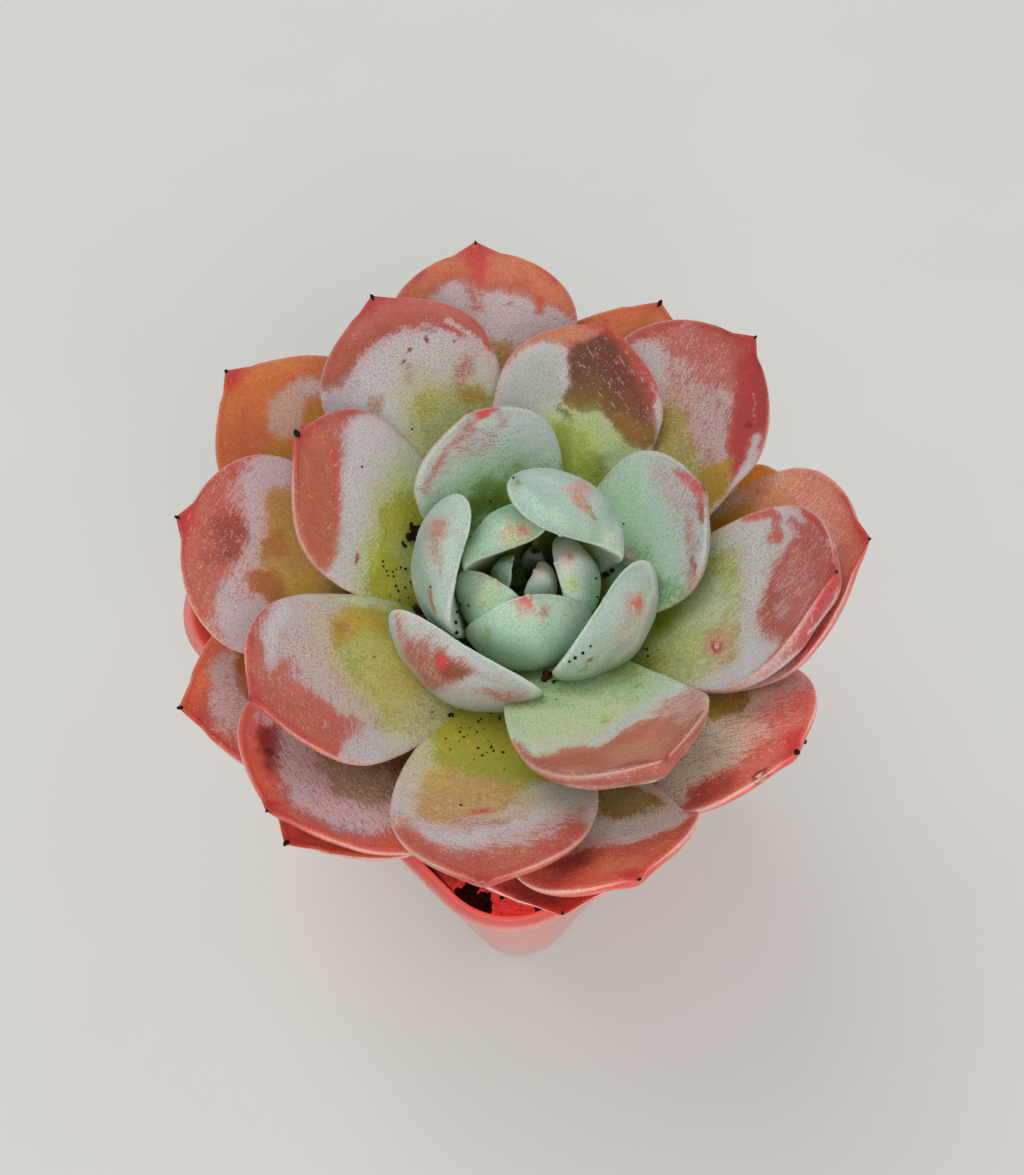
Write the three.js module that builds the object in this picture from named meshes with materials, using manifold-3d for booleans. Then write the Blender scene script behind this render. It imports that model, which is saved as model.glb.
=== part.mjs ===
// A potted echeveria: a cupped rosette of thick, pointed leaves on a short
// stem, in soil, in a square tapered nursery pot.
// Millimetres, +Z up. The origin is the middle of the pot's underside.
import * as THREE from 'three';
import { mergeVertices } from 'three/addons/utils/BufferGeometryUtils.js';
import Module from 'manifold-3d';

const wasm = await Module();
wasm.setup();
const { Manifold, Mesh } = wasm;

// ---- driving dimensions ------------------------------------------------
const POT_HEIGHT = 65;          // underside to rim
const RIM_HALF = 35;            // half the rim's outside width
const RIM_CORNER = 11.4;        // corner radius at the rim
const BASE_HALF = 27.9;         // half the base's outside width
const BASE_CORNER = 9;          // corner radius at the base
const LIP_HEIGHT = 1.9;         // height of the thickened lip
const LIP_OUT = 0.65;           // how far the lip stands out of the wall
const WALL = 1.0;               // wall thickness
const FLOOR = 1.5;              // thickness of the pot's floor
const POT_TURN = 0.751;         // turn of the square about Z, radians
const DRAIN_R = 3.2;            // radius of a drain hole
const DRAIN_RING = 17;          // its distance from the middle
const SOIL_TOP = 53;            // height of the soil's surface
const GAP = 0.3;                // clearance between touching pieces
const STEM_X = 3.2;             // where the stem stands in the pot
const STEM_Y = -2.5;
const STEM = [[0, 45.5], [4.7, 45.5], [4.6, 53], [4.2, 58], [3.9, 62], [3.1, 66], [1.9, 68.6], [0, 69.2]];

// Each leaf, top of the rosette first. After the name and colour come:
// azimuth of its midrib; height and radius of its foot on the stem; length;
// rise of the midrib at the foot and at the tip; half-width; where it is
// widest; foot width ratio; roundness of the shoulders; roll; sideways bend;
// cupping; thickness above and below the midrib plane; foot thickness ratio.
// Angles in degrees, lengths in millimetres.
const LEAVES = [
  ['bud_leaf_back', 0x4f6b56, 78.48, 70.01, 2.04, 6.22, 71.35, 95.32, 1.62, 0.55, 0.55, 0.61, -0.65, -0.17, 0.25, 1.01, 1.54, 0.8],
  ['bud_leaf_right', 0xa9b9a4, -31.92, 68.53, 1.02, 8.3, 73.99, 113.7, 3.27, 0.54, 0.55, 0.61, 2.93, 1.57, 0.25, 0.99, 2.0, 0.8],
  ['bud_leaf_left', 0x7d957b, 171.89, 69.31, 2.8, 8.17, 71.83, 117.1, 3.03, 0.54, 0.55, 0.62, -2.54, 1.51, 0.26, 0.66, 1.84, 0.8],
  ['heart_leaf_front', 0xb3cbbf, -94.23, 65.21, 2.76, 16.71, 34.03, 124.48, 8.09, 0.52, 0.55, 0.64, 7.13, 7.7, 0.26, 2.18, 3.81, 0.8],
  ['heart_leaf_right', 0xb2cbba, 0.18, 66.61, 4.0, 12.79, 49.15, 141.36, 6.05, 0.58, 0.54, 0.61, -0.67, 7.18, 0.2, 1.53, 2.85, 0.79],
  ['heart_leaf_left', 0xafc5ae, 217.63, 67.07, 2.91, 14.25, 41.67, 116.93, 5.94, 0.56, 0.55, 0.62, 7.58, 11.14, 0.3, 1.8, 2.93, 0.8],
  ['heart_leaf_back', 0xb4c8b8, 125.13, 72.84, 4.0, 11.16, 47.46, 171.44, 7.04, 0.54, 0.49, 0.5, 14.56, -27.99, 0.16, 1.52, 2.91, 0.79],
  ['inner_leaf_back', 0xb4c9bc, 41.13, 69.7, 4.8, 22.09, 33.95, 173.43, 8.72, 0.65, 0.49, 0.62, -17.09, 38.4, 0.21, 1.75, 3.45, 0.74],
  ['inner_leaf_left', 0xb5cabf, 181.26, 65.51, 4.8, 22.4, 26.23, 137.11, 9.42, 0.69, 0.34, 0.57, 22.2, -38.4, 0.19, 1.72, 3.33, 0.74],
  ['inner_leaf_right', 0xbccfc6, -42.61, 61.8, 4.8, 23.53, 28.62, 115.46, 9.43, 0.73, 0.34, 0.6, -15.69, 22.73, 0.21, 1.66, 3.26, 0.73],
  ['inner_leaf_front', 0xc3bdc0, -126.25, 60.8, 4.8, 24.98, 19.72, 106.9, 10.84, 0.77, 0.34, 0.61, 14.68, -15.54, 0.24, 1.68, 3.3, 0.74],
  ['middle_leaf_back', 0xb9c3b4, 106.36, 66.02, 4.02, 24.89, 28.26, 59.56, 11.31, 0.66, 0.41, 0.65, 15.06, 4.95, 0.1, 1.49, 3.41, 0.75],
  ['middle_leaf_right', 0xb9c8bb, 18.44, 65.91, 3.96, 25.78, 27.84, 53.12, 11.09, 0.65, 0.42, 0.59, -2.43, -3.75, 0.14, 1.5, 3.53, 0.75],
  ['middle_leaf_front', 0xc9a79c, -75.46, 65.73, 4.38, 39.61, 22.62, 57.91, 11.06, 0.69, 0.48, 0.67, -8.85, 22.28, 0.24, 1.46, 3.77, 0.75],
  ['outer_leaf_left', 0xb9a9a0, 151.37, 63.61, 4.66, 37.95, 20.14, 67.27, 12.0, 0.66, 0.42, 0.72, 2.91, 7.36, 0.01, 1.29, 3.4, 0.75],
  ['outer_leaf_back', 0xa8947f, 75.39, 63.68, 4.64, 38.8, 19.56, 40.27, 11.72, 0.68, 0.5, 0.67, 6.73, -15.24, 0.12, 1.3, 3.4, 0.75],
  ['outer_leaf_right', 0xb99a90, -15.48, 63.12, 4.6, 44.87, 21.2, 69.66, 11.91, 0.69, 0.25, 0.68, 9.89, -19.9, 0.21, 1.3, 4.85, 0.75],
  ['outer_leaf_left_front', 0xc5b9a5, -152.35, 63.35, 4.68, 40.6, 21.08, 46.61, 11.85, 0.68, 0.5, 0.67, -10.95, 12.83, 0.09, 1.28, 3.61, 0.75],
  ['outer_leaf_left_back', 0xb8a096, 116.57, 62.68, 4.63, 45.98, 20.71, 45.95, 12.71, 0.74, 0.5, 0.7, 2.42, 1.38, 0.1, 1.3, 3.4, 0.75],
  ['outer_leaf_front', 0xbfae86, -101.75, 62.67, 4.67, 47.06, 18.69, 46.13, 11.77, 0.66, 0.29, 0.64, 2.81, 6.79, 0.12, 1.29, 3.73, 0.75],
  ['outer_leaf_right_back', 0xb98480, 49.53, 61.47, 4.61, 46.07, 23.12, 35.38, 14.6, 0.7, 0.5, 0.59, -11.05, -19.2, 0.31, 1.3, 3.38, 0.75],
  ['lower_leaf_left', 0xbf8f80, 174.3, 63.01, 5.1, 45.9, 17.87, 40.52, 14.38, 0.73, 0.4, 0.52, 1.51, -4.69, 0.07, 1.19, 3.29, 0.75],
  ['lower_leaf_right', 0xc48276, -6.43, 60.01, 4.96, 45.91, 19.14, 60.55, 14.99, 0.68, 0.4, 0.52, -1.77, -5.78, 0.19, 1.21, 3.72, 0.75],
  ['lower_leaf_right_front', 0xbc877a, -45.51, 59.96, 5.1, 45.39, 12.73, 60.0, 11.96, 0.68, 0.4, 0.69, 4.95, -7.29, -0.02, 1.2, 3.83, 0.75],
  ['lower_leaf_left_front', 0xb99592, -135.66, 59.2, 5.05, 45.09, 11.84, 44.12, 14.95, 0.68, 0.4, 0.65, 1.26, 2.06, 0.08, 1.2, 3.41, 0.75],
  ['lower_leaf_back', 0xc58a78, 98.09, 60.62, 5.02, 52.91, 17.24, 34.33, 13.66, 0.75, 0.4, 0.54, 1.97, -7.51, 0.09, 1.21, 3.19, 0.75],
  ['lower_leaf_left_back', 0xc58263, 139.48, 59.84, 5.26, 51.9, 14.07, 28.66, 13.47, 0.7, 0.4, 0.72, -4.61, 3.11, 0.12, 1.21, 3.19, 0.75],
  ['lower_leaf_front', 0xb3907c, -82.16, 59.35, 5.06, 47.01, 11.12, 56.0, 11.39, 0.71, 0.4, 0.66, 1.05, 13.43, 0.04, 1.2, 4.09, 0.75],
  ['base_leaf_right', 0xbd8a52, 10.74, 59.41, 5.12, 38.64, 13.95, 32.3, 9.96, 0.84, 0.4, 0.69, -1.28, 6.02, 0.08, 1.2, 3.2, 0.75],
  ['base_leaf_left', 0xb98f74, -158.92, 59.4, 5.04, 44.79, 10.88, 33.59, 12.21, 0.69, 0.4, 0.7, -4.33, -0.86, 0.09, 1.2, 3.26, 0.75],
  ['base_leaf_back', 0xc07a50, 66.76, 59.7, 5.02, 46.8, 14.12, 30.11, 13.19, 0.68, 0.4, 0.73, 4.38, -9.33, 0.1, 1.21, 3.1, 0.75],
  ['base_leaf_front', 0xa87058, -89.48, 59.21, 4.97, 42.52, 12.26, 36.38, 12.78, 0.68, 0.4, 0.72, -1.19, 2.68, 0.11, 1.2, 3.3, 0.75],
  ['base_leaf_left_front', 0xa86a52, -131.56, 59.2, 5.0, 43.53, 11.93, 33.8, 11.7, 0.67, 0.4, 0.65, -0.22, 0.72, 0.11, 1.2, 3.33, 0.75],
  ['base_leaf_right_front', 0xb25a4a, -37.84, 59.25, 4.75, 38.32, 14.39, 33.59, 10.48, 0.68, 0.4, 0.72, -2.85, -1.4, 0.09, 1.2, 3.06, 0.75],
];

// ---- helpers -----------------------------------------------------------
const clamp = (v, a, b) => Math.min(b, Math.max(a, v));
const rad = (d) => d * Math.PI / 180;

// A closed skin over rings of equal point count, capped at both ends. A ring
// of one point closes to that point.
function skin(rings) {
  const pos = [];
  const idx = [];
  const start = rings.map((r) => { const s = pos.length / 3; r.forEach((p) => pos.push(...p)); return s; });
  for (let i = 0; i + 1 < rings.length; i++) {
    const a = start[i], b = start[i + 1];
    const na = rings[i].length, nb = rings[i + 1].length;
    const n = Math.max(na, nb);
    for (let k = 0; k < n; k++) {
      const k1 = (k + 1) % n;
      if (na > 1 && nb > 1) idx.push(a + k, a + k1, b + k1, a + k, b + k1, b + k);
      else if (na > 1) idx.push(a + k, a + k1, b);
      else idx.push(a, b + k1, b + k);
    }
  }
  const first = rings[0], last = rings[rings.length - 1];
  for (let k = 1; k + 1 < first.length; k++) idx.push(start[0], start[0] + k + 1, start[0] + k);
  const l0 = start[rings.length - 1];
  for (let k = 1; k + 1 < last.length; k++) idx.push(l0, l0 + k, l0 + k + 1);
  const g = new THREE.BufferGeometry();
  g.setAttribute('position', new THREE.Float32BufferAttribute(pos, 3));
  g.setIndex(idx);
  return g;
}

// three.js geometry to a solid, and back.
function solid(geometry) {
  const g = geometry.clone();
  g.deleteAttribute('normal');
  g.deleteAttribute('uv');
  const m = mergeVertices(g, 1e-4);
  return new Manifold(new Mesh({
    numProp: 3,
    vertProperties: new Float32Array(m.getAttribute('position').array),
    triVerts: new Uint32Array(m.getIndex().array),
  }));
}
function geometryOf(man) {
  const m = man.getMesh();
  const g = new THREE.BufferGeometry();
  const v = new Float32Array(m.numVert * 3);
  for (let i = 0; i < m.numVert; i++) {
    for (let k = 0; k < 3; k++) v[i * 3 + k] = m.vertProperties[i * m.numProp + k];
  }
  g.setAttribute('position', new THREE.BufferAttribute(v, 3));
  g.setIndex(new THREE.BufferAttribute(new Uint32Array(m.triVerts), 1));
  g.computeVertexNormals();
  return g;
}
function largest(man) {
  return man.decompose().reduce((a, b) => (b.volume() > a.volume() ? b : a));
}
const boxesMeet = (a, b) => [0, 1, 2].every((k) => a.min[k] < b.max[k] && b.min[k] < a.max[k]);

// ---- the pot -----------------------------------------------------------
function squareRing(z, half, corner, steps = 5) {
  const ring = [];
  for (let q = 0; q < 4; q++) {
    const cx = (q === 0 || q === 3 ? 1 : -1) * (half - corner);
    const cy = (q < 2 ? 1 : -1) * (half - corner);
    for (let i = 0; i <= steps; i++) {
      const a = (q + i / steps) * Math.PI / 2;
      const x = cx + corner * Math.cos(a), y = cy + corner * Math.sin(a);
      ring.push([
        x * Math.cos(POT_TURN) - y * Math.sin(POT_TURN),
        x * Math.sin(POT_TURN) + y * Math.cos(POT_TURN),
        z,
      ]);
    }
  }
  return ring;
}
const potHalf = (z) => BASE_HALF + (RIM_HALF - LIP_OUT - BASE_HALF) * z / POT_HEIGHT;
const potCorner = (z) => BASE_CORNER + (RIM_CORNER - LIP_OUT - BASE_CORNER) * z / POT_HEIGHT;
function potSolid(grow = 0) {
  const lip = POT_HEIGHT - LIP_HEIGHT;
  let pot = solid(skin([
    squareRing(-grow, BASE_HALF - 0.9 + grow, BASE_CORNER - 0.9 + grow),
    squareRing(1.2, potHalf(1.2) + grow, potCorner(1.2) + grow),
    squareRing(lip - 0.5 - grow, potHalf(lip) + grow, potCorner(lip) + grow),
    squareRing(lip - grow, RIM_HALF + grow, RIM_CORNER + grow),
    squareRing(POT_HEIGHT - 0.4 + grow, RIM_HALF + grow, RIM_CORNER + grow),
    squareRing(POT_HEIGHT + grow, RIM_HALF - 0.4 + grow, RIM_CORNER - 0.4 + grow),
  ]));
  pot = pot.subtract(solid(skin([
    squareRing(FLOOR, potHalf(FLOOR) - WALL - 1.2 - grow, BASE_CORNER - 2.2 - grow),
    squareRing(FLOOR + 1.5, potHalf(FLOOR + 1.5) - WALL - grow, BASE_CORNER - 1.1 - grow),
    squareRing(POT_HEIGHT + 1, potHalf(POT_HEIGHT + 1) - WALL - grow, potCorner(POT_HEIGHT + 1) - WALL - grow),
  ])));
  for (let i = 0; i < 8; i++) {
    const a = POT_TURN + i * Math.PI / 4;
    const r = i % 2 ? DRAIN_RING * 1.28 : DRAIN_RING;
    const hole = new THREE.CylinderGeometry(DRAIN_R, DRAIN_R, 8, 14);
    hole.rotateX(Math.PI / 2);
    hole.translate(r * Math.cos(a), r * Math.sin(a), 0);
    pot = pot.subtract(solid(hole));
  }
  return pot;
}

// ---- the stem ----------------------------------------------------------
function stemSolid(grow = 0) {
  const pts = STEM.map(([r, z], i) => new THREE.Vector2(
    r > 0 ? r + grow : 0,
    z + (i < 2 ? -grow : 0) + (i === STEM.length - 1 ? grow : 0),
  ));
  const g = new THREE.LatheGeometry(pts, 14);
  g.rotateX(Math.PI / 2);
  g.translate(STEM_X, STEM_Y, 0);
  return solid(g);
}

// ---- the soil ----------------------------------------------------------
function soilSolid() {
  const low = FLOOR + GAP;
  const at = (z, inset, corner) => squareRing(z, potHalf(z) - WALL - GAP - inset, corner);
  const top = at(SOIL_TOP - 1.2, 0.2, 19);
  const lumps = (x, y) => 0.55 * Math.sin(0.31 * x + 1.1) * Math.cos(0.27 * y - 0.4)
    + 0.35 * Math.sin(0.63 * y + 0.5 * x) + 0.8 * Math.exp(-((x - STEM_X) ** 2 + (y - STEM_Y) ** 2) / 160);
  const scaled = (f, lift) => top.map(([x, y]) => [x * f, y * f, SOIL_TOP + lift + lumps(x * f, y * f)]);
  return solid(skin([
    squareRing(low, potHalf(low) - WALL - 1.6, BASE_CORNER - 2),
    at(low + 2.5, 0, BASE_CORNER - 1),
    at(36, 0, 11),
    at(46, 0.1, 15),
    top,
    scaled(0.93, -0.3),
    scaled(0.72, 0),
    scaled(0.45, 0.2),
    scaled(0.2, 0.3),
    [[0, 0, SOIL_TOP + 0.4 + lumps(0, 0)]],
  ]));
}

// ---- the leaves --------------------------------------------------------
const STATIONS = [0, 0.2, 0.4, 0.57, 0.7, 0.81, 0.89, 0.945, 1];
const AROUND = 8;
const TIP_AT = 0.955;           // where the rounded blade ends and its point starts
function leafGeometry(row, grow = 0) {
  const [, , phi, zb, rb, len, th0, th1, hw, tm, fb, bt, roll, bend, cup, up, down, hb] = row;
  const n = 60;
  const mid = [[STEM_X + rb * Math.cos(rad(phi)), STEM_Y + rb * Math.sin(rad(phi)), zb]];
  const dir = (t) => {
    const p = rad(phi) + rad(bend) * t ** 1.5, e = rad(th0 + (th1 - th0) * t);
    return { p, e, d: [Math.cos(e) * Math.cos(p), Math.cos(e) * Math.sin(p), Math.sin(e)] };
  };
  for (let i = 1; i <= n; i++) {
    const a = dir((i - 1) / n).d, b = dir(i / n).d, m = mid[i - 1];
    mid.push([0, 1, 2].map((k) => m[k] + (a[k] + b[k]) / 2 * len / n));
  }
  const rings = STATIONS.map((t) => {
    const lo = fb + (1 - fb) * Math.sin(Math.PI / 2 * clamp(t / tm, 0, 1)) ** 1.35;
    const hi = (1 - clamp((t - tm) / (TIP_AT - tm), 0, 1) ** 2.2) ** bt;
    const point = 0.17 * clamp((1 - t) / (1 - TIP_AT), 0, 1.4);
    const f = Math.cbrt((t < tm ? lo : hi) ** 3 + point ** 3);
    const tk = 0.45;
    const glo = hb + (1 - hb) * Math.sin(Math.PI / 2 * clamp(t / tk, 0, 1));
    const ghi = Math.cbrt(((1 - clamp((t - tk) / (TIP_AT - tk), 0, 1) ** 2.4) ** 0.62) ** 3
      + (0.17 * clamp((1 - t) / (1 - TIP_AT), 0, 1.2)) ** 3);
    const g = t < tk ? glo : ghi;
    const x = t * n, i = Math.min(n - 1, Math.floor(x)), w = x - i;
    const M = [0, 1, 2].map((k) => mid[i][k] * (1 - w) + mid[i + 1][k] * w);
    const { p, d } = dir(t);
    if (t === 0 || t === 1) for (let k = 0; k < 3; k++) M[k] += (t === 1 ? 1 : -1) * grow * d[k];
    if (t === 1) return [M];
    const T = new THREE.Vector3(...d);
    const S = new THREE.Vector3(-Math.sin(p), Math.cos(p), 0);
    const N = new THREE.Vector3().crossVectors(T, S);
    const r = rad(roll) * clamp(t * 1.6, 0, 1);
    const S2 = S.clone().multiplyScalar(Math.cos(r)).addScaledVector(N, Math.sin(r));
    const N2 = N.clone().multiplyScalar(Math.cos(r)).addScaledVector(S, -Math.sin(r));
    const bowl = cup * Math.sin(Math.PI / 2 * clamp(t / 0.5, 0, 1));
    const half = (hw + grow) * f + (grow ? 0.1 : 0);
    const ring = [];
    for (let k = 0; k < AROUND; k++) {
      const a = 2 * Math.PI * k / AROUND;
      const s = Math.cos(a), q = Math.sin(a);
      const z = (g * (q > 0 ? up : down) + grow) * q + hw * f * bowl * (s * s - 0.35);
      ring.push([
        M[0] + half * s * S2.x + z * N2.x,
        M[1] + half * s * S2.y + z * N2.y,
        M[2] + half * s * S2.z + z * N2.z,
      ]);
    }
    return ring;
  });
  return skin(rings);
}

// ---- assembly ----------------------------------------------------------
const plant = new THREE.Group();
function add(name, man, color, roughness) {
  const mesh = new THREE.Mesh(geometryOf(man), new THREE.MeshStandardMaterial({ color, roughness, metalness: 0 }));
  mesh.name = name;
  plant.add(mesh);
}

const pot = potSolid();
add('pot', pot, 0xd98f86, 0.42);
add('soil', soilSolid().subtract(stemSolid(GAP)), 0x2e2620, 0.95);
add('stem', stemSolid(), 0x8c9560, 0.7);

// A leaf gives way to every leaf above it, to the stem and to the pot's rim.
const taken = [stemSolid(GAP), potSolid(GAP)].map((m) => ({ m, box: m.boundingBox() }));
for (const row of LEAVES) {
  let leaf = solid(leafGeometry(row));
  const box = leaf.boundingBox();
  for (const other of taken) {
    if (boxesMeet(box, other.box)) leaf = leaf.subtract(other.m);
  }
  add(row[0], largest(leaf), row[1], 0.6);
  const grown = solid(leafGeometry(row, GAP));
  taken.push({ m: grown, box: grown.boundingBox() });
}

export default plant;
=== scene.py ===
import bpy
import bmesh
import math
import numpy as np
from mathutils import Matrix, Vector


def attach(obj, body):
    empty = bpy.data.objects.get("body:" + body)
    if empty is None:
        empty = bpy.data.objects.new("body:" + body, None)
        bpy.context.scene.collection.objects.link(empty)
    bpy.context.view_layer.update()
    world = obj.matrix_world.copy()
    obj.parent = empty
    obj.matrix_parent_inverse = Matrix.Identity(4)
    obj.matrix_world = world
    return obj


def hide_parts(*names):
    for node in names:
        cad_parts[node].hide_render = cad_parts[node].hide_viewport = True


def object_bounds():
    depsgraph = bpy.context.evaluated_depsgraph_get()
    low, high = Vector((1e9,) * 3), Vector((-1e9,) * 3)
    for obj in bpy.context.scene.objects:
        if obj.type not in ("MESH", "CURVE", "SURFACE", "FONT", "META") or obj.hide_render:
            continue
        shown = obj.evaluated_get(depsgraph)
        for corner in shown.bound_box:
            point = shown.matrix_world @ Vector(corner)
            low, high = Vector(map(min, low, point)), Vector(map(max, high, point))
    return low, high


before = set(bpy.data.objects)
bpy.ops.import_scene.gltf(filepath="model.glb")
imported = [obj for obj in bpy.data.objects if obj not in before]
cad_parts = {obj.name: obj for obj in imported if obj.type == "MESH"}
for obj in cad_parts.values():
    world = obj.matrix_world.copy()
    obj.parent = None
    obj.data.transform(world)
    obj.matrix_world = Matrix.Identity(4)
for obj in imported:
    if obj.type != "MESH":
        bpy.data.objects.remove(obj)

CAD_LO, CAD_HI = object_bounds()
MM = 0.001

# ---- the plant's measures ----------------------------------------------
AXIS = np.array([3.2, -2.5])
POT_HEIGHT, RIM_HALF, RIM_CORNER = 65.0, 35.0, 11.4
BASE_HALF, BASE_CORNER = 27.9, 9.0
LIP_HEIGHT, LIP_OUT, WALL, FLOOR = 1.9, 0.65, 1.0, 1.5
POT_TURN, DRAIN_R = 0.751, 3.2
SOIL_TOP = 53.0

# Each leaf: azimuth of the midrib, height and radius of its foot, length,
# rise at the foot and at the tip, half-width, widest place, foot width,
# shoulder roundness, roll, sideways bend, cupping, thickness above and
# below the midrib plane, foot thickness.
KEYS = ("phi", "zb", "rb", "L", "th0", "th1", "W", "tm", "fb", "bt",
        "roll", "bend", "cup", "tt", "tb", "hb")
LEAVES = {
    "bud_leaf_back": (78.48, 70.01, 2.04, 6.22, 71.35, 95.32, 1.62, 0.55, 0.55, 0.61, -0.65, -0.17, 0.25, 1.01, 1.54, 0.8),
    "bud_leaf_right": (-31.92, 68.53, 1.02, 8.3, 73.99, 113.7, 3.27, 0.54, 0.55, 0.61, 2.93, 1.57, 0.25, 0.99, 2, 0.8),
    "bud_leaf_left": (171.89, 69.31, 2.8, 8.17, 71.83, 117.1, 3.03, 0.54, 0.55, 0.62, -2.54, 1.51, 0.26, 0.66, 1.84, 0.8),
    "heart_leaf_front": (-94.23, 65.21, 2.76, 16.71, 34.03, 124.48, 8.09, 0.52, 0.55, 0.64, 7.13, 7.7, 0.26, 2.18, 3.81, 0.8),
    "heart_leaf_right": (0.18, 66.61, 4, 12.79, 49.15, 141.36, 6.05, 0.58, 0.54, 0.61, -0.67, 7.18, 0.2, 1.53, 2.85, 0.79),
    "heart_leaf_left": (217.63, 67.07, 2.91, 14.25, 41.67, 116.93, 5.94, 0.56, 0.55, 0.62, 7.58, 11.14, 0.3, 1.8, 2.93, 0.8),
    "heart_leaf_back": (125.13, 72.84, 4, 11.16, 47.46, 171.44, 7.04, 0.54, 0.49, 0.5, 14.56, -27.99, 0.16, 1.52, 2.91, 0.79),
    "inner_leaf_back": (41.13, 69.7, 4.8, 22.09, 33.95, 173.43, 8.72, 0.65, 0.49, 0.62, -17.09, 38.4, 0.21, 1.75, 3.45, 0.74),
    "inner_leaf_left": (181.26, 65.51, 4.8, 22.4, 26.23, 137.11, 9.42, 0.69, 0.34, 0.57, 22.2, -38.4, 0.19, 1.72, 3.33, 0.74),
    "inner_leaf_right": (-42.61, 61.8, 4.8, 23.53, 28.62, 115.46, 9.43, 0.73, 0.34, 0.6, -15.69, 22.73, 0.21, 1.66, 3.26, 0.73),
    "inner_leaf_front": (-126.25, 60.8, 4.8, 24.98, 19.72, 106.9, 10.84, 0.77, 0.34, 0.61, 14.68, -15.54, 0.24, 1.68, 3.3, 0.74),
    "middle_leaf_back": (106.36, 66.02, 4.02, 24.89, 28.26, 59.56, 11.31, 0.66, 0.41, 0.65, 15.06, 4.95, 0.1, 1.49, 3.41, 0.75),
    "middle_leaf_right": (18.44, 65.91, 3.96, 25.78, 27.84, 53.12, 11.09, 0.65, 0.42, 0.59, -2.43, -3.75, 0.14, 1.5, 3.53, 0.75),
    "middle_leaf_front": (-75.46, 65.73, 4.38, 39.61, 22.62, 57.91, 11.06, 0.69, 0.48, 0.67, -8.85, 22.28, 0.24, 1.46, 3.77, 0.75),
    "outer_leaf_left": (151.37, 63.61, 4.66, 37.95, 20.14, 67.27, 12, 0.66, 0.42, 0.72, 2.91, 7.36, 0.01, 1.29, 3.4, 0.75),
    "outer_leaf_back": (75.39, 63.68, 4.64, 38.8, 19.56, 40.27, 11.72, 0.68, 0.5, 0.67, 6.73, -15.24, 0.12, 1.3, 3.4, 0.75),
    "outer_leaf_right": (-15.48, 63.12, 4.6, 44.87, 21.2, 69.66, 11.91, 0.69, 0.25, 0.68, 9.89, -19.9, 0.21, 1.3, 4.85, 0.75),
    "outer_leaf_left_front": (-152.35, 63.35, 4.68, 40.6, 21.08, 46.61, 11.85, 0.68, 0.5, 0.67, -10.95, 12.83, 0.09, 1.28, 3.61, 0.75),
    "outer_leaf_left_back": (116.57, 62.68, 4.63, 45.98, 20.71, 45.95, 12.71, 0.74, 0.5, 0.7, 2.42, 1.38, 0.1, 1.3, 3.4, 0.75),
    "outer_leaf_front": (-101.75, 62.67, 4.67, 47.06, 18.69, 46.13, 11.77, 0.66, 0.29, 0.64, 2.81, 6.79, 0.12, 1.29, 3.73, 0.75),
    "outer_leaf_right_back": (49.53, 61.47, 4.61, 46.07, 23.12, 35.38, 14.6, 0.7, 0.5, 0.59, -11.05, -19.2, 0.31, 1.3, 3.38, 0.75),
    "lower_leaf_left": (174.3, 63.01, 5.1, 45.9, 17.87, 40.52, 14.38, 0.73, 0.4, 0.52, 1.51, -4.69, 0.07, 1.19, 3.29, 0.75),
    "lower_leaf_right": (-6.43, 60.01, 4.96, 45.91, 19.14, 60.55, 14.99, 0.68, 0.4, 0.52, -1.77, -5.78, 0.19, 1.21, 3.72, 0.75),
    "lower_leaf_right_front": (-45.51, 59.96, 5.1, 45.39, 12.73, 60, 11.96, 0.68, 0.4, 0.69, 4.95, -7.29, -0.02, 1.2, 3.83, 0.75),
    "lower_leaf_left_front": (-135.66, 59.2, 5.05, 45.09, 11.84, 44.12, 14.95, 0.68, 0.4, 0.65, 1.26, 2.06, 0.08, 1.2, 3.41, 0.75),
    "lower_leaf_back": (98.09, 60.62, 5.02, 52.91, 17.24, 34.33, 13.66, 0.75, 0.4, 0.54, 1.97, -7.51, 0.09, 1.21, 3.19, 0.75),
    "lower_leaf_left_back": (139.48, 59.84, 5.26, 51.9, 14.07, 28.66, 13.47, 0.7, 0.4, 0.72, -4.61, 3.11, 0.12, 1.21, 3.19, 0.75),
    "lower_leaf_front": (-82.16, 59.35, 5.06, 47.01, 11.12, 56, 11.39, 0.71, 0.4, 0.66, 1.05, 13.43, 0.04, 1.2, 4.09, 0.75),
    "base_leaf_right": (10.74, 59.41, 5.12, 38.64, 13.95, 32.3, 9.96, 0.84, 0.4, 0.69, -1.28, 6.02, 0.08, 1.2, 3.2, 0.75),
    "base_leaf_left": (-158.92, 59.4, 5.04, 44.79, 10.88, 33.59, 12.21, 0.69, 0.4, 0.7, -4.33, -0.86, 0.09, 1.2, 3.26, 0.75),
    "base_leaf_back": (66.76, 59.7, 5.02, 46.8, 14.12, 30.11, 13.19, 0.68, 0.4, 0.73, 4.38, -9.33, 0.1, 1.21, 3.1, 0.75),
    "base_leaf_front": (-89.48, 59.21, 4.97, 42.52, 12.26, 36.38, 12.78, 0.68, 0.4, 0.72, -1.19, 2.68, 0.11, 1.2, 3.3, 0.75),
    "base_leaf_left_front": (-131.56, 59.2, 5, 43.53, 11.93, 33.8, 11.7, 0.67, 0.4, 0.65, -0.22, 0.72, 0.11, 1.2, 3.33, 0.75),
    "base_leaf_right_front": (-37.84, 59.25, 4.75, 38.32, 14.39, 33.59, 10.48, 0.68, 0.4, 0.72, -2.85, -1.4, 0.09, 1.2, 3.06, 0.75),
}

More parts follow.
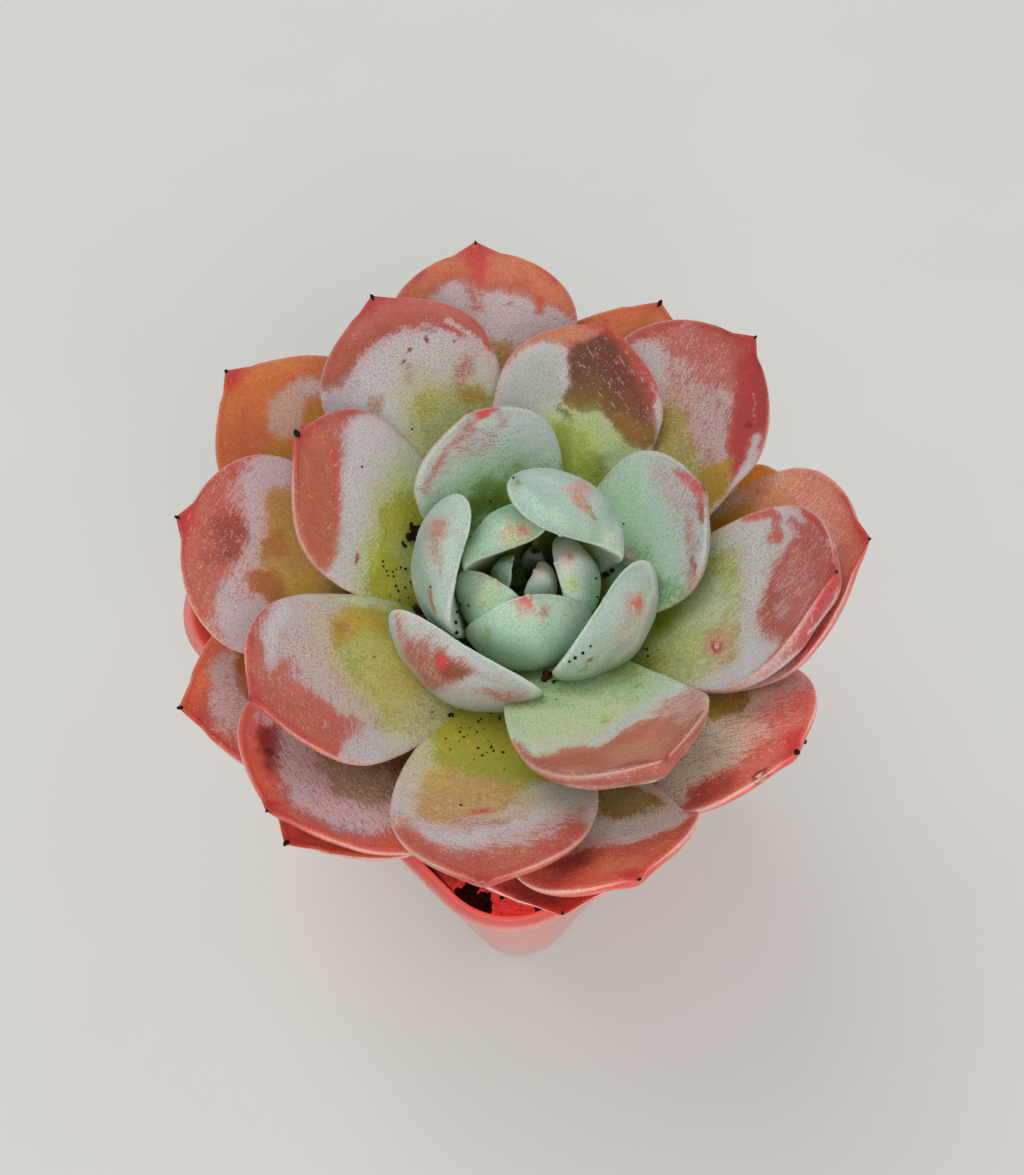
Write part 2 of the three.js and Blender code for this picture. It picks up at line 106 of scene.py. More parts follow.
# Where the rounded end of a leaf gives way to its point, the point's width,
# and the length of the fleshed-out leaf as a share of the plain solid's.
TIPS = {
    "outer_leaf_front": (0.975, 0.09, 0.970), "lower_leaf_front": (0.972, 0.12, 0.995), "lower_leaf_right_front": (0.970, 0.13, 0.99),
    "middle_leaf_front": (0.985, 0.06, 1.0), "middle_leaf_right": (0.984, 0.07, 1.0), "middle_leaf_back": (0.980, 0.08, 1.0),
    "outer_leaf_back": (0.966, 0.15, 0.988), "outer_leaf_right": (0.974, 0.12, 1.0), "outer_leaf_left_front": (0.974, 0.12, 1.0),
    "lower_leaf_left_front": (0.974, 0.14, 0.988), "outer_leaf_left": (0.972, 0.12, 1.0), "inner_leaf_left": (0.985, 0.05, 1.0),
    "inner_leaf_back": (0.985, 0.05, 1.0), "inner_leaf_right": (0.985, 0.05, 1.0), "inner_leaf_front": (0.985, 0.06, 1.0),
    "lower_leaf_back": (0.965, 0.24, 0.978), "outer_leaf_left_back": (0.970, 0.20, 0.985), "lower_leaf_left": (0.966, 0.20, 0.968),
    "lower_leaf_left_back": (0.962, 0.20, 0.99), "outer_leaf_right_back": (0.962, 0.19, 0.988),
    "heart_leaf_front": (0.985, 0.06, 1.0), "heart_leaf_left": (0.985, 0.05, 1.0), "heart_leaf_right": (0.985, 0.05, 1.0),
    "heart_leaf_back": (0.985, 0.05, 1.0), "bud_leaf_right": (0.98, 0.08, 1.0), "bud_leaf_left": (0.985, 0.06, 1.0),
    "bud_leaf_back": (0.985, 0.06, 1.0),
}

# How light each leaf is as a whole, against the others of its kind: painted light and shade, each leaf's colours scaled
# to stand for how much light reaches it.
PAINTED_LIGHT_GAIN = {
    "heart_leaf_right": 1.86, "bud_leaf_right": 1.75, "bud_leaf_left": 1.0, "bud_leaf_back": 0.32,
    "heart_leaf_left": 0.96, "heart_leaf_back": 0.98, "heart_leaf_front": 1.02,
    "inner_leaf_left": 0.86, "inner_leaf_back": 0.88, "inner_leaf_right": 0.93, "inner_leaf_front": 0.90,
    "middle_leaf_back": 0.94, "middle_leaf_right": 0.91, "middle_leaf_front": 1.0,
    "outer_leaf_left_back": 0.86, "lower_leaf_back": 0.90, "outer_leaf_right_back": 0.92, "outer_leaf_back": 0.95,
    "outer_leaf_left_front": 0.95, "base_leaf_back": 0.93, "lower_leaf_right": 1.14, "lower_leaf_right_front": 1.26,
    "lower_leaf_front": 1.32, "base_leaf_front": 1.72, "base_leaf_left_front": 1.15, "base_leaf_right_front": 1.55,
    "lower_leaf_left_front": 1.06, "base_leaf_left": 1.02, "base_leaf_right": 1.6,
}

# Faces that look into the dark of the heart: painted shade, how much of their light is left in their colour.
HEART_SHADE_DIM = {"heart_leaf_back": 0.42, "heart_leaf_left": 0.6, "inner_leaf_back": 0.60, "bud_leaf_back": 0.7, "bud_leaf_left": 0.8}

# Painted areas, drawn on each leaf: millimetres along the midrib and
# across it. Each is (channel, value, edge softness, strength, width, face,
# points), face 1 being the top and -1 the underside;
# a width of 0 is a closed outline, anything else a brush stroke.
PAINT = {
    "outer_leaf_left_back": [
        ("t", "coral", 0.8, 1, 0, 1, ((35.7, 13.4), (37.1, 11.7), (35.7, 9.6), (37.2, 7.3), (38.5, 5.1), (39.5, 2.8), (39.7, 0.2), (40.2, -1.3), (39.7, -3.1), (38.8, -5.0), (38.1, -6.0), (38.3, -7.8), (36.4, -9.5), (34.3, -10.9), (32.2, -11.6), (31.2, -13.7), (34.9, -13.3), (38.6, -12.9), (41.2, -10.5), (43.7, -8.1), (45.4, -4.8), (47.1, -1.7), (45.9, 1.7), (44.7, 5.2), (42.7, 7.9), (40.6, 10.6), (38.1, 12.0))),
        ("t", (182, 98, 90), 1.6, 0.8, 0, 1, ((41.6, 6.0), (43.0, 3.7), (44.5, 1.4), (45.5, -1.4), (44.1, -4.5), (42.6, -7.7), (40.2, -9.3), (37.9, -11.0), (38.1, -9.5), (39.7, -7.5), (41.2, -5.5), (41.8, -3.0), (42.3, -0.6), (41.6, 1.7), (40.7, 4.2))),
        ("t", (150, 72, 54), 1.2, 0.7, 0, 1, ((36.9, 10.6), (38.5, 7.5), (40.0, 4.1), (40.7, 0.2), (40.7, -2.1), (39.9, -0.2), (39.0, 1.9), (38.1, 4.2), (37.4, 6.5), (35.9, 9.2))),
        ("f", 0.1, 0.7, 1, 0, 1, ((35.7, 13.4), (37.1, 11.7), (35.7, 9.6), (37.2, 7.3), (38.5, 5.1), (39.5, 2.8), (39.7, 0.2), (40.2, -1.3), (39.7, -3.1), (38.8, -5.0), (38.1, -6.0), (38.3, -7.8), (36.4, -9.5), (34.3, -10.9), (32.2, -11.6), (31.2, -13.7), (34.9, -13.3), (38.6, -12.9), (41.2, -10.5), (43.7, -8.1), (45.4, -4.8), (47.1, -1.7), (45.9, 1.7), (44.7, 5.2), (42.7, 7.9), (40.6, 10.6), (38.1, 12.0))),
        ("t", (162, 150, 152), 1.5, 0.9, 0, 1, ((36.0, 11.8), (35.3, 9.1), (36.6, 7.5), (37.6, 5.6), (38.3, 2.9), (39.0, 0.2), (37.9, -3.2), (36.9, -6.4), (34.6, -8.3), (32.2, -10.3), (29.6, -10.3), (26.8, -10.4), (29.6, -7.6), (30.5, -4.1), (31.2, -0.5), (29.3, 2.0), (27.5, 4.5), (28.7, 6.9), (30.1, 9.3), (31.5, 11.7), (33.7, 13.3))),
        ("f", 0.93, 0.6, 1, 0, 1, ((36.4, 12.0), (35.3, 9.3), (36.9, 7.2), (38.1, 4.8), (38.8, 2.6), (39.3, -0.2), (39.7, -1.6), (38.6, -3.9), (37.8, -6.4), (36.7, -8.0), (34.8, -9.2), (32.9, -10.6), (30.5, -11.0), (27.9, -11.4), (25.3, -10.4), (27.5, -9.1), (29.6, -7.6), (30.1, -5.5), (30.6, -3.4), (31.0, -1.2), (31.2, 1.0), (29.3, 2.7), (27.5, 4.5), (29.1, 6.8), (30.6, 9.1), (32.2, 11.5), (33.7, 13.3))),
        ("t", (150, 156, 90), 2, 0.9, 0, 1, ((31.2, 2.7), (31.5, -1.5), (29.8, -5.5), (28.6, -8.3), (27.3, -11.1), (24.0, -11.5), (22.6, -7.9), (21.1, -4.3), (20.0, -0.9), (18.8, 2.5), (21.3, 2.9), (23.7, 3.2), (27.7, 3.6))),
        ("f", 0.42, 1.6, 0.9, 0, 1, ((30.3, 2.2), (31.2, -1.2), (30.3, -3.2), (29.3, -5.0), (28.2, -8.3), (27.2, -11.4), (24.2, -11.2), (22.6, -7.7), (21.1, -4.3), (20.0, -0.9), (18.8, 2.5), (21.3, 2.9), (23.7, 3.2), (27.5, 3.1))),
        ("t", (158, 166, 150), 1.2, 0.7, 0, 1, ((33.6, 9.9), (32.4, 6.2), (31.2, 2.7), (28.9, 2.7), (26.6, 2.6), (26.1, 5.1), (28.9, 7.8), (31.5, 10.1))),
        ("t", (150, 112, 84), 0.5, 0.9, 0, 1, ((33.6, 6.7), (32.9, 4.2), (29.8, 5.5), (31.0, 7.7))),
        ("f", 0.38, 0.5, 0.9, 0, 1, ((33.6, 6.7), (32.9, 4.2), (29.8, 5.5), (31.0, 7.7))),
        ("t", (148, 118, 96), 0.5, 0.8, 0, 1, ((35.0, 0.5), (34.6, -1.0), (32.0, 0.0), (32.4, 1.5))),
        ("f", 0.55, 0.5, 0.8, 0, 1, ((35.0, 0.5), (34.6, -1.0), (32.0, 0.0), (32.4, 1.5))),
        ("t", (160, 84, 76), 0.8, 0.9, 0, 1, ((33.2, -8.3), (32.7, -10.2), (30.3, -8.8), (28.7, -6.1), (29.8, -5.0), (31.7, -6.4))),
        ("f", 0.45, 0.8, 0.9, 0, 1, ((33.2, -8.3), (32.7, -10.2), (30.3, -8.8), (28.7, -6.1), (29.8, -5.0), (31.7, -6.4))),
        ("t", (150, 122, 34), 0.8, 0.95, 0, 1, ((28.9, -5.0), (29.8, -6.6), (28.6, -8.5), (26.1, -8.5), (26.1, -6.0), (27.3, -4.7))),
        ("f", 0.12, 0.8, 0.9, 0, 1, ((28.9, -5.2), (29.4, -6.6), (28.6, -8.5), (26.1, -8.5), (26.1, -6.0), (27.3, -4.7))),
        ("t", (150, 142, 50), 1.2, 0.8, 0, 1, ((30.5, 0.5), (31.0, -1.7), (29.4, -2.9), (27.5, -1.2), (28.0, 0.5))),
        ("f", 0.2, 1, 0.8, 0, 1, ((30.5, 0.5), (31.0, -1.7), (29.4, -2.9), (27.5, -1.2), (28.0, 0.5))),
        ("p", 0.85, 1.2, 1, 0, 1, ((35.3, 9.1), (37.2, 7.1), (38.5, 4.9), (39.3, 2.5), (39.7, 0.0), (39.9, -1.8), (38.8, -3.6), (37.6, -5.6), (35.3, -6.8), (33.8, -3.5), (34.1, -1.3), (34.6, 1.0), (33.4, 3.7), (34.1, 6.7))),
        ("p", 0.4, 1.5, 0.7, 0, 1, ((36.9, -4.9), (35.3, -7.3), (33.9, -9.9), (31.7, -8.8), (29.6, -7.6), (31.0, -4.4), (32.6, -1.2), (34.6, -3.0))),
        ("b", 1, 1, 0.9, 0, 1, ((40.0, -4.9), (39.0, -6.7), (37.9, -8.6), (35.0, -10.2), (32.0, -11.8), (31.7, -10.0), (34.1, -8.1), (36.6, -6.3), (38.1, -4.0))),
        ("f", 0.55, 0.5, 0.8, 0, 1, ((39.5, -4.7), (38.3, -7.1), (37.2, -5.7), (38.3, -4.0))),
        ("f", 0.95, 0.3, 0.9, 0.32, 1, ((38.3, -8.1), (36.4, -9.8), (33.9, -11.1), (32.0, -11.8))),
        ("t", (170, 70, 62), 0.2, 0.95, 0.3, 1, ((37.9, -7.0), (36.7, -8.4), (35.3, -9.3))),
        ("f", 0, 0.2, 0.9, 0.25, 1, ((37.9, -7.0), (36.7, -8.4), (35.3, -9.3))),
        ("t", (110, 40, 34), 0.12, 1, 0.34, 1, ((37.1, -4.4),)),
        ("f", 0, 0.12, 1, 0.34, 1, ((37.1, -4.4),)),
        ("t", (110, 40, 34), 0.12, 1, 0.34, 1, ((35.2, -8.1),)),
        ("f", 0, 0.12, 1, 0.34, 1, ((35.2, -8.1),)),
        ("t", (110, 40, 34), 0.12, 1, 0.34, 1, ((35.5, -0.2),)),
        ("f", 0, 0.12, 1, 0.34, 1, ((35.5, -0.2),)),
        ("t", (110, 40, 34), 0.12, 1, 0.34, 1, ((36.7, -1.9),)),
        ("f", 0, 0.12, 1, 0.34, 1, ((36.7, -1.9),)),
        ("x", (176, 172, 124), 4, 0.7, 0, 1, ((34.8, 0.8), (33.6, -2.2), (32.2, -5.3), (30.8, -8.2), (27.3, -7.1), (23.7, -5.8), (20.2, -4.7), (22.1, -1.4), (24.2, 1.9), (26.1, 5.1), (29.1, 3.6), (32.0, 2.2))),
        ("f", 0.6, 4, 0.5, 0, 1, ((34.8, 0.8), (33.6, -2.2), (32.2, -5.3), (30.8, -8.2), (27.3, -7.1), (23.7, -5.8), (20.2, -4.7), (22.1, -1.4), (24.2, 1.9), (26.1, 5.1), (29.1, 3.6), (32.0, 2.2))),
        ("p", 0.9, 1.2, 1, 0, 1, ((40.9, 6.3), (41.1, 3.5), (41.4, 0.6), (40.5, -1.9), (39.7, -4.6), (38.6, -7.4), (36.2, -8.8), (33.6, -10.5), (31.9, -9.2), (30.1, -8.0), (32.2, -5.1), (34.3, -2.0), (34.5, 1.7), (34.6, 5.6), (35.5, 9.0), (38.3, 7.6))),
    ],
    "outer_leaf_left": [
        ("t", (160, 92, 70), 1, 1, 0, -1, ((40.1, 0.6), (37.1, -3.2), (34.6, -6.8), (32.4, -8.2), (30.2, -9.7), (30.2, -5.4), (29.9, -3.7), (31.6, 0.3), (29.9, 3.5), (28.4, 5.5), (26.3, 7.1), (24.2, 9.4), (24.2, 12.2), (28.1, 12.4), (30.7, 10.4), (33.3, 8.5), (35.0, 6.7), (36.6, 4.8), (38.5, 3.3))),
        ("f", 0.08, 0.9, 1, 0, -1, ((40.1, 0.6), (37.1, -3.2), (34.6, -6.8), (30.7, -9.1), (30.6, -5.0), (30.3, -3.2), (31.5, 0.4), (29.9, 3.5), (28.4, 5.4), (26.5, 7.0), (25.1, 9.8), (25.0, 12.2), (28.1, 12.4), (30.7, 10.4), (33.3, 8.5), (35.0, 6.7), (36.6, 4.8), (38.5, 3.3))),
        ("t", (172, 90, 84), 1.4, 0.8, 0, 1, ((37.8, -1.3), (36.0, -3.7), (34.3, -6.0), (31.6, -7.4), (31.5, -3.3), (34.5, 0.0), (36.6, 1.0))),
        ("t", (150, 78, 48), 1.5, 0.7, 0, 1, ((34.6, 3.3), (31.2, 0.6), (29.9, 2.1), (28.6, 3.5), (27.2, 6.4), (25.6, 9.3), (28.6, 9.8), (30.7, 8.3), (32.8, 6.6), (33.6, 5.0))),
        ("t", (186, 128, 118), 0.25, 0.7, 0.3, 1, ((36.5, -0.3), (34.9, 2.0), (33.0, 4.5))),
        ("t", (130, 50, 44), 0.25, 0.6, 0.35, 1, ((37.1, 0.5), (35.5, 3.2), (33.6, 5.7))),
        ("t", (166, 150, 156), 1.6, 0.9, 0, 1, ((31.3, -7.7), (29.0, -9.3), (26.6, -11.1), (23.7, -10.9), (23.1, -8.6), (22.6, -6.4), (22.7, -3.2), (22.9, 0.0), (22.3, 2.9), (21.7, 5.8), (20.7, 8.8), (19.6, 11.5), (22.0, 12.6), (24.4, 12.2), (24.1, 9.0), (25.9, 5.9), (27.6, 2.7), (28.9, -0.4), (30.3, -3.4), (30.9, -5.5))),
        ("f", 0.95, 1, 1, 0, 1, ((31.5, -7.7), (29.2, -9.6), (26.7, -11.6), (22.5, -12.2), (22.3, -9.4), (21.9, -7.0), (22.1, -3.7), (22.3, -0.5), (21.7, 2.4), (21.3, 5.4), (20.3, 8.7), (19.1, 11.6), (21.8, 12.8), (24.0, 12.3), (24.0, 9.7), (25.3, 7.5), (26.6, 5.2), (27.6, 2.8), (29.0, -0.2), (30.3, -3.4), (30.9, -5.5))),
        ("f", 0.55, 0.8, 0.8, 0, 1, ((32.3, -3.4), (30.9, -4.7), (30.0, -2.9), (29.0, -1.1), (28.4, 0.9), (27.6, 2.8), (26.3, 5.0), (24.7, 7.1), (24.7, 10.3), (26.2, 9.4), (27.3, 5.8), (28.6, 4.4), (29.7, 2.7), (30.5, 0.0))),
        ("t", (168, 176, 144), 2, 0.9, 0, 1, ((24.9, -9.9), (22.0, -12.6), (20.3, -11.2), (18.6, -9.8), (16.7, -5.8), (20.0, -3.1), (21.5, -1.1), (22.7, -3.9), (23.8, -6.9))),
        ("f", 0.62, 1.5, 0.9, 0, 1, ((24.9, -9.9), (22.2, -13.1), (20.1, -11.8), (18.2, -10.2), (17.4, -7.5), (16.4, -5.1), (18.7, -2.6), (21.1, -0.2), (22.3, -2.1), (23.4, -3.9), (24.1, -6.9))),
        ("t", (132, 136, 36), 1.4, 1, 0, 1, ((22.1, -1.4), (20.1, -4.0), (18.0, -6.6), (16.3, -3.7), (14.4, -0.8), (12.4, 1.8), (10.5, 4.6), (8.5, 7.1), (11.7, 9.1), (14.8, 11.4), (18.0, 13.8), (18.3, 11.2), (18.5, 9.1), (19.3, 6.7), (20.0, 4.4), (21.1, 1.6))),
        ("f", 0.16, 1.3, 1, 0, 1, ((21.7, -0.9), (19.7, -3.3), (17.7, -5.8), (15.5, -2.4), (13.2, 0.8), (10.9, 4.0), (8.5, 7.1), (11.2, 8.9), (13.9, 10.8), (16.8, 12.9), (17.5, 10.8), (18.3, 9.0), (19.1, 6.7), (20.0, 4.4), (20.8, 1.8))),
        ("t", (112, 124, 8), 1.5, 0.9, 0, 1, ((21.0, -0.2), (19.1, -2.2), (17.3, -4.4), (15.7, -1.6), (14.0, 1.0), (17.8, 3.0), (19.4, 1.3))),
        ("f", 0.04, 1.2, 0.9, 0, 1, ((21.0, -0.2), (19.1, -2.2), (17.3, -4.4), (15.7, -1.6), (14.0, 1.0), (17.8, 3.0), (19.4, 1.3))),
        ("t", (172, 170, 96), 1.2, 0.7, 0, 1, ((21.3, 5.4), (19.3, 3.1), (18.3, 5.7), (19.4, 8.1))),
        ("t", (160, 158, 60), 1.5, 0.7, 0, 1, ((17.8, 8.6), (15.5, 5.5), (13.2, 2.1), (11.2, 4.5), (9.2, 6.7), (12.7, 9.0), (16.0, 11.2))),
        ("w", 0.75, 1.4, 1, 0, 1, ((22.1, 5.2), (18.5, 2.6), (17.8, 5.1), (17.3, 7.5), (19.6, 9.8), (20.8, 7.5))),
        ("w", 0.5, 1, 1, 0, 1, ((22.3, -0.5), (18.3, -3.6), (17.1, -1.5), (15.8, 0.6), (19.1, 3.1), (20.7, 1.4))),
        ("t", (110, 40, 40), 0.25, 0.9, 0.35, 1, ((21.6, 7.3), (20.8, 8.3))),
        ("f", 0.1, 0.2, 0.9, 0.35, 1, ((21.6, 7.3), (20.8, 8.3))),
        ("b", 1, 1, 1, 0, 1, ((33.0, -4.5), (30.7, -6.5), (29.1, -3.4), (27.4, -0.4), (25.7, 2.6), (23.9, 5.5), (21.8, 8.2), (24.0, 11.2), (26.0, 8.3), (27.9, 5.3), (29.7, 2.1), (31.5, -1.1))),
        ("p", 0.35, 1.5, 0.8, 0, 1, ((31.0, -6.2), (27.4, -8.5), (23.7, -10.9), (23.4, -7.4), (23.0, -4.3), (22.6, -1.2), (22.3, 2.1), (21.9, 5.0), (21.6, 8.0), (23.6, 5.2), (25.6, 2.6), (27.4, -0.4), (29.3, -3.2))),
        ("x", (172, 180, 118), 4, 0.8, 0, 1, ((23.9, -5.2), (21.0, -6.7), (18.0, -8.3), (16.3, -5.0), (14.5, -1.8), (12.8, 1.5), (10.8, 4.5), (8.9, 7.3), (11.9, 9.2), (14.9, 11.5), (18.0, 13.8), (19.1, 10.5), (20.3, 7.0), (21.3, 4.1), (22.3, 1.2), (23.0, -2.1))),
        ("t", (164, 160, 56), 3, 0.75, 0, 1, ((21.8, -0.9), (19.4, -3.5), (17.0, -6.5), (15.1, -3.2), (13.2, 0.0), (11.4, 3.1), (9.2, 6.0), (11.7, 8.1), (14.0, 9.9), (16.2, 12.2), (17.8, 9.4), (19.3, 6.4), (20.7, 3.0))),
        ("f", 0.5, 3, 0.6, 0, 1, ((24.6, -3.0), (21.9, -7.0), (20.1, -5.7), (18.4, -4.3), (19.3, -2.0), (20.1, 0.5), (19.6, 3.3), (19.1, 6.3), (21.1, 7.6), (22.4, 4.3), (23.6, 0.7))),
        ("f", 0.08, 0.7, 1, 0, 1, ((37.7, -0.5), (35.0, -3.8), (31.9, -3.8), (30.7, -1.4), (29.6, 1.1), (27.9, 3.0), (26.3, 5.0), (25.3, 7.1), (24.1, 9.2), (23.9, 12.0), (27.4, 12.4), (30.3, 10.4), (33.0, 8.4), (34.6, 5.3), (36.1, 2.4))),
        ("t", (172, 92, 72), 1, 0.75, 0, 1, ((37.7, -0.5), (35.0, -3.8), (31.9, -3.8), (30.7, -1.4), (29.6, 1.1), (27.9, 3.0), (26.3, 5.0), (25.3, 7.1), (24.1, 9.2), (23.9, 12.0), (27.4, 12.4), (30.3, 10.4), (33.0, 8.4), (34.6, 5.3), (36.1, 2.4))),
        ("t", (184, 66, 60), 0.4, 0.7, 0.5, 1, ((31.9, -1.8), (29.5, 0.9), (28.0, 3.8), (25.9, 6.3))),
        ("b", 1, 1, 1, 0, 1, ((34.3, -3.4), (31.0, -6.2), (29.3, -2.8), (27.3, 0.5), (25.3, 3.8), (23.3, 7.1), (21.0, 10.0), (24.0, 12.0), (26.4, 9.2), (28.6, 6.3), (30.6, 3.1), (32.6, 0.0))),
        ("t", (150, 158, 114), 2, 0.5, 0, 1, ((17.8, 2.2), (16.1, 0.4), (14.4, -1.4), (12.8, 1.3), (11.1, 4.1), (13.5, 7.2), (15.7, 4.8))),
        ("f", 0.42, 2, 0.5, 0, 1, ((17.8, 2.2), (16.1, 0.4), (14.4, -1.4), (12.8, 1.3), (11.1, 4.1), (13.5, 7.2), (15.7, 4.8))),
    ],
    "outer_leaf_back": [
        ("t", (176, 112, 86), 0.9, 1, 0, 1, ((31.1, 10.0), (32.6, 8.8), (34.2, 7.5), (35.4, 5.6), (36.7, 4.0), (37.8, 2.1), (39.0, 0.3), (37.9, -3.4), (35.5, -1.6), (34.8, 1.0), (34.1, 3.8), (32.7, 7.0))),
        ("f", 0.1, 0.7, 1, 0, 1, ((31.4, 10.2), (34.5, 7.6), (35.7, 5.8), (37.0, 4.1), (38.1, 2.2), (39.2, 0.4), (37.9, -3.4), (35.1, -2.0), (34.4, 0.4), (33.8, 2.9), (33.3, 4.9), (32.9, 7.0))),
        ("t", (158, 166, 158), 1.5, 1, 0, 1, ((23.1, 11.0), (25.4, 10.9), (27.6, 10.6), (29.8, 9.7), (32.0, 8.9), (32.6, 6.7), (33.2, 4.4), (30.8, 2.9), (28.3, 1.8), (26.1, 1.8), (25.0, 0.2), (22.6, 1.8), (20.9, 3.3), (18.7, 6.4), (19.5, 10.0))),
        ("f", 0.95, 0.6, 1, 0, 1, ((23.1, 11.0), (25.6, 10.9), (27.9, 10.8), (30.0, 9.9), (31.9, 9.1), (32.6, 6.9), (33.3, 4.5), (30.8, 3.1), (28.3, 1.8), (26.4, 2.1), (25.1, 0.5), (22.6, 1.8), (20.9, 3.3), (18.7, 6.4), (19.5, 10.0))),
        ("t", (94, 54, 34), 0.6, 1, 0, 1, ((33.3, 4.0), (35.1, 1.2), (36.9, -0.2), (37.0, -2.1), (35.5, -4.4), (33.9, -6.6), (32.0, -8.3), (30.0, -10.1), (26.4, -11.6), (24.1, -11.7), (22.0, -10.6), (22.0, -8.6), (23.2, -6.5), (25.0, -4.5), (26.0, -3.0), (25.0, -0.5), (25.4, 1.6), (26.3, 2.3), (28.2, 1.8), (30.8, 3.1))),
        ("f", 0.17, 0.45, 1, 0, 1, ((33.3, 4.0), (35.1, 1.2), (36.9, -0.2), (37.0, -2.1), (35.5, -4.4), (33.9, -6.6), (32.0, -8.3), (30.0, -10.1), (26.4, -11.6), (24.1, -11.7), (22.0, -10.6), (22.0, -8.6), (23.2, -6.5), (25.0, -4.5), (26.0, -3.0), (25.0, -0.5), (25.4, 1.6), (26.3, 2.3), (28.2, 1.8), (30.8, 3.1))),
        ("t", (150, 72, 54), 1.2, 0.8, 0, 1, ((37.4, -1.2), (36.1, -4.6), (34.5, -6.4), (32.9, -8.3), (31.1, -9.7), (29.2, -11.1), (25.3, -11.6), (26.6, -9.9), (29.8, -7.9), (31.9, -6.2), (33.9, -4.4), (35.1, -2.6), (36.3, -0.7))),
        ("t", (178, 88, 74), 0.7, 0.7, 0, 1, ((37.7, -0.8), (36.3, -4.2), (34.8, -6.1), (33.3, -7.9), (31.6, -9.3), (30.0, -10.6), (29.1, -10.4), (32.0, -7.7), (33.9, -5.6), (35.7, -3.3))),
        ("t", (116, 92, 26), 1.2, 0.9, 0, 1, ((25.9, -3.2), (25.7, -6.9), (25.4, -9.1), (25.3, -11.2), (22.3, -11.0), (22.2, -8.5), (23.2, -6.5), (25.0, -4.5))),
        ("t", (104, 88, 24), 1, 0.85, 0, 1, ((26.3, 1.6), (28.1, -0.5), (27.8, -3.4), (26.1, -3.2), (25.1, -0.5), (25.4, 1.6))),
        ("t", (126, 78, 44), 1.2, 0.6, 0, 1, ((30.8, -3.9), (31.1, -7.4), (28.8, -8.5), (26.4, -9.5), (25.6, -6.1), (28.2, -5.1))),
        ("w", 0.42, 1.2, 1, 0, 1, ((33.3, 2.0), (35.1, -1.2), (32.7, -3.2), (30.4, -4.9), (27.5, -3.6), (28.5, 0.0), (31.0, 1.0))),
        ("w", 0.3, 1, 1, 0, 1, ((33.5, 3.5), (34.1, 1.6), (31.9, 0.8), (29.5, 0.0), (29.1, 1.8), (31.3, 2.6))),
        ("w", 0.95, 0.8, 1, 0, 1, ((28.6, -7.7), (29.4, -10.1), (25.9, -11.4), (25.0, -9.2))),
        ("f", 0.4, 0.6, 0.9, 0, 1, ((28.1, -8.4), (28.6, -10.5), (25.6, -11.3), (25.9, -9.5))),
        ("t", (92, 88, 26), 0.35, 0.9, 0.55, 1, ((24.8, 2.5), (24.1, 0.5))),
        ("f", 0.1, 0.3, 0.9, 0.5, 1, ((24.8, 2.5), (24.1, 0.5))),
        ("t", (150, 172, 130), 1.2, 0.9, 0, 1, ((24.8, 0.2), (25.7, -3.2), (23.7, -5.5), (21.6, -8.4), (22.1, -11.6), (20.9, -12.4), (20.0, -10.1), (19.3, -7.8), (17.8, -5.3), (19.7, -3.7), (21.5, -2.2), (22.6, 0.2))),
        ("f", 0.72, 0.7, 1, 0, 1, ((24.8, -0.2), (25.7, -3.2), (23.8, -5.3), (21.5, -7.9), (21.9, -11.7), (20.9, -12.2), (20.0, -10.0), (19.1, -7.8), (17.8, -5.3), (19.7, -3.7), (21.5, -2.2), (22.6, 0.2))),
        ("t", (118, 134, 30), 1.4, 1, 0, 1, ((22.9, 3.6), (23.1, 0.5), (21.6, -2.7), (18.5, -5.2), (16.3, -5.3), (14.1, -5.3), (14.1, -2.1), (14.1, 1.4), (17.1, 2.1), (20.0, 2.8))),
        ("f", 0.3, 1.4, 1, 0, 1, ((22.9, 3.6), (23.1, 0.0), (21.6, -2.2), (18.5, -5.2), (16.3, -5.3), (14.1, -5.3), (14.1, -2.1), (14.1, 1.4), (17.1, 2.1), (20.0, 2.8))),
        ("t", (104, 126, 12), 1, 0.8, 0, 1, ((22.6, 1.8), (21.0, -0.4), (18.4, -0.6), (15.6, -1.0), (15.7, 0.6), (19.3, 1.1))),
        ("t", (100, 122, 14), 0.8, 0.8, 0, 1, ((19.8, -4.1), (20.3, -6.1), (17.3, -6.4), (16.5, -4.8))),
        ("f", 0.05, 0.8, 0.8, 0, 1, ((19.8, -4.1), (20.3, -6.1), (17.3, -6.4), (16.5, -4.8))),
        ("f", 0.05, 0.9, 0.7, 0, 1, ((22.6, 1.8), (21.0, -0.2), (18.5, -0.6), (16.0, -0.8), (16.2, 0.6), (19.4, 1.1))),
        ("t", (150, 158, 80), 1, 0.7, 0, 1, ((22.5, 0.0), (23.1, -2.7), (20.3, -4.1), (18.7, -1.7))),
        ("p", 0.5, 1, 1, 0, 1, ((30.0, 7.5), (31.0, 3.9), (27.2, 2.7), (26.1, 6.0), (28.1, 6.7))),
        ("t", (190, 180, 172), 0.5, 0.7, 0.5, 1, ((29.8, -10.2), (27.8, -11.0), (25.7, -11.7), (22.7, -12.3), (19.8, -12.9))),
        ("f", 0.9, 0.4, 0.8, 0.45, 1, ((29.1, -10.6), (25.4, -11.9), (22.6, -12.4), (19.8, -12.9))),
        ("x", (160, 178, 108), 3, 0.8, 0, 1, ((23.9, 4.9), (24.8, 2.3), (25.9, -0.2), (26.9, -3.0), (25.3, -5.3), (23.7, -7.6), (22.0, -9.9), (19.7, -6.7), (17.3, -3.5), (15.1, -0.2), (18.2, 1.5), (21.2, 3.3))),
        ("t", (104, 42, 34), 2, 0.6, 0, 1, ((34.4, 1.0), (35.2, -1.9), (33.2, -4.7), (31.1, -7.4), (27.8, -8.4), (28.2, -6.1), (28.6, -3.8), (31.6, -1.4))),
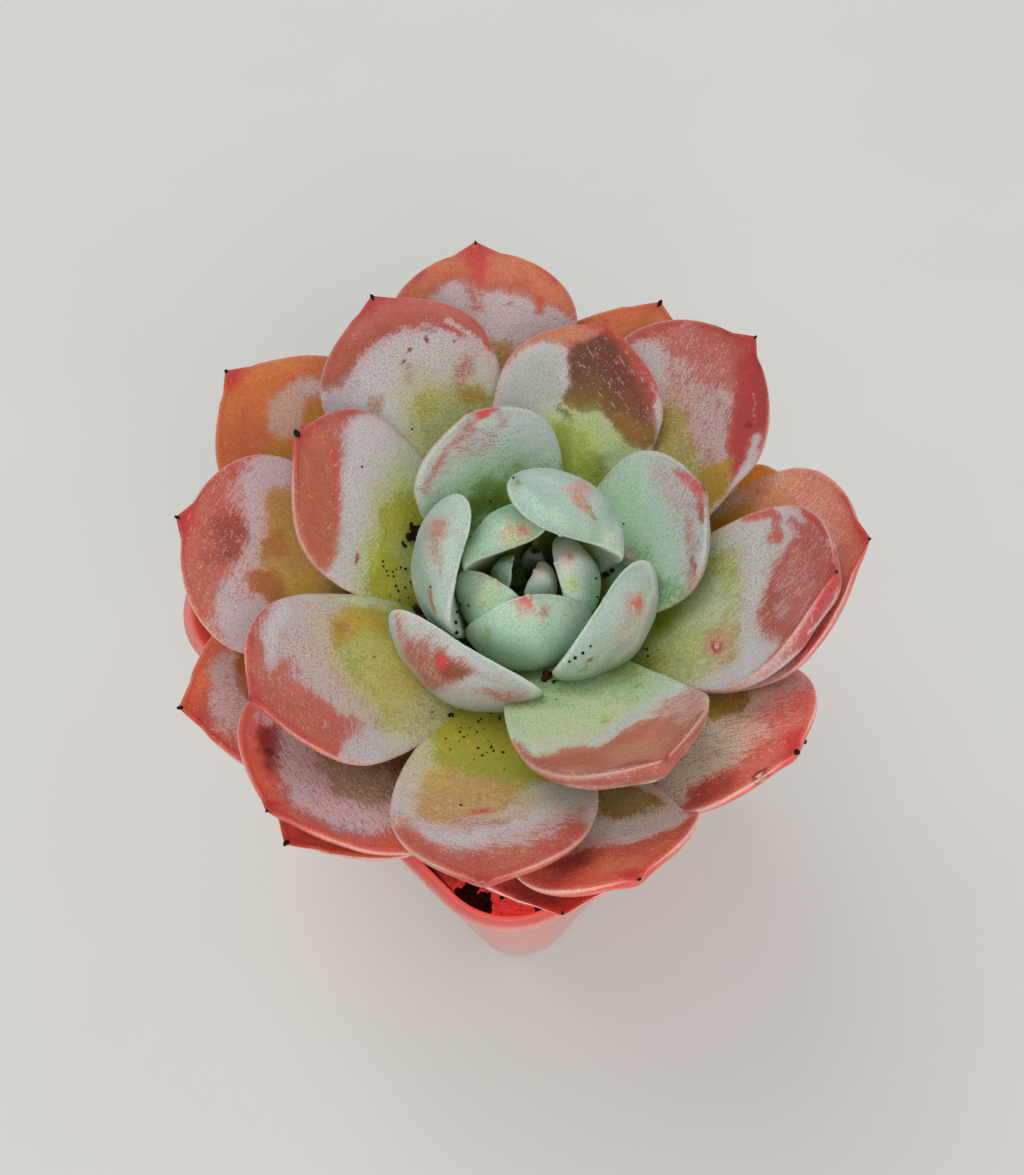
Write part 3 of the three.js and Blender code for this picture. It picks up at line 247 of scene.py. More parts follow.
        ("t", (156, 160, 72), 2.5, 0.35, 0, 1, ((24.1, 4.3), (25.4, 0.7), (26.9, -3.0), (24.4, -5.7), (21.7, -8.6), (20.0, -5.7), (18.2, -2.7), (16.6, 0.2), (19.1, 1.5), (21.6, 2.9))),
        ("t", (112, 84, 36), 1.5, 0.55, 0, 1, ((28.8, 2.7), (30.1, 0.4), (31.3, -1.6), (29.2, -3.9), (27.2, -6.5), (26.0, -10.4), (22.6, -10.9), (22.9, -8.7), (23.2, -6.5), (25.9, -3.2), (25.7, -1.2), (25.6, 1.2))),
        ("t", (158, 66, 54), 1.2, 0.6, 0, 1, ((37.0, -2.8), (35.6, -6.0), (33.8, -7.9), (31.9, -9.8), (28.6, -11.4), (27.5, -10.2), (29.7, -8.7), (31.9, -7.2), (33.6, -4.8), (35.4, -2.4))),
        ("f", 0.05, 0.8, 0.8, 0, 1, ((32.9, 3.1), (34.7, 1.1), (36.1, -0.5), (36.3, -2.6), (34.7, -4.6), (33.0, -6.5), (31.4, -8.1), (29.5, -9.6), (26.6, -10.7), (23.7, -10.4), (23.7, -8.1), (25.4, -5.7), (27.2, -3.4), (26.1, -0.2), (28.3, 1.6), (30.7, 2.3))),
        ("t", (142, 96, 34), 1.2, 0.6, 0, 1, ((26.3, -4.7), (26.7, -7.6), (25.3, -10.5), (22.8, -10.4), (23.1, -8.0), (24.2, -5.7))),
        ("x", (156, 152, 144), 1.5, 0.7, 0, 1, ((23.8, 10.7), (25.9, 10.4), (27.8, 10.1), (31.3, 8.4), (32.5, 4.6), (30.4, 3.2), (28.2, 2.9), (26.0, 2.7), (23.9, 4.9), (21.9, 7.3))),
        ("b", 1, 0.8, 1, 0, 1, ((32.9, 3.1), (34.5, 1.2), (36.1, -0.5), (34.5, -3.7), (32.9, -6.9), (29.7, -7.9), (26.3, -8.8), (26.4, -5.1), (26.6, -1.6), (29.8, 0.7))),
    ],
    "lower_leaf_back": [
        ("t", (188, 108, 80), 1, 1, 0, 1, ((43.7, 12.9), (46.3, 9.8), (48.9, 6.7), (50.6, 3.3), (52.3, -0.0), (50.9, -3.2), (49.5, -6.4), (46.9, -9.3), (44.1, -12.1), (40.9, -13.1), (37.8, -14.1), (40.3, -11.4), (41.7, -9.2), (42.7, -7.2), (43.5, -5.2), (44.3, -3.0), (44.1, 0.0), (45.7, 1.1), (46.5, 4.0), (45.3, 6.3), (42.9, 8.0), (43.1, 11.5))),
        ("f", 0.06, 0.8, 1, 0, 1, ((43.7, 12.9), (46.3, 9.8), (48.9, 6.7), (50.6, 3.3), (52.3, -0.0), (50.9, -3.2), (49.5, -6.4), (46.9, -9.3), (44.1, -12.1), (40.9, -13.1), (37.8, -14.1), (40.3, -11.7), (41.7, -9.2), (42.7, -7.2), (43.5, -5.2), (44.3, -3.0), (44.1, 0.0), (45.7, 1.1), (46.5, 4.0), (45.3, 6.3), (42.9, 8.0), (43.1, 11.5))),
        ("t", (168, 78, 58), 1.2, 0.75, 0, 1, ((43.9, 8.0), (45.9, 5.6), (46.9, 3.3), (46.1, 1.1), (44.5, -0.5), (44.9, -3.8), (43.9, -5.8), (43.1, -8.0), (45.1, -6.8), (45.7, -4.3), (46.5, -1.7), (47.3, 0.8), (47.9, 3.2), (46.1, 7.0))),
        ("t", (184, 62, 58), 0.9, 0.85, 0, 1, ((49.7, 2.1), (51.7, 0.0), (50.3, -1.5), (47.3, -1.8), (45.1, -0.2), (48.1, 1.1))),
        ("t", (158, 130, 124), 1.2, 1, 0, 1, ((43.7, 7.2), (45.9, 5.6), (46.5, 3.4), (45.5, 1.2), (44.3, 0.0), (44.3, -3.0), (43.3, -5.7), (41.7, -9.2), (39.9, -11.6), (38.3, -13.7), (38.1, -11.1), (37.1, -7.4), (34.7, -3.7), (32.1, -1.3), (36.1, -0.3), (38.1, 1.1), (39.9, 2.4), (42.1, 4.7))),
        ("f", 0.78, 0.7, 1, 0, 1, ((43.7, 7.2), (45.9, 5.6), (46.5, 3.4), (45.5, 1.2), (44.3, 0.0), (44.3, -3.0), (43.3, -5.7), (41.7, -9.2), (39.9, -11.7), (38.1, -14.1), (37.9, -11.1), (37.1, -7.4), (34.7, -3.7), (32.1, -1.3), (36.1, -0.3), (38.1, 1.1), (39.9, 2.4), (42.1, 4.7))),
        ("t", (168, 78, 62), 0.8, 0.8, 0, 1, ((45.5, 1.9), (44.5, -0.2), (42.1, -0.5), (41.7, 1.3))),
        ("f", 0.38, 0.7, 0.85, 0, 1, ((45.5, 1.9), (44.5, -0.2), (42.1, -0.5), (41.7, 1.3))),
        ("t", (180, 84, 58), 0.35, 1, 0.75, 1, ((42.7, -8.5), (41.1, -8.2))),
        ("f", 0.02, 0.3, 1, 0.75, 1, ((42.7, -8.5), (40.9, -8.3))),
        ("t", (158, 120, 60), 1, 1, 0, 1, ((37.5, -0.5), (37.3, -4.5), (34.1, -2.9), (31.7, -1.3), (34.7, -1.1))),
        ("f", 0.2, 0.9, 1, 0, 1, ((37.1, -0.5), (37.1, -4.2), (34.1, -2.9), (31.7, -1.3), (34.5, -1.1))),
        ("b", 0.6, 1, 1, 0, 1, ((43.9, 5.8), (43.1, 2.1), (42.3, -1.6), (41.7, -5.4), (40.7, -9.1), (39.9, -12.8), (37.5, -9.1), (35.3, -5.4), (32.9, -1.8), (35.7, 0.0), (38.5, 1.9), (41.1, 4.0))),
        ("t", (150, 74, 56), 0.15, 0.8, 0.3, 1, ((42.3, -3.7),)),
        ("f", 0.1, 0.15, 0.8, 0.28, 1, ((42.3, -3.7),)),
        ("t", (150, 74, 56), 0.15, 0.8, 0.3, 1, ((37.9, -4.7),)),
        ("f", 0.1, 0.15, 0.8, 0.28, 1, ((37.9, -4.7),)),
        ("t", (150, 74, 56), 0.15, 0.8, 0.3, 1, ((41.7, 1.1),)),
        ("f", 0.1, 0.15, 0.8, 0.28, 1, ((41.7, 1.1),)),
    ],
    "lower_leaf_left_back": [
        ("t", (184, 100, 52), 1, 1, 0, 1, ((42.9, 13.2), (44.9, 10.5), (46.9, 7.9), (48.3, 5.4), (49.8, 2.9), (51.2, 1.2), (52.6, -0.5), (50.1, -3.7), (48.4, -6.4), (46.6, -9.1), (44.3, -10.8), (41.9, -12.4), (39.9, -9.4), (37.9, -6.6), (36.7, -3.4), (35.6, -0.3), (34.4, 2.9), (36.7, 5.9), (39.3, 8.8), (41.1, 11.0))),
        ("f", 0.03, 0.8, 1, 0, 1, ((42.9, 13.2), (44.9, 10.5), (46.9, 7.9), (48.3, 5.4), (49.8, 2.9), (51.2, 1.2), (52.6, -0.5), (50.1, -3.7), (48.4, -6.4), (46.6, -9.1), (44.3, -10.8), (41.9, -12.4), (39.9, -9.4), (37.9, -6.6), (36.7, -3.4), (35.6, -0.3), (34.4, 2.9), (36.7, 5.9), (39.3, 8.8), (41.1, 11.0))),
        ("t", (172, 84, 48), 2, 0.6, 0, 1, ((46.6, 5.6), (46.4, 3.2), (46.2, 1.0), (43.6, 1.7), (41.3, 2.4), (39.9, 6.2), (41.5, 8.2), (43.0, 10.3), (44.8, 8.0))),
        ("t", (190, 118, 76), 1.5, 0.6, 0, 1, ((50.4, -1.9), (48.2, -5.2), (46.0, -8.4), (44.2, -9.6), (42.4, -10.7), (43.6, -8.3), (44.8, -6.1), (46.6, -3.6), (48.1, -1.3))),
        ("t", (182, 58, 52), 0.9, 0.85, 0, 1, ((51.9, -0.4), (50.4, -1.9), (48.9, -1.0), (48.7, 1.8), (50.3, 1.6))),
        ("t", (164, 132, 120), 1, 0.9, 0, 1, ((43.4, 0.7), (44.2, -1.8), (43.8, -4.7), (42.2, -7.6), (40.5, -8.5), (38.9, -6.7), (40.1, -4.5), (39.1, -1.8), (37.5, 1.1), (39.3, 2.1), (41.3, 2.4))),
        ("f", 0.68, 0.7, 0.95, 0, 1, ((43.4, 0.7), (44.2, -1.8), (43.8, -4.7), (42.2, -7.6), (40.5, -8.5), (39.3, -7.1), (40.1, -5.0), (38.9, -2.1), (37.7, 1.1), (39.3, 2.1), (41.3, 2.4))),
        ("t", (166, 112, 26), 0.9, 0.95, 0, 1, ((40.3, 4.7), (39.5, 2.3), (37.5, 1.9), (35.4, 3.2), (37.9, 5.6), (39.9, 5.9))),
        ("f", 0.02, 0.6, 1, 0, 1, ((40.3, 4.7), (39.5, 2.3), (37.5, 1.9), (35.4, 3.2), (37.9, 5.6), (39.9, 5.9))),
        ("t", (162, 110, 34), 0.8, 0.9, 0, 1, ((40.5, -4.0), (38.9, -6.7), (37.5, -4.9), (36.0, -3.2), (38.5, -1.3))),
        ("f", 0.05, 0.6, 0.9, 0, 1, ((40.5, -4.0), (38.9, -6.7), (37.3, -4.9), (36.0, -3.2), (38.5, -1.3))),
        ("f", 0.35, 0.8, 0.7, 0, 1, ((41.5, 4.5), (40.9, 2.5), (39.7, 5.0), (40.5, 7.3))),
        ("t", (186, 70, 62), 0.25, 0.8, 0.45, 1, ((44.0, -5.5),)),
        ("t", (170, 76, 48), 0.2, 0.7, 0.35, 1, ((45.0, 3.7),)),
        ("x", (178, 148, 122), 1.5, 0.8, 0, 1, ((45.4, -0.7), (44.2, -3.2), (42.8, -5.8), (40.3, -6.3), (37.9, -7.0), (35.4, -4.2), (33.0, -1.3), (34.2, 1.8), (35.2, 5.2), (37.7, 4.4), (40.5, 3.7), (43.0, 1.3))),
    ],
    "lower_leaf_left": [
        ("t", (176, 92, 76), 1.2, 1, 0, 1, ((43.6, 5.8), (44.1, 2.7), (44.6, -0.3), (44.4, -3.0), (44.2, -5.7), (42.7, -8.3), (41.2, -10.9), (38.6, -11.8), (38.9, -8.2), (39.1, -5.0), (37.0, -4.5), (35.3, -2.2), (34.9, 1.4), (35.6, 3.9), (36.8, 5.8), (37.2, 8.9), (36.3, 10.9), (35.4, 12.7), (37.0, 15.1), (39.0, 13.0), (41.0, 11.1), (42.3, 8.4))),
        ("f", 0.14, 1, 1, 0, 1, ((43.6, 5.8), (44.1, 2.7), (44.6, -0.3), (44.4, -3.0), (44.2, -5.7), (42.7, -8.3), (41.2, -10.9), (38.6, -11.8), (38.9, -8.2), (39.1, -5.0), (37.0, -4.5), (35.3, -2.2), (34.9, 1.4), (35.6, 3.9), (36.8, 5.8), (37.2, 8.9), (36.3, 10.9), (35.4, 12.7), (37.0, 15.1), (39.0, 13.0), (41.0, 11.1), (42.3, 8.4))),
        ("t", (148, 68, 58), 1.8, 0.8, 0, 1, ((40.1, -1.3), (37.5, -3.9), (35.1, -1.4), (35.3, 2.5), (37.5, 4.4), (39.8, 2.8))),
        ("t", (182, 62, 62), 1.2, 0.8, 0, 1, ((45.0, -1.1), (43.1, -2.5), (41.7, -0.9), (42.2, 1.1), (43.9, 2.3))),
        ("t", (166, 136, 134), 1.6, 0.9, 0, 1, ((39.1, -8.5), (38.0, -11.6), (34.3, -14.5), (30.8, -14.9), (30.9, -12.2), (33.7, -9.6), (34.9, -7.0), (33.7, -4.5), (34.1, -1.1), (34.7, 2.0), (35.3, 5.2), (35.4, 8.2), (33.0, 7.3), (30.6, 6.5), (28.7, 6.9), (26.6, 7.2), (28.0, 9.9), (29.5, 12.6), (31.1, 13.7), (32.7, 14.8), (35.1, 14.3), (36.0, 12.6), (36.7, 10.8), (36.8, 7.0), (36.1, 4.6), (35.4, 2.5), (35.0, -1.6), (36.1, -4.1), (38.2, -5.5))),
        ("f", 0.84, 1.2, 1, 0, 1, ((38.7, -8.7), (37.9, -11.9), (34.4, -14.9), (30.7, -15.1), (31.1, -12.1), (33.8, -10.0), (34.9, -7.0), (33.9, -4.3), (34.2, -1.1), (34.6, 2.3), (35.1, 5.2), (33.9, 6.6), (30.6, 7.2), (28.5, 7.1), (26.6, 7.2), (28.0, 10.1), (29.4, 12.9), (31.1, 14.0), (32.7, 15.0), (35.1, 14.3), (36.5, 11.2), (36.7, 7.3), (36.0, 4.9), (35.4, 2.6), (34.9, -1.3), (36.0, -4.1), (37.7, -6.1))),
        ("f", 0.45, 1, 0.8, 0, 1, ((40.0, -7.7), (37.9, -9.1), (36.3, -6.4), (37.0, -4.3), (38.9, -5.3))),
        ("t", (182, 108, 100), 1, 0.7, 0, 1, ((40.0, -7.7), (37.9, -9.1), (36.3, -6.4), (37.0, -4.3), (38.9, -5.3))),
        ("t", (164, 132, 74), 1.2, 1, 0, 1, ((34.1, -8.9), (32.1, -10.0), (30.1, -11.0), (28.3, -7.8), (26.8, -4.5), (25.4, -1.3), (24.0, 0.3), (22.6, 2.0), (24.9, 3.7), (26.8, 5.4), (29.0, 7.2), (32.0, 5.5), (32.7, 1.3), (32.7, -1.7), (33.7, -4.5), (33.9, -6.6))),
        ("f", 0.14, 1, 1, 0, 1, ((33.9, -8.7), (32.0, -9.8), (30.1, -11.0), (28.3, -7.8), (26.8, -4.5), (25.4, -1.3), (24.0, 0.3), (22.6, 2.0), (24.9, 3.7), (26.8, 5.4), (29.0, 7.2), (32.0, 5.5), (32.5, 1.5), (32.5, -1.7), (33.5, -4.5))),
        ("t", (152, 92, 50), 0.9, 0.85, 0, 1, ((33.9, 3.6), (31.8, 2.3), (29.9, 2.5), (28.7, 6.1), (30.6, 7.2), (32.3, 6.3), (33.6, 6.4))),
        ("f", 0.08, 0.6, 0.9, 0, 1, ((33.7, 3.4), (31.8, 2.3), (29.9, 2.5), (28.7, 6.1), (30.6, 7.2), (32.3, 6.3), (33.5, 6.3))),
        ("t", (156, 100, 52), 0.9, 0.8, 0, 1, ((33.0, -2.8), (30.8, -4.0), (30.2, -0.8), (32.1, 0.3))),
        ("f", 0.1, 0.7, 0.9, 0, 1, ((33.0, -2.8), (30.8, -4.0), (30.2, -0.8), (32.1, 0.3))),
        ("t", (176, 142, 52), 1.2, 0.7, 0, 1, ((29.2, 2.8), (26.4, 1.6), (23.6, 0.8), (23.8, 2.9), (26.1, 4.0), (28.3, 5.1))),
        ("t", (180, 76, 70), 0.25, 0.9, 0.45, 1, ((38.9, -12.1), (37.4, -12.7))),
        ("t", (180, 90, 80), 0.4, 0.7, 0.6, 1, ((37.9, -10.7),)),
        ("f", 0.2, 0.4, 0.7, 0.5, 1, ((37.9, -10.7),)),
        ("b", 1, 1.2, 1, 0, 1, ((37.2, 3.1), (35.4, 0.8), (33.5, -1.4), (33.4, 1.7), (33.2, 4.5), (33.0, 7.3), (34.9, 9.6), (36.7, 11.6), (36.8, 8.8), (37.0, 6.0))),
        ("w", 0.5, 1.2, 1, 0, 1, ((42.9, -3.3), (39.5, -5.0), (36.1, -6.4), (35.6, -2.8), (35.1, 0.8), (34.7, 4.3), (34.2, 7.8), (36.7, 8.6), (38.9, 9.6), (40.0, 6.5), (40.8, 3.1), (41.9, -0.2))),
        ("t", (90, 34, 34), 0.15, 0.9, 0.4, 1, ((37.0, 2.2),)),
        ("p", 0.5, 1.2, 1, 0, 1, ((43.4, -7.7), (40.3, -9.2), (37.2, -10.6), (36.2, -7.0), (35.4, -3.3), (34.6, 0.3), (33.9, 3.9), (33.0, 7.3), (36.1, 8.5), (38.9, 9.6), (39.8, 6.2), (40.6, 2.7), (41.5, -0.7), (42.4, -4.2))),
        ("b", 1, 1, 1, 0, 1, ((45.8, -6.3), (42.7, -8.6), (39.6, -10.6), (36.3, -12.7), (35.3, -8.4), (34.2, -4.2), (33.4, 0.0), (32.5, 4.2), (31.6, 8.2), (34.6, 8.9), (37.4, 9.5), (40.1, 10.1), (41.2, 6.8), (42.2, 3.4), (43.4, 0.2), (44.5, -3.1))),
        ("t", (138, 58, 44), 1.5, 0.7, 0, 1, ((40.1, -1.6), (37.0, -4.3), (34.1, -2.0), (33.9, 0.3), (33.9, 2.5), (37.2, 3.1), (38.7, 0.8))),
    ],
    "outer_leaf_left_front": [
        ("t", (150, 150, 74), 1.6, 1, 0, 1, ((23.4, -10.3), (19.8, -9.6), (16.1, -8.9), (12.5, -8.0), (11.2, -4.5), (10.2, -1.0), (10.8, 2.1), (11.4, 5.2), (12.0, 8.1), (15.2, 8.9), (18.3, 9.6), (20.8, 9.6), (23.2, 9.6), (25.2, 7.1), (26.4, 3.9), (26.4, 1.9), (26.3, -0.4), (25.4, -2.5), (24.6, -4.5), (21.7, -7.8))),
        ("f", 0.28, 1.6, 1, 0, 1, ((22.7, -10.0), (19.5, -9.2), (16.2, -8.5), (12.8, -7.6), (11.4, -4.4), (10.2, -1.0), (10.8, 2.1), (11.4, 5.2), (12.0, 8.1), (15.2, 8.9), (18.3, 9.6), (20.8, 9.6), (23.2, 9.6), (25.2, 7.1), (26.4, 3.9), (26.4, 1.9), (26.3, -0.4), (25.4, -2.5), (24.6, -4.5), (21.7, -7.8))),
        ("t", (192, 194, 160), 1.3, 0.8, 0, 1, ((26.7, -12.4), (23.1, -11.9), (19.3, -11.5), (15.8, -9.9), (12.3, -8.4), (13.1, -7.1), (16.8, -8.0), (20.3, -8.8), (23.8, -9.5), (27.4, -10.1))),
        ("f", 0.66, 1, 0.8, 0, 1, ((27.3, -12.5), (23.3, -12.1), (19.2, -11.7), (15.7, -10.1), (12.3, -8.4), (13.4, -7.2), (16.9, -8.0), (20.3, -8.8), (24.0, -9.3), (27.5, -9.9))),
        ("t", (176, 136, 128), 1.6, 1, 0, 1, ((35.2, -6.9), (32.4, -9.8), (28.4, -11.7), (24.9, -11.2), (22.7, -10.5), (20.5, -9.6), (20.9, -7.2), (25.4, -4.7), (27.2, -2.0), (26.0, 1.2), (25.0, 2.8), (24.1, 4.5), (25.1, 7.3), (27.8, 6.4), (28.9, 4.6), (30.1, 2.7), (31.5, 1.1), (32.9, -0.4), (33.2, -3.4), (35.5, -5.3))),
        ("f", 0.7, 1.2, 1, 0, 1, ((34.6, -6.8), (32.1, -9.8), (28.4, -11.3), (24.9, -11.1), (22.9, -10.1), (20.8, -9.3), (21.2, -7.2), (25.4, -4.7), (26.9, -2.1), (25.8, 0.9), (24.8, 2.8), (23.7, 4.7), (24.4, 7.3), (27.5, 6.5), (28.9, 4.7), (30.2, 3.0), (31.6, 1.4), (32.9, -0.2), (33.2, -3.1), (34.8, -4.9))),
        ("t", (186, 82, 64), 1.1, 1, 0, 1, ((40.8, -1.9), (39.1, -4.0), (37.5, -6.1), (34.9, -7.5), (34.7, -4.8), (32.3, -3.9), (31.7, -1.7), (30.5, 1.5), (30.0, 3.4), (29.4, 5.4), (28.1, 7.9), (30.6, 8.6), (33.0, 9.8), (35.8, 8.3), (36.7, 6.2), (37.8, 4.3), (39.5, 2.7), (40.8, 0.9))),
        ("f", 0.1, 1, 1, 0, 1, ((40.8, -1.9), (39.1, -4.0), (37.5, -6.1), (35.2, -7.3), (34.9, -4.4), (32.3, -3.7), (32.0, -1.3), (30.9, 1.8), (30.1, 3.6), (29.5, 5.5), (28.6, 8.1), (30.6, 8.6), (33.0, 9.8), (35.8, 8.3), (36.7, 6.2), (37.8, 4.3), (39.5, 2.7), (40.8, 0.9))),
        ("t", (166, 56, 46), 1.2, 0.7, 0, 1, ((37.3, -0.4), (35.8, 0.7), (34.3, 1.8), (33.0, 3.6), (31.9, 5.4), (30.2, 8.1), (33.0, 8.1), (34.3, 6.3), (35.2, 4.6), (36.7, 3.0), (38.3, 1.5))),
        ("t", (170, 104, 84), 1.2, 0.7, 0, 1, ((35.8, -4.9), (33.0, -3.7), (32.9, -0.8), (36.1, -1.3), (37.8, -3.1))),
        ("t", (168, 140, 38), 1, 0.9, 0, 1, ((23.2, -8.4), (20.3, -8.8), (18.3, -7.8), (16.3, -6.7), (15.7, -4.6), (19.5, -4.4), (23.5, -4.3), (25.1, -3.0), (26.4, -3.4), (24.9, -5.8))),
        ("f", 0.08, 0.8, 0.95, 0, 1, ((23.2, -8.1), (20.3, -8.7), (18.3, -7.7), (16.2, -6.7), (15.7, -4.6), (19.5, -4.4), (23.5, -4.3), (25.1, -3.0), (26.3, -3.4), (24.8, -5.8))),
        ("t", (160, 96, 44), 0.6, 0.8, 0, 1, ((23.2, -7.0), (21.3, -6.8), (22.3, -5.2), (23.8, -5.3))),
        ("f", 0.97, 0.5, 0.9, 0.85, 1, ((29.2, -10.5), (31.8, -8.4), (33.8, -6.0), (35.3, -3.6))),
        ("t", (186, 170, 176), 0.6, 0.8, 0.8, 1, ((29.2, -10.5), (31.8, -8.4), (33.8, -6.0), (35.3, -3.6))),
        ("f", 0.86, 1, 0.9, 0, 1, ((33.2, -3.4), (31.0, -0.9), (29.5, 0.5), (28.0, 1.9), (26.9, 4.1), (29.0, 4.7), (30.1, 3.2), (31.3, 1.5), (32.4, 0.0), (33.7, -1.5))),
        ("t", (176, 164, 164), 1, 0.9, 0, 1, ((28.3, 7.2), (25.8, 8.5), (23.2, 9.6), (20.0, 11.1), (24.2, 12.0), (26.9, 11.8), (29.7, 11.7), (33.0, 10.1), (31.6, 8.5))),
        ("f", 0.95, 0.7, 1, 0, 1, ((29.1, 7.5), (25.8, 8.4), (22.9, 9.5), (20.0, 11.1), (24.2, 12.0), (27.1, 11.9), (29.7, 11.9), (33.4, 10.2), (32.1, 8.5))),
        ("t", (170, 128, 136), 0.9, 0.7, 0, 1, ((19.0, 5.1), (15.8, 5.7), (16.3, 7.5), (19.4, 7.2))),
        ("f", 0.6, 0.9, 0.8, 0, 1, ((19.0, 5.1), (15.8, 5.7), (16.3, 7.5), (19.4, 7.2))),
        ("f", 0.45, 0.7, 0.8, 0, 1, ((29.0, 4.7), (26.9, 6.7), (28.7, 8.2), (30.1, 7.6))),
        ("t", (168, 92, 70), 0.7, 0.8, 0, 1, ((28.9, 4.7), (27.2, 6.6), (28.9, 8.5), (30.4, 7.3))),
        ("t", (100, 54, 28), 0.15, 0.9, 0.3, 1, ((16.8, 7.7), (17.5, 8.9))),
        ("p", 0.55, 1.4, 1, 0, 1, ((30.6, -8.1), (28.4, -6.6), (26.3, -5.0), (26.4, -2.1), (26.6, 0.7), (25.8, 3.4), (25.2, 6.2), (27.5, 3.5), (29.8, 1.0), (32.3, -1.3), (33.3, -3.3), (34.3, -5.4))),
        ("b", 1, 1.2, 1, 0, 1, ((34.6, -6.8), (32.6, -5.7), (30.4, -4.4), (28.9, -1.8), (27.5, 0.9), (26.0, 3.7), (27.7, 6.2), (29.4, 8.7), (31.7, 8.4), (34.0, 8.3), (35.0, 5.3), (36.1, 2.4), (37.3, -0.4), (36.0, -3.6))),
        ("f", 0.5, 0.8, 0.7, 0, 1, ((25.4, 5.8), (22.6, 7.3), (24.8, 8.8), (26.5, 7.6))),
        ("x", (172, 178, 118), 4, 0.9, 0, 1, ((21.2, -9.9), (18.3, -8.6), (15.4, -7.3), (12.6, -5.8), (9.9, -4.2), (11.1, -0.3), (12.3, 3.6), (13.5, 7.3), (16.9, 8.3), (20.3, 9.2), (23.7, 10.2), (24.9, 6.9), (26.0, 3.7), (26.1, 0.1), (26.4, -3.4), (23.8, -6.7))),
        ("t", (176, 160, 84), 3, 0.75, 0, 1, ((20.2, -6.0), (16.9, -5.2), (13.5, -4.4), (10.3, -3.5), (11.8, 0.0), (13.4, 3.5), (14.9, 6.9), (18.6, 7.4), (22.1, 7.8), (22.9, 4.7), (23.8, 1.4), (22.0, -2.2))),
        ("f", 0.66, 3, 0.6, 0, 1, ((22.8, -7.2), (20.6, -5.3), (18.5, -3.3), (18.3, 0.0), (17.9, 3.0), (17.8, 6.1), (22.1, 7.8), (23.4, 5.5), (24.6, 3.2), (25.8, 0.9), (24.8, -1.8), (23.8, -4.5))),
        ("t", (176, 104, 92), 1.5, 0.55, 0, 1, ((36.0, -7.3), (34.3, -5.4), (32.4, -3.5), (30.3, -0.9), (28.0, 1.9), (28.0, 5.4), (28.0, 9.0), (32.3, 10.6), (34.6, 8.0), (36.7, 5.4), (37.9, 2.9), (39.3, 0.5), (39.0, -1.6), (38.9, -3.6), (37.4, -5.5))),
        ("b", 1, 1, 1, 0, 1, ((33.3, -12.4), (31.8, -9.5), (30.1, -6.8), (28.4, -3.9), (26.7, -1.2), (24.9, 1.6), (23.2, 4.5), (25.5, 7.2), (28.0, 9.9), (30.1, 12.4), (32.3, 10.2), (34.3, 7.9), (36.1, 5.6), (37.8, 3.2), (39.3, 0.9), (41.1, -1.3), (39.0, -4.0), (37.0, -6.8), (35.1, -9.6))),
        ("t", (160, 152, 120), 2, 0.6, 0, 1, ((20.7, 5.2), (17.4, 5.3), (14.0, 5.4), (14.0, 7.4), (13.9, 9.4), (17.2, 10.1), (20.6, 10.7), (23.2, 8.2))),
        ("f", 0.55, 2, 0.6, 0, 1, ((20.7, 5.2), (17.4, 5.3), (14.0, 5.4), (14.0, 7.4), (13.9, 9.4), (17.2, 10.1), (20.6, 10.7), (23.2, 8.2))),
    ],
    "lower_leaf_left_front": [
        ("t", (190, 84, 70), 1, 1, 0, 1, ((37.4, -12.9), (32.8, -15.5), (33.8, -12.2), (37.0, -8.7), (38.2, -6.3), (39.2, -4.0), (41.5, -0.3), (41.4, 2.7), (41.0, 4.7), (40.8, 6.7), (39.0, 8.1), (37.5, 9.7), (35.3, 10.2), (33.1, 10.9), (35.5, 13.6), (37.4, 12.5), (39.9, 11.7), (42.2, 9.7), (44.7, 7.9), (45.1, 5.5), (45.8, 3.1), (46.2, 0.6), (45.0, -2.4), (43.7, -5.7), (40.4, -9.3))),
        ("f", 0.1, 0.8, 1, 0, 1, ((37.4, -12.9), (32.8, -15.5), (33.8, -12.2), (37.0, -8.7), (38.2, -6.3), (39.2, -4.0), (41.5, -0.3), (41.4, 2.7), (41.0, 4.7), (40.8, 6.7), (39.0, 8.1), (37.5, 9.7), (35.3, 10.2), (33.1, 10.9), (35.5, 13.6), (37.4, 12.5), (39.9, 11.7), (42.2, 9.7), (44.7, 7.9), (45.1, 5.5), (45.8, 3.1), (46.2, 0.6), (45.0, -2.4), (43.7, -5.7), (40.4, -9.3))),
        ("t", (120, 32, 30), 1, 0.9, 0, 1, ((35.7, -10.8), (33.1, -9.4), (35.2, -6.4), (38.2, -4.0), (40.3, -4.2), (38.9, -7.5))),
        ("f", 0.05, 0.8, 1, 0, 1, ((35.7, -10.8), (33.1, -9.4), (35.2, -6.4), (38.2, -4.0), (40.3, -4.2), (38.9, -7.5))),
        ("t", (50, 16, 16), 0.3, 0.9, 0.55, 1, ((37.5, -6.6),)),
        ("t", (70, 24, 22), 0.3, 0.7, 0.35, 1, ((37.0, -5.5), (37.5, -6.4))),
        ("t", (150, 104, 102), 1.6, 1, 0, 1, ((34.1, -7.8), (34.1, -4.2), (33.1, -0.9), (34.0, 1.1), (34.8, 3.3), (32.6, 5.3), (30.6, 7.6), (32.6, 10.1), (34.6, 9.7), (36.7, 9.2), (38.4, 8.1), (39.9, 6.9), (40.6, 5.1), (41.1, 3.3), (41.1, 0.0), (38.7, -3.8), (36.5, -5.7))),
        ("f", 0.74, 1.2, 1, 0, 1, ((34.0, -7.8), (34.0, -5.7), (34.3, -3.6), (34.1, -0.3), (35.2, 3.5), (32.9, 5.7), (30.7, 7.8), (32.6, 10.1), (36.4, 9.1), (38.1, 8.0), (39.4, 6.7), (40.1, 4.9), (40.5, 3.1), (40.6, -0.1), (38.4, -3.7), (36.2, -5.8))),
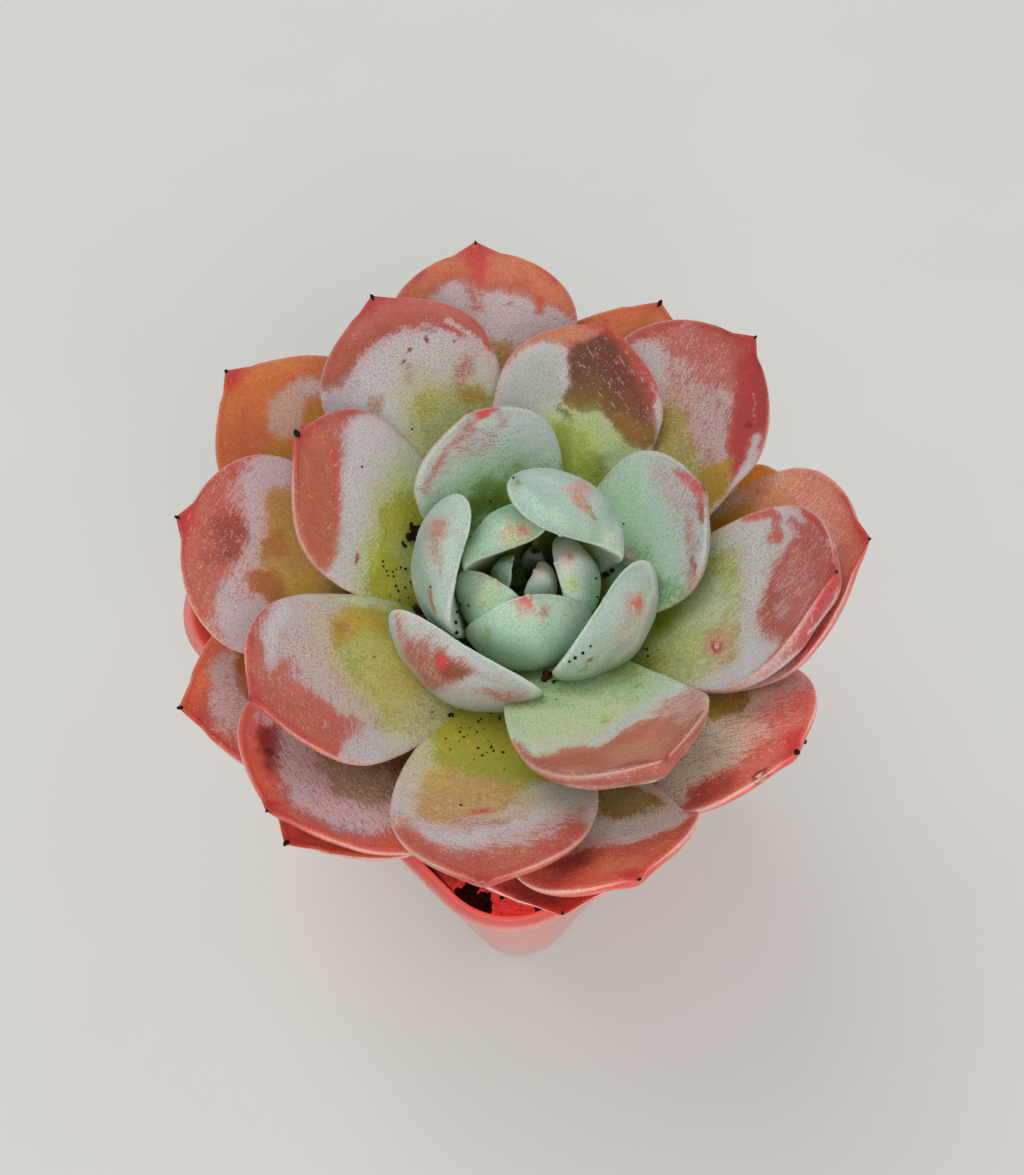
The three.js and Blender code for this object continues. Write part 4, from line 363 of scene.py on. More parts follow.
        ("t", (124, 82, 40), 1.5, 1, 0, 1, ((32.1, -4.1), (30.4, -1.9), (29.0, 0.3), (26.5, 1.7), (24.1, 3.3), (20.0, 3.2), (23.2, 4.4), (26.3, 5.4), (30.2, 7.8), (32.1, 6.5), (33.3, 5.1), (34.4, 3.8), (34.8, 1.1), (33.6, -1.1))),
        ("f", 0.14, 1.2, 1, 0, 1, ((32.3, -3.8), (30.7, -1.8), (29.0, 0.3), (26.5, 1.7), (24.1, 3.3), (20.0, 3.2), (23.2, 4.4), (26.3, 5.4), (30.2, 7.8), (32.1, 6.5), (33.3, 5.1), (34.4, 3.8), (34.6, 1.3), (33.2, -1.1))),
        # a dark brown band under the leaf above: partly the brown tissue, partly painted shade
        ("t", (72, 42, 24), 1.2, 0.8, 0, 1, ((32.4, -6.8), (31.8, -4.9), (31.1, -2.8), (29.9, -1.2), (28.5, 0.6), (31.5, 0.1), (32.3, -1.8), (33.1, -3.5))),
        ("w", 0.8, 1.3, 1, 0, 1, ((32.6, -2.2), (30.7, -0.3), (28.5, 1.6), (30.2, 4.1), (31.9, 6.3), (33.5, 4.8), (35.2, 3.5), (33.8, 0.7))),
        ("f", 0.42, 1, 0.8, 0, 1, ((32.6, -0.6), (31.4, 0.9), (30.4, 2.3), (32.4, 4.9), (34.4, 3.0))),
        ("t", (184, 96, 86), 1.2, 0.7, 0, 1, ((40.3, 1.2), (38.4, 2.7), (36.5, 4.1), (37.9, 6.2), (39.4, 5.0), (40.8, 3.6))),
        ("t", (180, 84, 68), 1.2, 0.7, 0, 1, ((39.2, 8.2), (36.5, 9.5), (33.6, 10.8), (35.6, 12.1), (37.5, 11.0), (39.2, 9.7))),
        ("t", (200, 100, 96), 0.3, 0.7, 0.5, 1, ((33.1, -14.1), (35.8, -11.8), (38.5, -8.6))),
        ("f", 0.75, 0.3, 0.7, 0.35, 1, ((33.5, -13.5), (35.6, -11.3))),
        ("t", (176, 36, 40), 0.3, 0.8, 0.3, 1, ((43.9, -0.9), (42.1, 0.1))),
        ("p", 0.5, 1.2, 1, 0, 1, ((35.1, -5.7), (34.3, -3.1), (33.2, -0.7), (34.6, 1.4), (35.8, 3.4), (37.9, 2.1), (39.8, 0.7), (37.5, -2.4))),
        ("x", (196, 170, 172), 2, 0.7, 0, 1, ((32.9, -6.3), (33.3, -2.6), (33.5, 1.2), (32.6, 3.7), (31.9, 6.3), (31.1, 8.8), (35.5, 9.6), (36.2, 7.0), (37.0, 4.5), (37.9, 2.1), (36.1, -0.7), (34.6, -3.3))),
        ("b", 1, 1, 1, 0, 1, ((35.0, -9.4), (32.9, -7.0), (30.8, -4.6), (28.9, -2.0), (26.8, 0.6), (24.9, 3.4), (28.2, 6.2), (31.4, 9.1), (34.8, 11.9), (36.4, 9.4), (37.9, 6.8), (39.3, 4.3), (41.1, 2.0), (38.9, -1.8), (37.0, -5.6))),
        ("t", (152, 126, 98), 1.2, 0.8, 0, 1, ((31.1, -2.8), (29.5, -0.1), (28.2, 1.8), (26.6, 3.5), (28.9, 6.5), (32.9, 5.9), (34.0, 4.2), (35.2, 2.7), (34.3, -1.0))),
        ("f", 0.32, 1.2, 0.8, 0, 1, ((31.1, -2.8), (29.5, -0.1), (28.2, 1.8), (26.6, 3.5), (28.9, 6.5), (32.9, 5.9), (34.0, 4.2), (35.2, 2.7), (34.3, -1.0))),
        ("w", 0.9, 1, 1, 0, 1, ((31.1, -2.8), (29.5, -0.1), (28.2, 1.8), (26.6, 3.5), (28.9, 6.5), (32.9, 5.9), (34.0, 4.2), (35.2, 2.7), (34.3, -1.0))),
        ("p", 0.6, 1, 1, 0, 1, ((31.1, -2.8), (29.5, -0.1), (28.2, 1.8), (26.6, 3.5), (28.9, 6.5), (32.9, 5.9), (32.2, 3.0), (31.6, 0.1))),
        ("b", 1, 1, 1, 0, 1, ((28.3, -11.3), (27.7, -7.8), (27.1, -4.3), (26.5, -0.9), (26.0, 2.6), (28.9, 5.2), (31.5, 7.7), (34.4, 10.2), (35.8, 7.8), (37.2, 5.5), (38.4, 3.1), (39.8, 0.7), (37.0, -2.0), (34.1, -5.1), (31.2, -8.1))),
        ("w", 0.9, 1, 1, 0, 1, ((32.9, -6.3), (31.2, -4.1), (29.4, -2.1), (27.7, 0.3), (26.0, 2.6), (29.0, 5.5), (32.1, 8.1), (34.3, 5.8), (36.5, 3.6), (38.9, 1.5), (36.8, -1.1), (35.0, -3.6))),
    ],
    "base_leaf_left_front": [
        ("t", (176, 74, 52), 1.2, 1, 0, -1, ((41.4, -3.6), (43.4, -2.2), (45.0, -0.9), (44.0, 1.3), (43.1, 3.5), (42.3, 5.8), (39.9, 7.3), (37.6, 8.9), (35.5, 10.6), (32.6, 9.0), (34.4, 6.7), (36.2, 4.4), (38.3, 2.3), (39.5, -0.9))),
        ("f", 0.06, 1, 1, 0, -1, ((41.4, -3.6), (43.4, -2.2), (45.0, -0.9), (44.0, 1.3), (43.1, 3.5), (42.3, 5.8), (39.9, 7.3), (37.6, 8.9), (35.5, 10.6), (32.6, 9.0), (34.4, 6.7), (36.2, 4.4), (38.3, 2.3), (39.5, -0.9))),
        ("t", (168, 92, 60), 1, 0.85, 0, -1, ((41.0, -3.9), (38.8, -1.6), (36.6, 0.9), (35.2, 3.3), (33.9, 5.8), (32.7, 8.3), (31.9, 10.7), (30.9, 12.9), (33.2, 14.7), (35.1, 12.2), (37.2, 9.8), (39.3, 7.4), (41.7, 5.3), (43.4, 2.6), (44.8, -0.2), (43.0, -1.9))),
        ("f", 0.22, 1, 0.8, 0, -1, ((41.0, -3.9), (38.8, -1.6), (36.6, 0.9), (35.2, 3.3), (33.9, 5.8), (32.7, 8.3), (31.9, 10.7), (30.9, 12.9), (33.2, 14.7), (35.1, 12.2), (37.2, 9.8), (39.3, 7.4), (41.7, 5.3), (43.4, 2.6), (44.8, -0.2), (43.0, -1.9))),
    ],
    "base_leaf_left": [
        ("t", (192, 96, 70), 1, 1, 0, 1, ((37.9, -9.7), (40.6, -6.5), (43.3, -3.3), (45.8, -0.4), (43.7, 2.1), (42.4, 0.4), (41.2, -1.3), (39.5, -4.7), (37.3, -6.2), (35.1, -7.7))),
        ("f", 0.08, 0.8, 1, 0, 1, ((37.9, -9.7), (40.6, -6.5), (43.3, -3.3), (45.8, -0.4), (43.7, 2.1), (42.4, 0.4), (41.2, -1.3), (39.5, -4.7), (37.3, -6.2), (35.1, -7.7))),
        ("t", (166, 120, 112), 1.2, 1, 0, 1, ((39.2, -5.2), (37.0, -6.8), (35.1, -6.7), (35.3, -3.1), (35.4, 0.4), (36.8, 3.4), (38.1, 6.3), (40.2, 4.1), (40.9, 2.1), (41.5, 0.1), (40.3, -2.5))),
        ("f", 0.62, 1, 1, 0, 1, ((39.2, -5.2), (37.0, -6.8), (35.1, -6.7), (35.3, -3.1), (35.4, 0.4), (36.8, 3.4), (38.1, 6.3), (40.2, 4.1), (40.9, 2.1), (41.5, 0.1), (40.3, -2.5))),
        ("t", (148, 82, 34), 0.8, 1, 0, 1, ((35.8, -7.3), (33.6, -6.4), (34.4, -2.9), (35.1, 0.2), (36.3, -0.4), (36.6, -4.2))),
        ("f", 0.03, 0.6, 1, 0, 1, ((35.8, -7.3), (33.6, -6.4), (34.4, -2.9), (35.1, 0.2), (36.3, -0.4), (36.6, -4.2))),
        ("t", (176, 88, 76), 1, 0.9, 0, -1, ((43.7, 1.5), (41.4, 1.4), (39.7, 4.0), (38.1, 6.7), (38.4, 9.6), (40.0, 7.5), (41.6, 5.4), (42.7, 3.4))),
        ("f", 0.28, 1, 0.9, 0, -1, ((43.7, 1.5), (41.4, 1.4), (39.7, 4.0), (38.1, 6.7), (38.4, 9.6), (40.0, 7.5), (41.6, 5.4), (42.7, 3.4))),
    ],
    "outer_leaf_front": [
        ("t", (142, 146, 52), 1.6, 1, 0, 1, ((13.7, -9.1), (13.2, -6.4), (12.3, -3.7), (11.2, -1.1), (15.0, -0.2), (18.7, 0.8), (21.0, 2.2), (23.5, 3.6), (25.0, 5.5), (26.3, 7.4), (28.3, 5.0), (28.4, 2.7), (28.7, 0.5), (27.1, -2.3), (26.2, -4.0), (25.3, -5.8), (24.2, -8.7), (19.3, -8.8))),
        ("f", 0.1, 1.4, 1, 0, 1, ((13.7, -9.1), (13.2, -6.4), (12.3, -3.7), (11.2, -1.1), (15.0, -0.2), (18.7, 0.8), (21.0, 2.2), (23.5, 3.6), (25.0, 5.5), (26.3, 7.4), (28.3, 5.0), (28.4, 2.7), (28.7, 0.5), (27.1, -2.3), (26.2, -4.0), (25.3, -5.8), (24.2, -8.7), (19.3, -8.8))),
        ("t", (172, 134, 78), 1.6, 0.9, 0, 1, ((30.6, -9.8), (28.1, -9.3), (25.8, -8.7), (24.4, -6.1), (25.1, -4.1), (25.8, -2.2), (26.3, 0.2), (26.9, 2.6), (29.9, 3.3), (32.8, 0.9), (33.1, -0.8), (33.7, -2.3), (34.2, -4.0), (34.9, -5.7), (34.6, -8.7))),
        ("f", 0.26, 1.4, 0.9, 0, 1, ((30.6, -9.8), (28.1, -9.3), (25.8, -8.7), (24.4, -6.1), (25.1, -4.1), (25.8, -2.2), (26.3, 0.2), (26.9, 2.6), (29.9, 3.3), (32.8, 0.9), (33.1, -0.8), (33.7, -2.3), (34.2, -4.0), (34.9, -5.7), (34.6, -8.7))),
        ("t", (176, 146, 60), 1.2, 0.7, 0, 1, ((25.5, -8.8), (24.2, -6.3), (27.9, -5.4), (28.8, -7.6))),
        ("w", 0.75, 1.4, 1, 0, 1, ((25.8, -8.7), (25.7, -6.0), (25.3, -3.2), (25.3, -0.4), (25.3, 2.4), (28.9, 2.7), (32.3, 3.0), (32.4, 0.6), (32.7, -1.9), (33.1, -4.4), (33.6, -6.8), (29.8, -7.7))),
        ("t", (176, 158, 150), 1.4, 0.9, 0, 1, ((32.3, -11.8), (29.8, -11.5), (26.9, -11.2), (24.1, -9.0), (26.9, -9.1), (29.9, -9.0), (34.5, -9.1), (37.2, -9.5))),
        ("f", 0.68, 1.1, 0.9, 0, 1, ((32.3, -11.8), (29.8, -11.5), (26.9, -11.2), (24.4, -9.0), (27.0, -9.0), (29.9, -9.0), (34.5, -9.1), (37.2, -9.5))),
        ("t", (174, 158, 156), 1.4, 0.9, 0, 1, ((35.1, -9.8), (35.7, -7.6), (37.2, -4.6), (36.3, -2.1), (35.3, -0.5), (34.4, 1.1), (33.5, 2.6), (32.7, 4.2), (29.9, 5.7), (27.2, 3.8), (26.9, 5.5), (26.6, 7.2), (26.5, 9.2), (26.7, 11.1), (31.6, 11.9), (36.0, 11.0), (37.2, 10.1), (34.3, 8.9), (32.4, 7.3), (34.1, 5.4), (35.5, 3.3), (36.3, 1.2), (37.9, -0.8), (40.6, -2.7), (40.9, -3.9), (39.4, -5.4), (38.3, -7.2), (37.0, -9.3))),
        ("f", 0.84, 0.9, 1, 0, 1, ((35.1, -9.8), (36.1, -7.6), (37.4, -4.7), (36.4, -2.1), (35.6, -0.4), (34.6, 1.1), (33.9, 2.7), (33.1, 4.3), (30.5, 5.8), (27.4, 3.8), (27.0, 5.5), (26.7, 7.2), (26.6, 9.3), (26.5, 11.3), (31.6, 12.2), (36.4, 11.1), (37.2, 10.2), (34.9, 9.2), (32.4, 7.3), (34.1, 5.4), (35.5, 3.3), (36.3, 1.2), (37.9, -0.8), (40.6, -2.7), (40.9, -3.9), (39.4, -5.4), (38.3, -7.2), (37.0, -9.3))),
        ("f", 0.35, 1, 0.8, 0, 1, ((34.5, -4.5), (34.0, -1.8), (33.5, 0.9), (32.3, 3.0), (34.7, 1.6), (35.3, -0.3), (36.1, -2.1), (36.3, -4.5))),
        ("t", (170, 112, 88), 1, 0.7, 0, 1, ((34.5, -4.5), (33.9, -1.8), (33.1, 0.9), (32.3, 3.0), (34.7, 1.6), (35.5, -0.2), (35.9, -2.1), (36.3, -4.5))),
        ("t", (168, 88, 72), 1, 1, 0, -1, ((36.8, -10.5), (36.6, -9.1), (37.2, -7.4), (38.6, -5.3), (39.8, -3.3), (39.7, -2.3), (40.0, 1.0), (39.4, 2.3), (38.0, 4.7), (36.1, 6.7), (31.9, 8.4), (34.6, 9.5), (37.6, 10.5), (39.3, 9.5), (41.4, 7.6), (42.6, 5.7), (43.8, 3.7), (44.8, 1.8), (46.7, 0.4), (47.5, -1.0), (46.0, -3.3), (45.6, -5.4), (43.5, -7.2), (41.6, -9.1), (38.8, -9.9))),
        ("f", 0.1, 0.7, 1, 0, -1, ((36.8, -10.5), (36.6, -9.1), (37.2, -7.4), (38.6, -5.3), (39.8, -3.3), (39.7, -2.3), (40.0, 1.0), (39.4, 2.3), (38.0, 4.7), (36.1, 6.7), (31.9, 8.4), (34.6, 9.5), (37.6, 10.5), (39.3, 9.5), (41.4, 7.6), (42.6, 5.7), (43.8, 3.7), (44.8, 1.8), (46.7, 0.4), (47.5, -1.0), (46.0, -3.3), (45.6, -5.4), (43.5, -7.2), (41.6, -9.1), (38.8, -9.9))),
        ("t", (160, 74, 54), 1, 0.8, 0, 1, ((34.8, 4.9), (32.7, 7.8), (35.8, 9.6), (38.4, 10.1), (37.3, 7.7), (36.5, 5.5))),
        ("t", (174, 116, 82), 1.6, 0.7, 0, 1, ((38.5, 0.4), (37.9, 2.9), (37.5, 5.6), (41.3, 6.3), (42.0, 4.0), (42.6, 1.7))),
        ("t", (150, 62, 50), 1, 0.7, 0, 1, ((37.2, -9.5), (37.9, -7.8), (41.0, -7.0), (41.4, -8.3))),
        ("t", (166, 46, 50), 0.6, 0.8, 0, 1, ((45.4, -1.4), (44.1, -0.1), (45.2, 1.7), (46.8, 0.1))),
        ("f", 0.5, 0.5, 0.7, 0, 1, ((39.6, 8.0), (38.7, 9.9), (41.1, 9.7), (41.1, 8.4))),
        ("f", 0.55, 0.3, 0.7, 0.3, 1, ((37.2, 4.2), (36.0, 6.1), (35.4, 7.6))),
        ("t", (178, 64, 62), 0.3, 0.9, 0.4, 1, ((32.4, -1.8), (32.0, -1.0))),
        ("f", 0.1, 0.3, 0.8, 0.35, 1, ((32.4, -1.8), (32.0, -1.0))),
        ("t", (220, 214, 170), 0.2, 1, 0.5, 1, ((45.6, 0.0),)),
        ("b", 1, 1, 1, 0, 1, ((33.0, 0.9), (32.5, 3.5), (32.4, 6.0), (32.3, 8.6), (36.0, 9.6), (39.9, 10.4), (39.9, 7.4), (40.3, 4.3), (40.4, 1.3), (40.7, -1.7), (41.5, -4.7), (39.0, -6.0), (36.8, -3.8), (34.9, -1.6))),
        ("p", 0.45, 1.2, 1, 0, 1, ((29.0, 5.8), (28.5, 8.2), (27.9, 10.7), (32.1, 10.8), (36.0, 10.9), (34.1, 9.2), (32.4, 7.5))),
        ("w", 0.4, 1.2, 1, 0, 1, ((41.5, -4.7), (40.4, -2.3), (39.4, 0.2), (38.5, 2.7), (37.5, 5.2), (36.9, 7.7), (41.4, 7.8), (42.2, 5.4), (42.7, 3.0), (43.3, 0.5), (44.0, -1.9), (45.1, -4.2))),
        ("x", (176, 172, 122), 4, 0.7, 0, 1, ((17.1, -12.2), (16.2, -8.6), (15.7, -5.0), (15.2, -1.2), (19.9, 0.2), (24.9, 1.6), (29.9, 2.9), (30.1, 0.0), (30.5, -2.8), (30.8, -5.6), (31.1, -8.4), (26.6, -9.6), (21.4, -11.0))),
        ("t", (156, 146, 44), 3, 0.75, 0, 1, ((12.7, -10.6), (11.7, -7.6), (11.7, -4.3), (11.2, -1.2), (10.7, 2.0), (14.6, 2.9), (18.3, 3.7), (22.3, 4.5), (22.4, 1.2), (22.8, -2.0), (23.3, -5.3), (23.8, -8.5), (18.1, -9.6))),
        ("f", 0.1, 1.2, 0.8, 0, 1, ((34.2, -10.1), (36.2, -8.0), (38.0, -6.2), (39.2, -3.9), (40.2, -1.7), (39.6, 0.9), (39.2, 3.6), (38.0, 5.6), (36.9, 7.7), (34.6, 8.7), (32.1, 9.7), (36.0, 10.9), (38.8, 9.3), (41.4, 7.8), (42.7, 5.8), (44.0, 3.8), (45.5, 1.9), (44.4, -0.2), (43.7, -2.4), (43.3, -4.4), (41.0, -6.8), (38.4, -9.4))),
        ("t", (176, 84, 70), 1.2, 0.6, 0, 1, ((34.2, -10.1), (36.2, -8.0), (38.0, -6.2), (39.2, -3.9), (40.2, -1.7), (39.6, 0.9), (39.2, 3.6), (38.0, 5.6), (36.9, 7.7), (34.6, 8.7), (32.1, 9.7), (36.0, 10.9), (38.8, 9.3), (41.4, 7.8), (42.7, 5.8), (44.0, 3.8), (45.5, 1.9), (44.4, -0.2), (43.7, -2.4), (43.3, -4.4), (41.0, -6.8), (38.4, -9.4))),
    ],
    "lower_leaf_front": [
        ("t", (116, 88, 30), 1, 1, 0, 1, ((24.7, 1.6), (25.5, 3.3), (26.2, 5.0), (30.2, 6.7), (34.6, 8.2), (36.7, 6.8), (35.6, 4.2), (33.6, 1.8), (31.5, 0.4), (28.1, 1.0))),
        ("f", 0.1, 0.9, 1, 0, 1, ((24.7, 1.6), (25.5, 3.3), (26.2, 5.0), (30.2, 6.7), (34.6, 8.2), (36.5, 6.8), (35.6, 4.1), (33.2, 1.9), (31.5, 0.4), (28.1, 1.1))),
        ("w", 0.6, 1, 1, 0, 1, ((26.7, 2.0), (28.5, 4.0), (30.5, 5.9), (32.8, 7.6), (35.4, 4.3), (33.5, 2.5), (31.5, 0.6))),
        ("t", (172, 156, 148), 1, 1, 0, 1, ((31.3, -0.2), (34.2, 2.2), (35.0, 3.8), (36.0, 5.3), (36.3, 7.0), (36.8, 8.6), (38.6, 9.9), (39.9, 6.6), (39.2, 4.1), (38.8, 1.4), (36.5, -1.0), (34.4, -2.1))),
        ("f", 0.82, 0.9, 1, 0, 1, ((31.3, -0.3), (34.3, 2.2), (35.4, 3.7), (36.2, 5.2), (36.5, 6.9), (36.9, 8.6), (38.8, 9.9), (39.9, 6.6), (39.2, 4.1), (38.8, 1.4), (36.5, -1.0), (34.4, -2.1))),
        ("t", (170, 78, 62), 0.9, 1, 0, 1, ((36.2, -3.9), (36.9, -1.1), (38.1, 0.4), (39.1, 1.7), (39.0, 3.6), (39.0, 5.4), (39.2, 7.5), (39.1, 9.7), (45.1, 7.9), (47.0, 5.7), (48.4, 3.6), (48.5, 1.5), (48.5, -0.6), (47.9, -2.6), (47.0, -4.5), (45.0, -6.7), (43.1, -8.9), (39.6, -11.1), (36.6, -13.5), (36.4, -10.8), (36.6, -8.1), (36.4, -6.0))),
        ("f", 0.12, 0.8, 1, 0, 1, ((36.2, -3.9), (37.1, -1.2), (38.3, 0.2), (39.2, 1.7), (39.2, 3.5), (39.5, 5.3), (39.5, 7.4), (39.5, 9.5), (45.1, 7.9), (47.0, 5.7), (48.4, 3.6), (48.5, 1.5), (48.5, -0.6), (47.9, -2.6), (47.0, -4.5), (45.0, -6.7), (43.1, -8.9), (39.6, -11.1), (36.6, -13.5), (36.4, -10.8), (36.6, -8.1), (36.4, -6.0))),
        ("t", (178, 110, 78), 1, 0.6, 0, 1, ((40.4, -2.2), (41.2, -0.2), (42.5, 1.7), (44.7, 0.9), (43.4, -1.0), (42.2, -2.9))),
        ("t", (172, 40, 42), 0.6, 0.8, 0, 1, ((42.9, -1.7), (44.1, 0.6), (46.6, 0.3), (44.8, -1.5))),
        # a darker brown patch at the left: painted shade
        ("t", (112, 46, 36), 1.2, 0.7, 0, 1, ((36.7, -7.1), (36.7, -4.6), (36.6, -2.2), (39.7, -3.1), (39.4, -4.9), (39.3, -6.6))),
        ("b", 1, 1, 1, 0, 1, ((33.8, -1.3), (35.1, 1.3), (36.2, 4.0), (37.7, 6.5), (39.3, 8.9), (41.8, 7.2), (44.7, 5.6), (43.1, 3.1), (41.5, 0.6), (40.0, -2.1), (36.7, -1.6))),
        # whiter wax and a lighter olive: the leaf's own colours, made lighter as painted light where the leaves above
        # shade it
        ("x", (226, 220, 212), 2, 0.85, 0, 1, ((26.7, 0.1), (29.0, 2.8), (31.2, 5.7), (32.0, 8.5), (32.0, 11.5), (37.4, 10.8), (37.1, 8.5), (36.4, 6.3), (35.6, 4.2), (34.9, 2.0), (33.8, -0.1), (33.1, -2.2), (35.4, -5.3), (36.1, -7.4), (33.0, -4.9), (30.0, -2.4))),
        ("f", 0.85, 1, 0.7, 0, 1, ((32.9, 0.2), (33.2, 2.5), (33.8, 4.8), (33.8, 7.2), (34.2, 9.6), (36.2, 10.3), (37.2, 8.1), (37.6, 5.9), (36.7, 3.2), (36.1, 0.4))),
        ("t", (152, 130, 86), 1, 0.8, 0, 1, ((25.8, 2.0), (26.9, 4.6), (29.4, 5.7), (32.0, 6.7), (35.9, 7.4), (34.6, 5.1), (33.3, 3.4), (32.1, 1.6), (29.6, 0.9))),
    ],
    "base_leaf_front": [
        ("t", (140, 46, 42), 1.2, 1, 0, 1, ((36.9, -7.0), (38.9, -5.5), (41.7, -4.0), (44.4, -2.6), (43.0, -0.4), (42.6, 1.9), (42.1, 4.1), (38.8, 4.6), (37.7, 2.5), (36.5, 0.4), (35.6, -1.8), (36.2, -4.5))),
        ("f", 0.06, 1, 1, 0, 1, ((36.9, -7.0), (38.9, -5.5), (41.7, -4.0), (44.4, -2.6), (43.0, -0.4), (42.6, 1.9), (42.1, 4.1), (38.8, 4.6), (37.7, 2.5), (36.5, 0.4), (35.6, -1.8), (36.2, -4.5))),
        ("t", (98, 38, 30), 1.2, 0.7, 0, 1, ((37.7, -6.5), (39.1, -4.9), (40.8, -3.4), (40.7, -1.8), (40.6, -0.1), (38.5, 0.1), (37.6, -2.0), (36.8, -4.2))),
    ],
    "lower_leaf_right_front": [
        ("t", (150, 112, 94), 1.6, 1, 0, 1, ((21.3, -11.3), (23.2, -8.4), (24.4, -5.4), (25.4, -2.3), (26.5, 0.7), (29.7, 1.7), (33.0, 2.5), (35.4, -1.2), (39.2, -4.2), (37.2, -5.2), (35.6, -6.3), (35.8, -9.6), (34.4, -11.0), (32.2, -12.3), (26.8, -12.0), (24.0, -11.6))),
        ("f", 0.64, 1.4, 1, 0, 1, ((21.3, -11.3), (23.2, -8.4), (24.4, -5.4), (25.4, -2.3), (26.5, 0.7), (29.7, 1.7), (33.0, 2.5), (35.4, -1.2), (39.2, -4.2), (37.3, -5.1), (35.1, -6.1), (35.7, -9.4), (33.9, -10.7), (31.9, -12.0), (26.8, -12.0), (24.0, -11.6))),
        ("t", (118, 94, 24), 1, 1, 0, 1, ((23.0, 4.3), (25.5, 5.5), (28.1, 6.6), (30.6, 8.2), (32.3, 5.2), (32.1, 2.6), (30.0, 0.9), (27.3, 0.2), (25.1, 2.2))),
        ("f", 0.12, 0.9, 1, 0, 1, ((23.0, 4.3), (25.5, 5.5), (28.1, 6.6), (30.6, 8.2), (32.3, 5.2), (32.0, 2.8), (29.8, 1.1), (27.2, 0.5), (25.0, 2.4))),
        ("w", 0.85, 1, 1, 0, 1, ((24.5, 3.6), (27.9, 4.9), (31.5, 5.9), (32.1, 3.8), (33.0, 1.6), (30.2, 0.9), (27.5, 0.0))),
        ("t", (150, 92, 56), 1, 0.7, 0, 1, ((29.4, 3.0), (31.5, 5.5), (34.1, 3.3), (32.8, 0.9))),
        ("t", (170, 134, 116), 1.2, 0.9, 0, 1, ((27.5, 7.5), (28.4, 9.4), (29.0, 11.4), (31.8, 12.5), (37.5, 8.7), (34.8, 7.3), (33.7, 5.5), (33.3, 3.4), (30.4, 5.5))),
        ("f", 0.62, 1, 0.9, 0, 1, ((27.5, 7.5), (28.4, 9.4), (29.0, 11.4), (31.8, 12.5), (37.1, 9.0), (34.7, 7.4), (33.7, 5.7), (32.9, 3.8), (30.2, 5.7))),
        ("t", (184, 88, 76), 1.1, 0.95, 0, 1, ((33.3, 2.8), (33.7, 5.5), (34.1, 7.3), (36.8, 8.3), (38.3, 10.4), (42.6, 6.5), (44.5, 2.4), (41.4, 0.9), (36.6, 2.5))),
        ("f", 0.26, 1, 0.9, 0, 1, ((33.7, 2.7), (34.2, 5.4), (34.7, 7.1), (37.1, 8.0), (38.3, 10.4), (42.6, 6.5), (44.5, 2.4), (41.4, 0.9), (36.8, 2.2))),
        ("t", (176, 86, 74), 1.1, 1, 0, 1, ((33.5, -8.9), (34.5, -6.6), (36.4, -5.0), (38.2, -3.6), (39.0, -0.3), (41.3, 2.0), (41.4, 5.5), (43.6, 3.0), (46.2, 0.4), (46.2, -1.6), (46.2, -3.5), (45.1, -5.4), (44.1, -7.3), (42.0, -8.7), (39.9, -10.1), (35.4, -11.2))),
        ("f", 0.1, 0.9, 1, 0, 1, ((33.9, -8.9), (34.9, -6.5), (36.9, -5.2), (38.7, -3.7), (39.1, -0.5), (41.6, 1.8), (41.6, 5.3), (43.8, 2.8), (46.2, 0.4), (46.2, -1.6), (46.2, -3.5), (45.1, -5.4), (44.1, -7.3), (42.0, -8.7), (39.9, -10.1), (35.4, -11.2))),
        ("t", (148, 54, 44), 1.2, 0.8, 0, 1, ((34.0, -8.8), (35.1, -6.6), (37.2, -5.6), (39.7, -4.7), (40.4, -7.1), (38.5, -9.1), (35.7, -10.2))),
        ("t", (176, 40, 44), 0.9, 0.85, 0, 1, ((40.9, 1.3), (42.4, 3.5), (45.8, -0.3), (44.0, -1.3))),
        ("t", (186, 98, 84), 1.4, 0.5, 0, 1, ((38.9, -3.4), (40.4, -1.8), (42.1, -0.4), (43.3, -2.7), (41.6, -5.4))),
        ("t", (90, 24, 26), 0.2, 1, 0.85, 1, ((41.9, -4.1),)),
        ("t", (190, 140, 130), 0.15, 1, 0.35, 1, ((41.9, -4.1),)),
        ("f", 0, 0.2, 1, 0.9, 1, ((41.9, -4.1),)),
        ("t", (132, 92, 38), 0.8, 0.9, 0, 1, ((25.4, -10.6), (27.6, -9.4), (30.9, -10.9), (29.1, -12.3))),
        ("f", 0.28, 0.7, 0.9, 0, 1, ((25.4, -10.6), (27.6, -9.4), (30.9, -10.9), (29.1, -12.3))),
        ("b", 1, 1, 1, 0, 1, ((27.0, 0.1), (30.0, 2.5), (33.2, 4.7), (35.8, 7.0), (38.3, 9.2), (41.1, 5.3), (43.1, 1.8), (41.8, -1.0), (40.4, -3.8), (38.5, -6.5), (36.4, -9.2), (33.5, -6.3), (30.2, -3.1))),
        ("x", (194, 176, 166), 2, 0.85, 0, 1, ((23.2, 4.0), (25.9, 5.7), (28.6, 7.3), (31.2, 8.8), (35.1, 6.1), (38.7, 3.6), (42.0, 1.4), (41.8, -1.3), (41.6, -4.0), (40.9, -6.3), (36.9, -6.9), (32.8, -7.5), (29.7, -5.4), (26.6, -3.3), (25.1, 0.2))),
        # lighter wax, a lighter olive and more wax: the leaf's own colours, made lighter as painted light where the
        # leaf above shades it
        ("x", (222, 206, 190), 2.5, 0.8, 0, 1, ((22.0, 3.4), (24.5, 5.2), (27.3, 6.8), (30.1, 8.3), (34.9, 6.1), (34.5, 3.3), (34.0, 0.7), (35.1, -2.2), (36.1, -5.1), (34.1, -7.0), (32.2, -9.0), (28.0, -7.6), (26.1, -4.1), (24.2, -0.4))),
        ("t", (156, 128, 62), 2, 0.6, 0, 1, ((22.0, 3.4), (25.3, 5.3), (28.5, 7.1), (32.8, 3.7), (31.6, 1.6), (30.3, -0.4), (25.8, -0.5))),
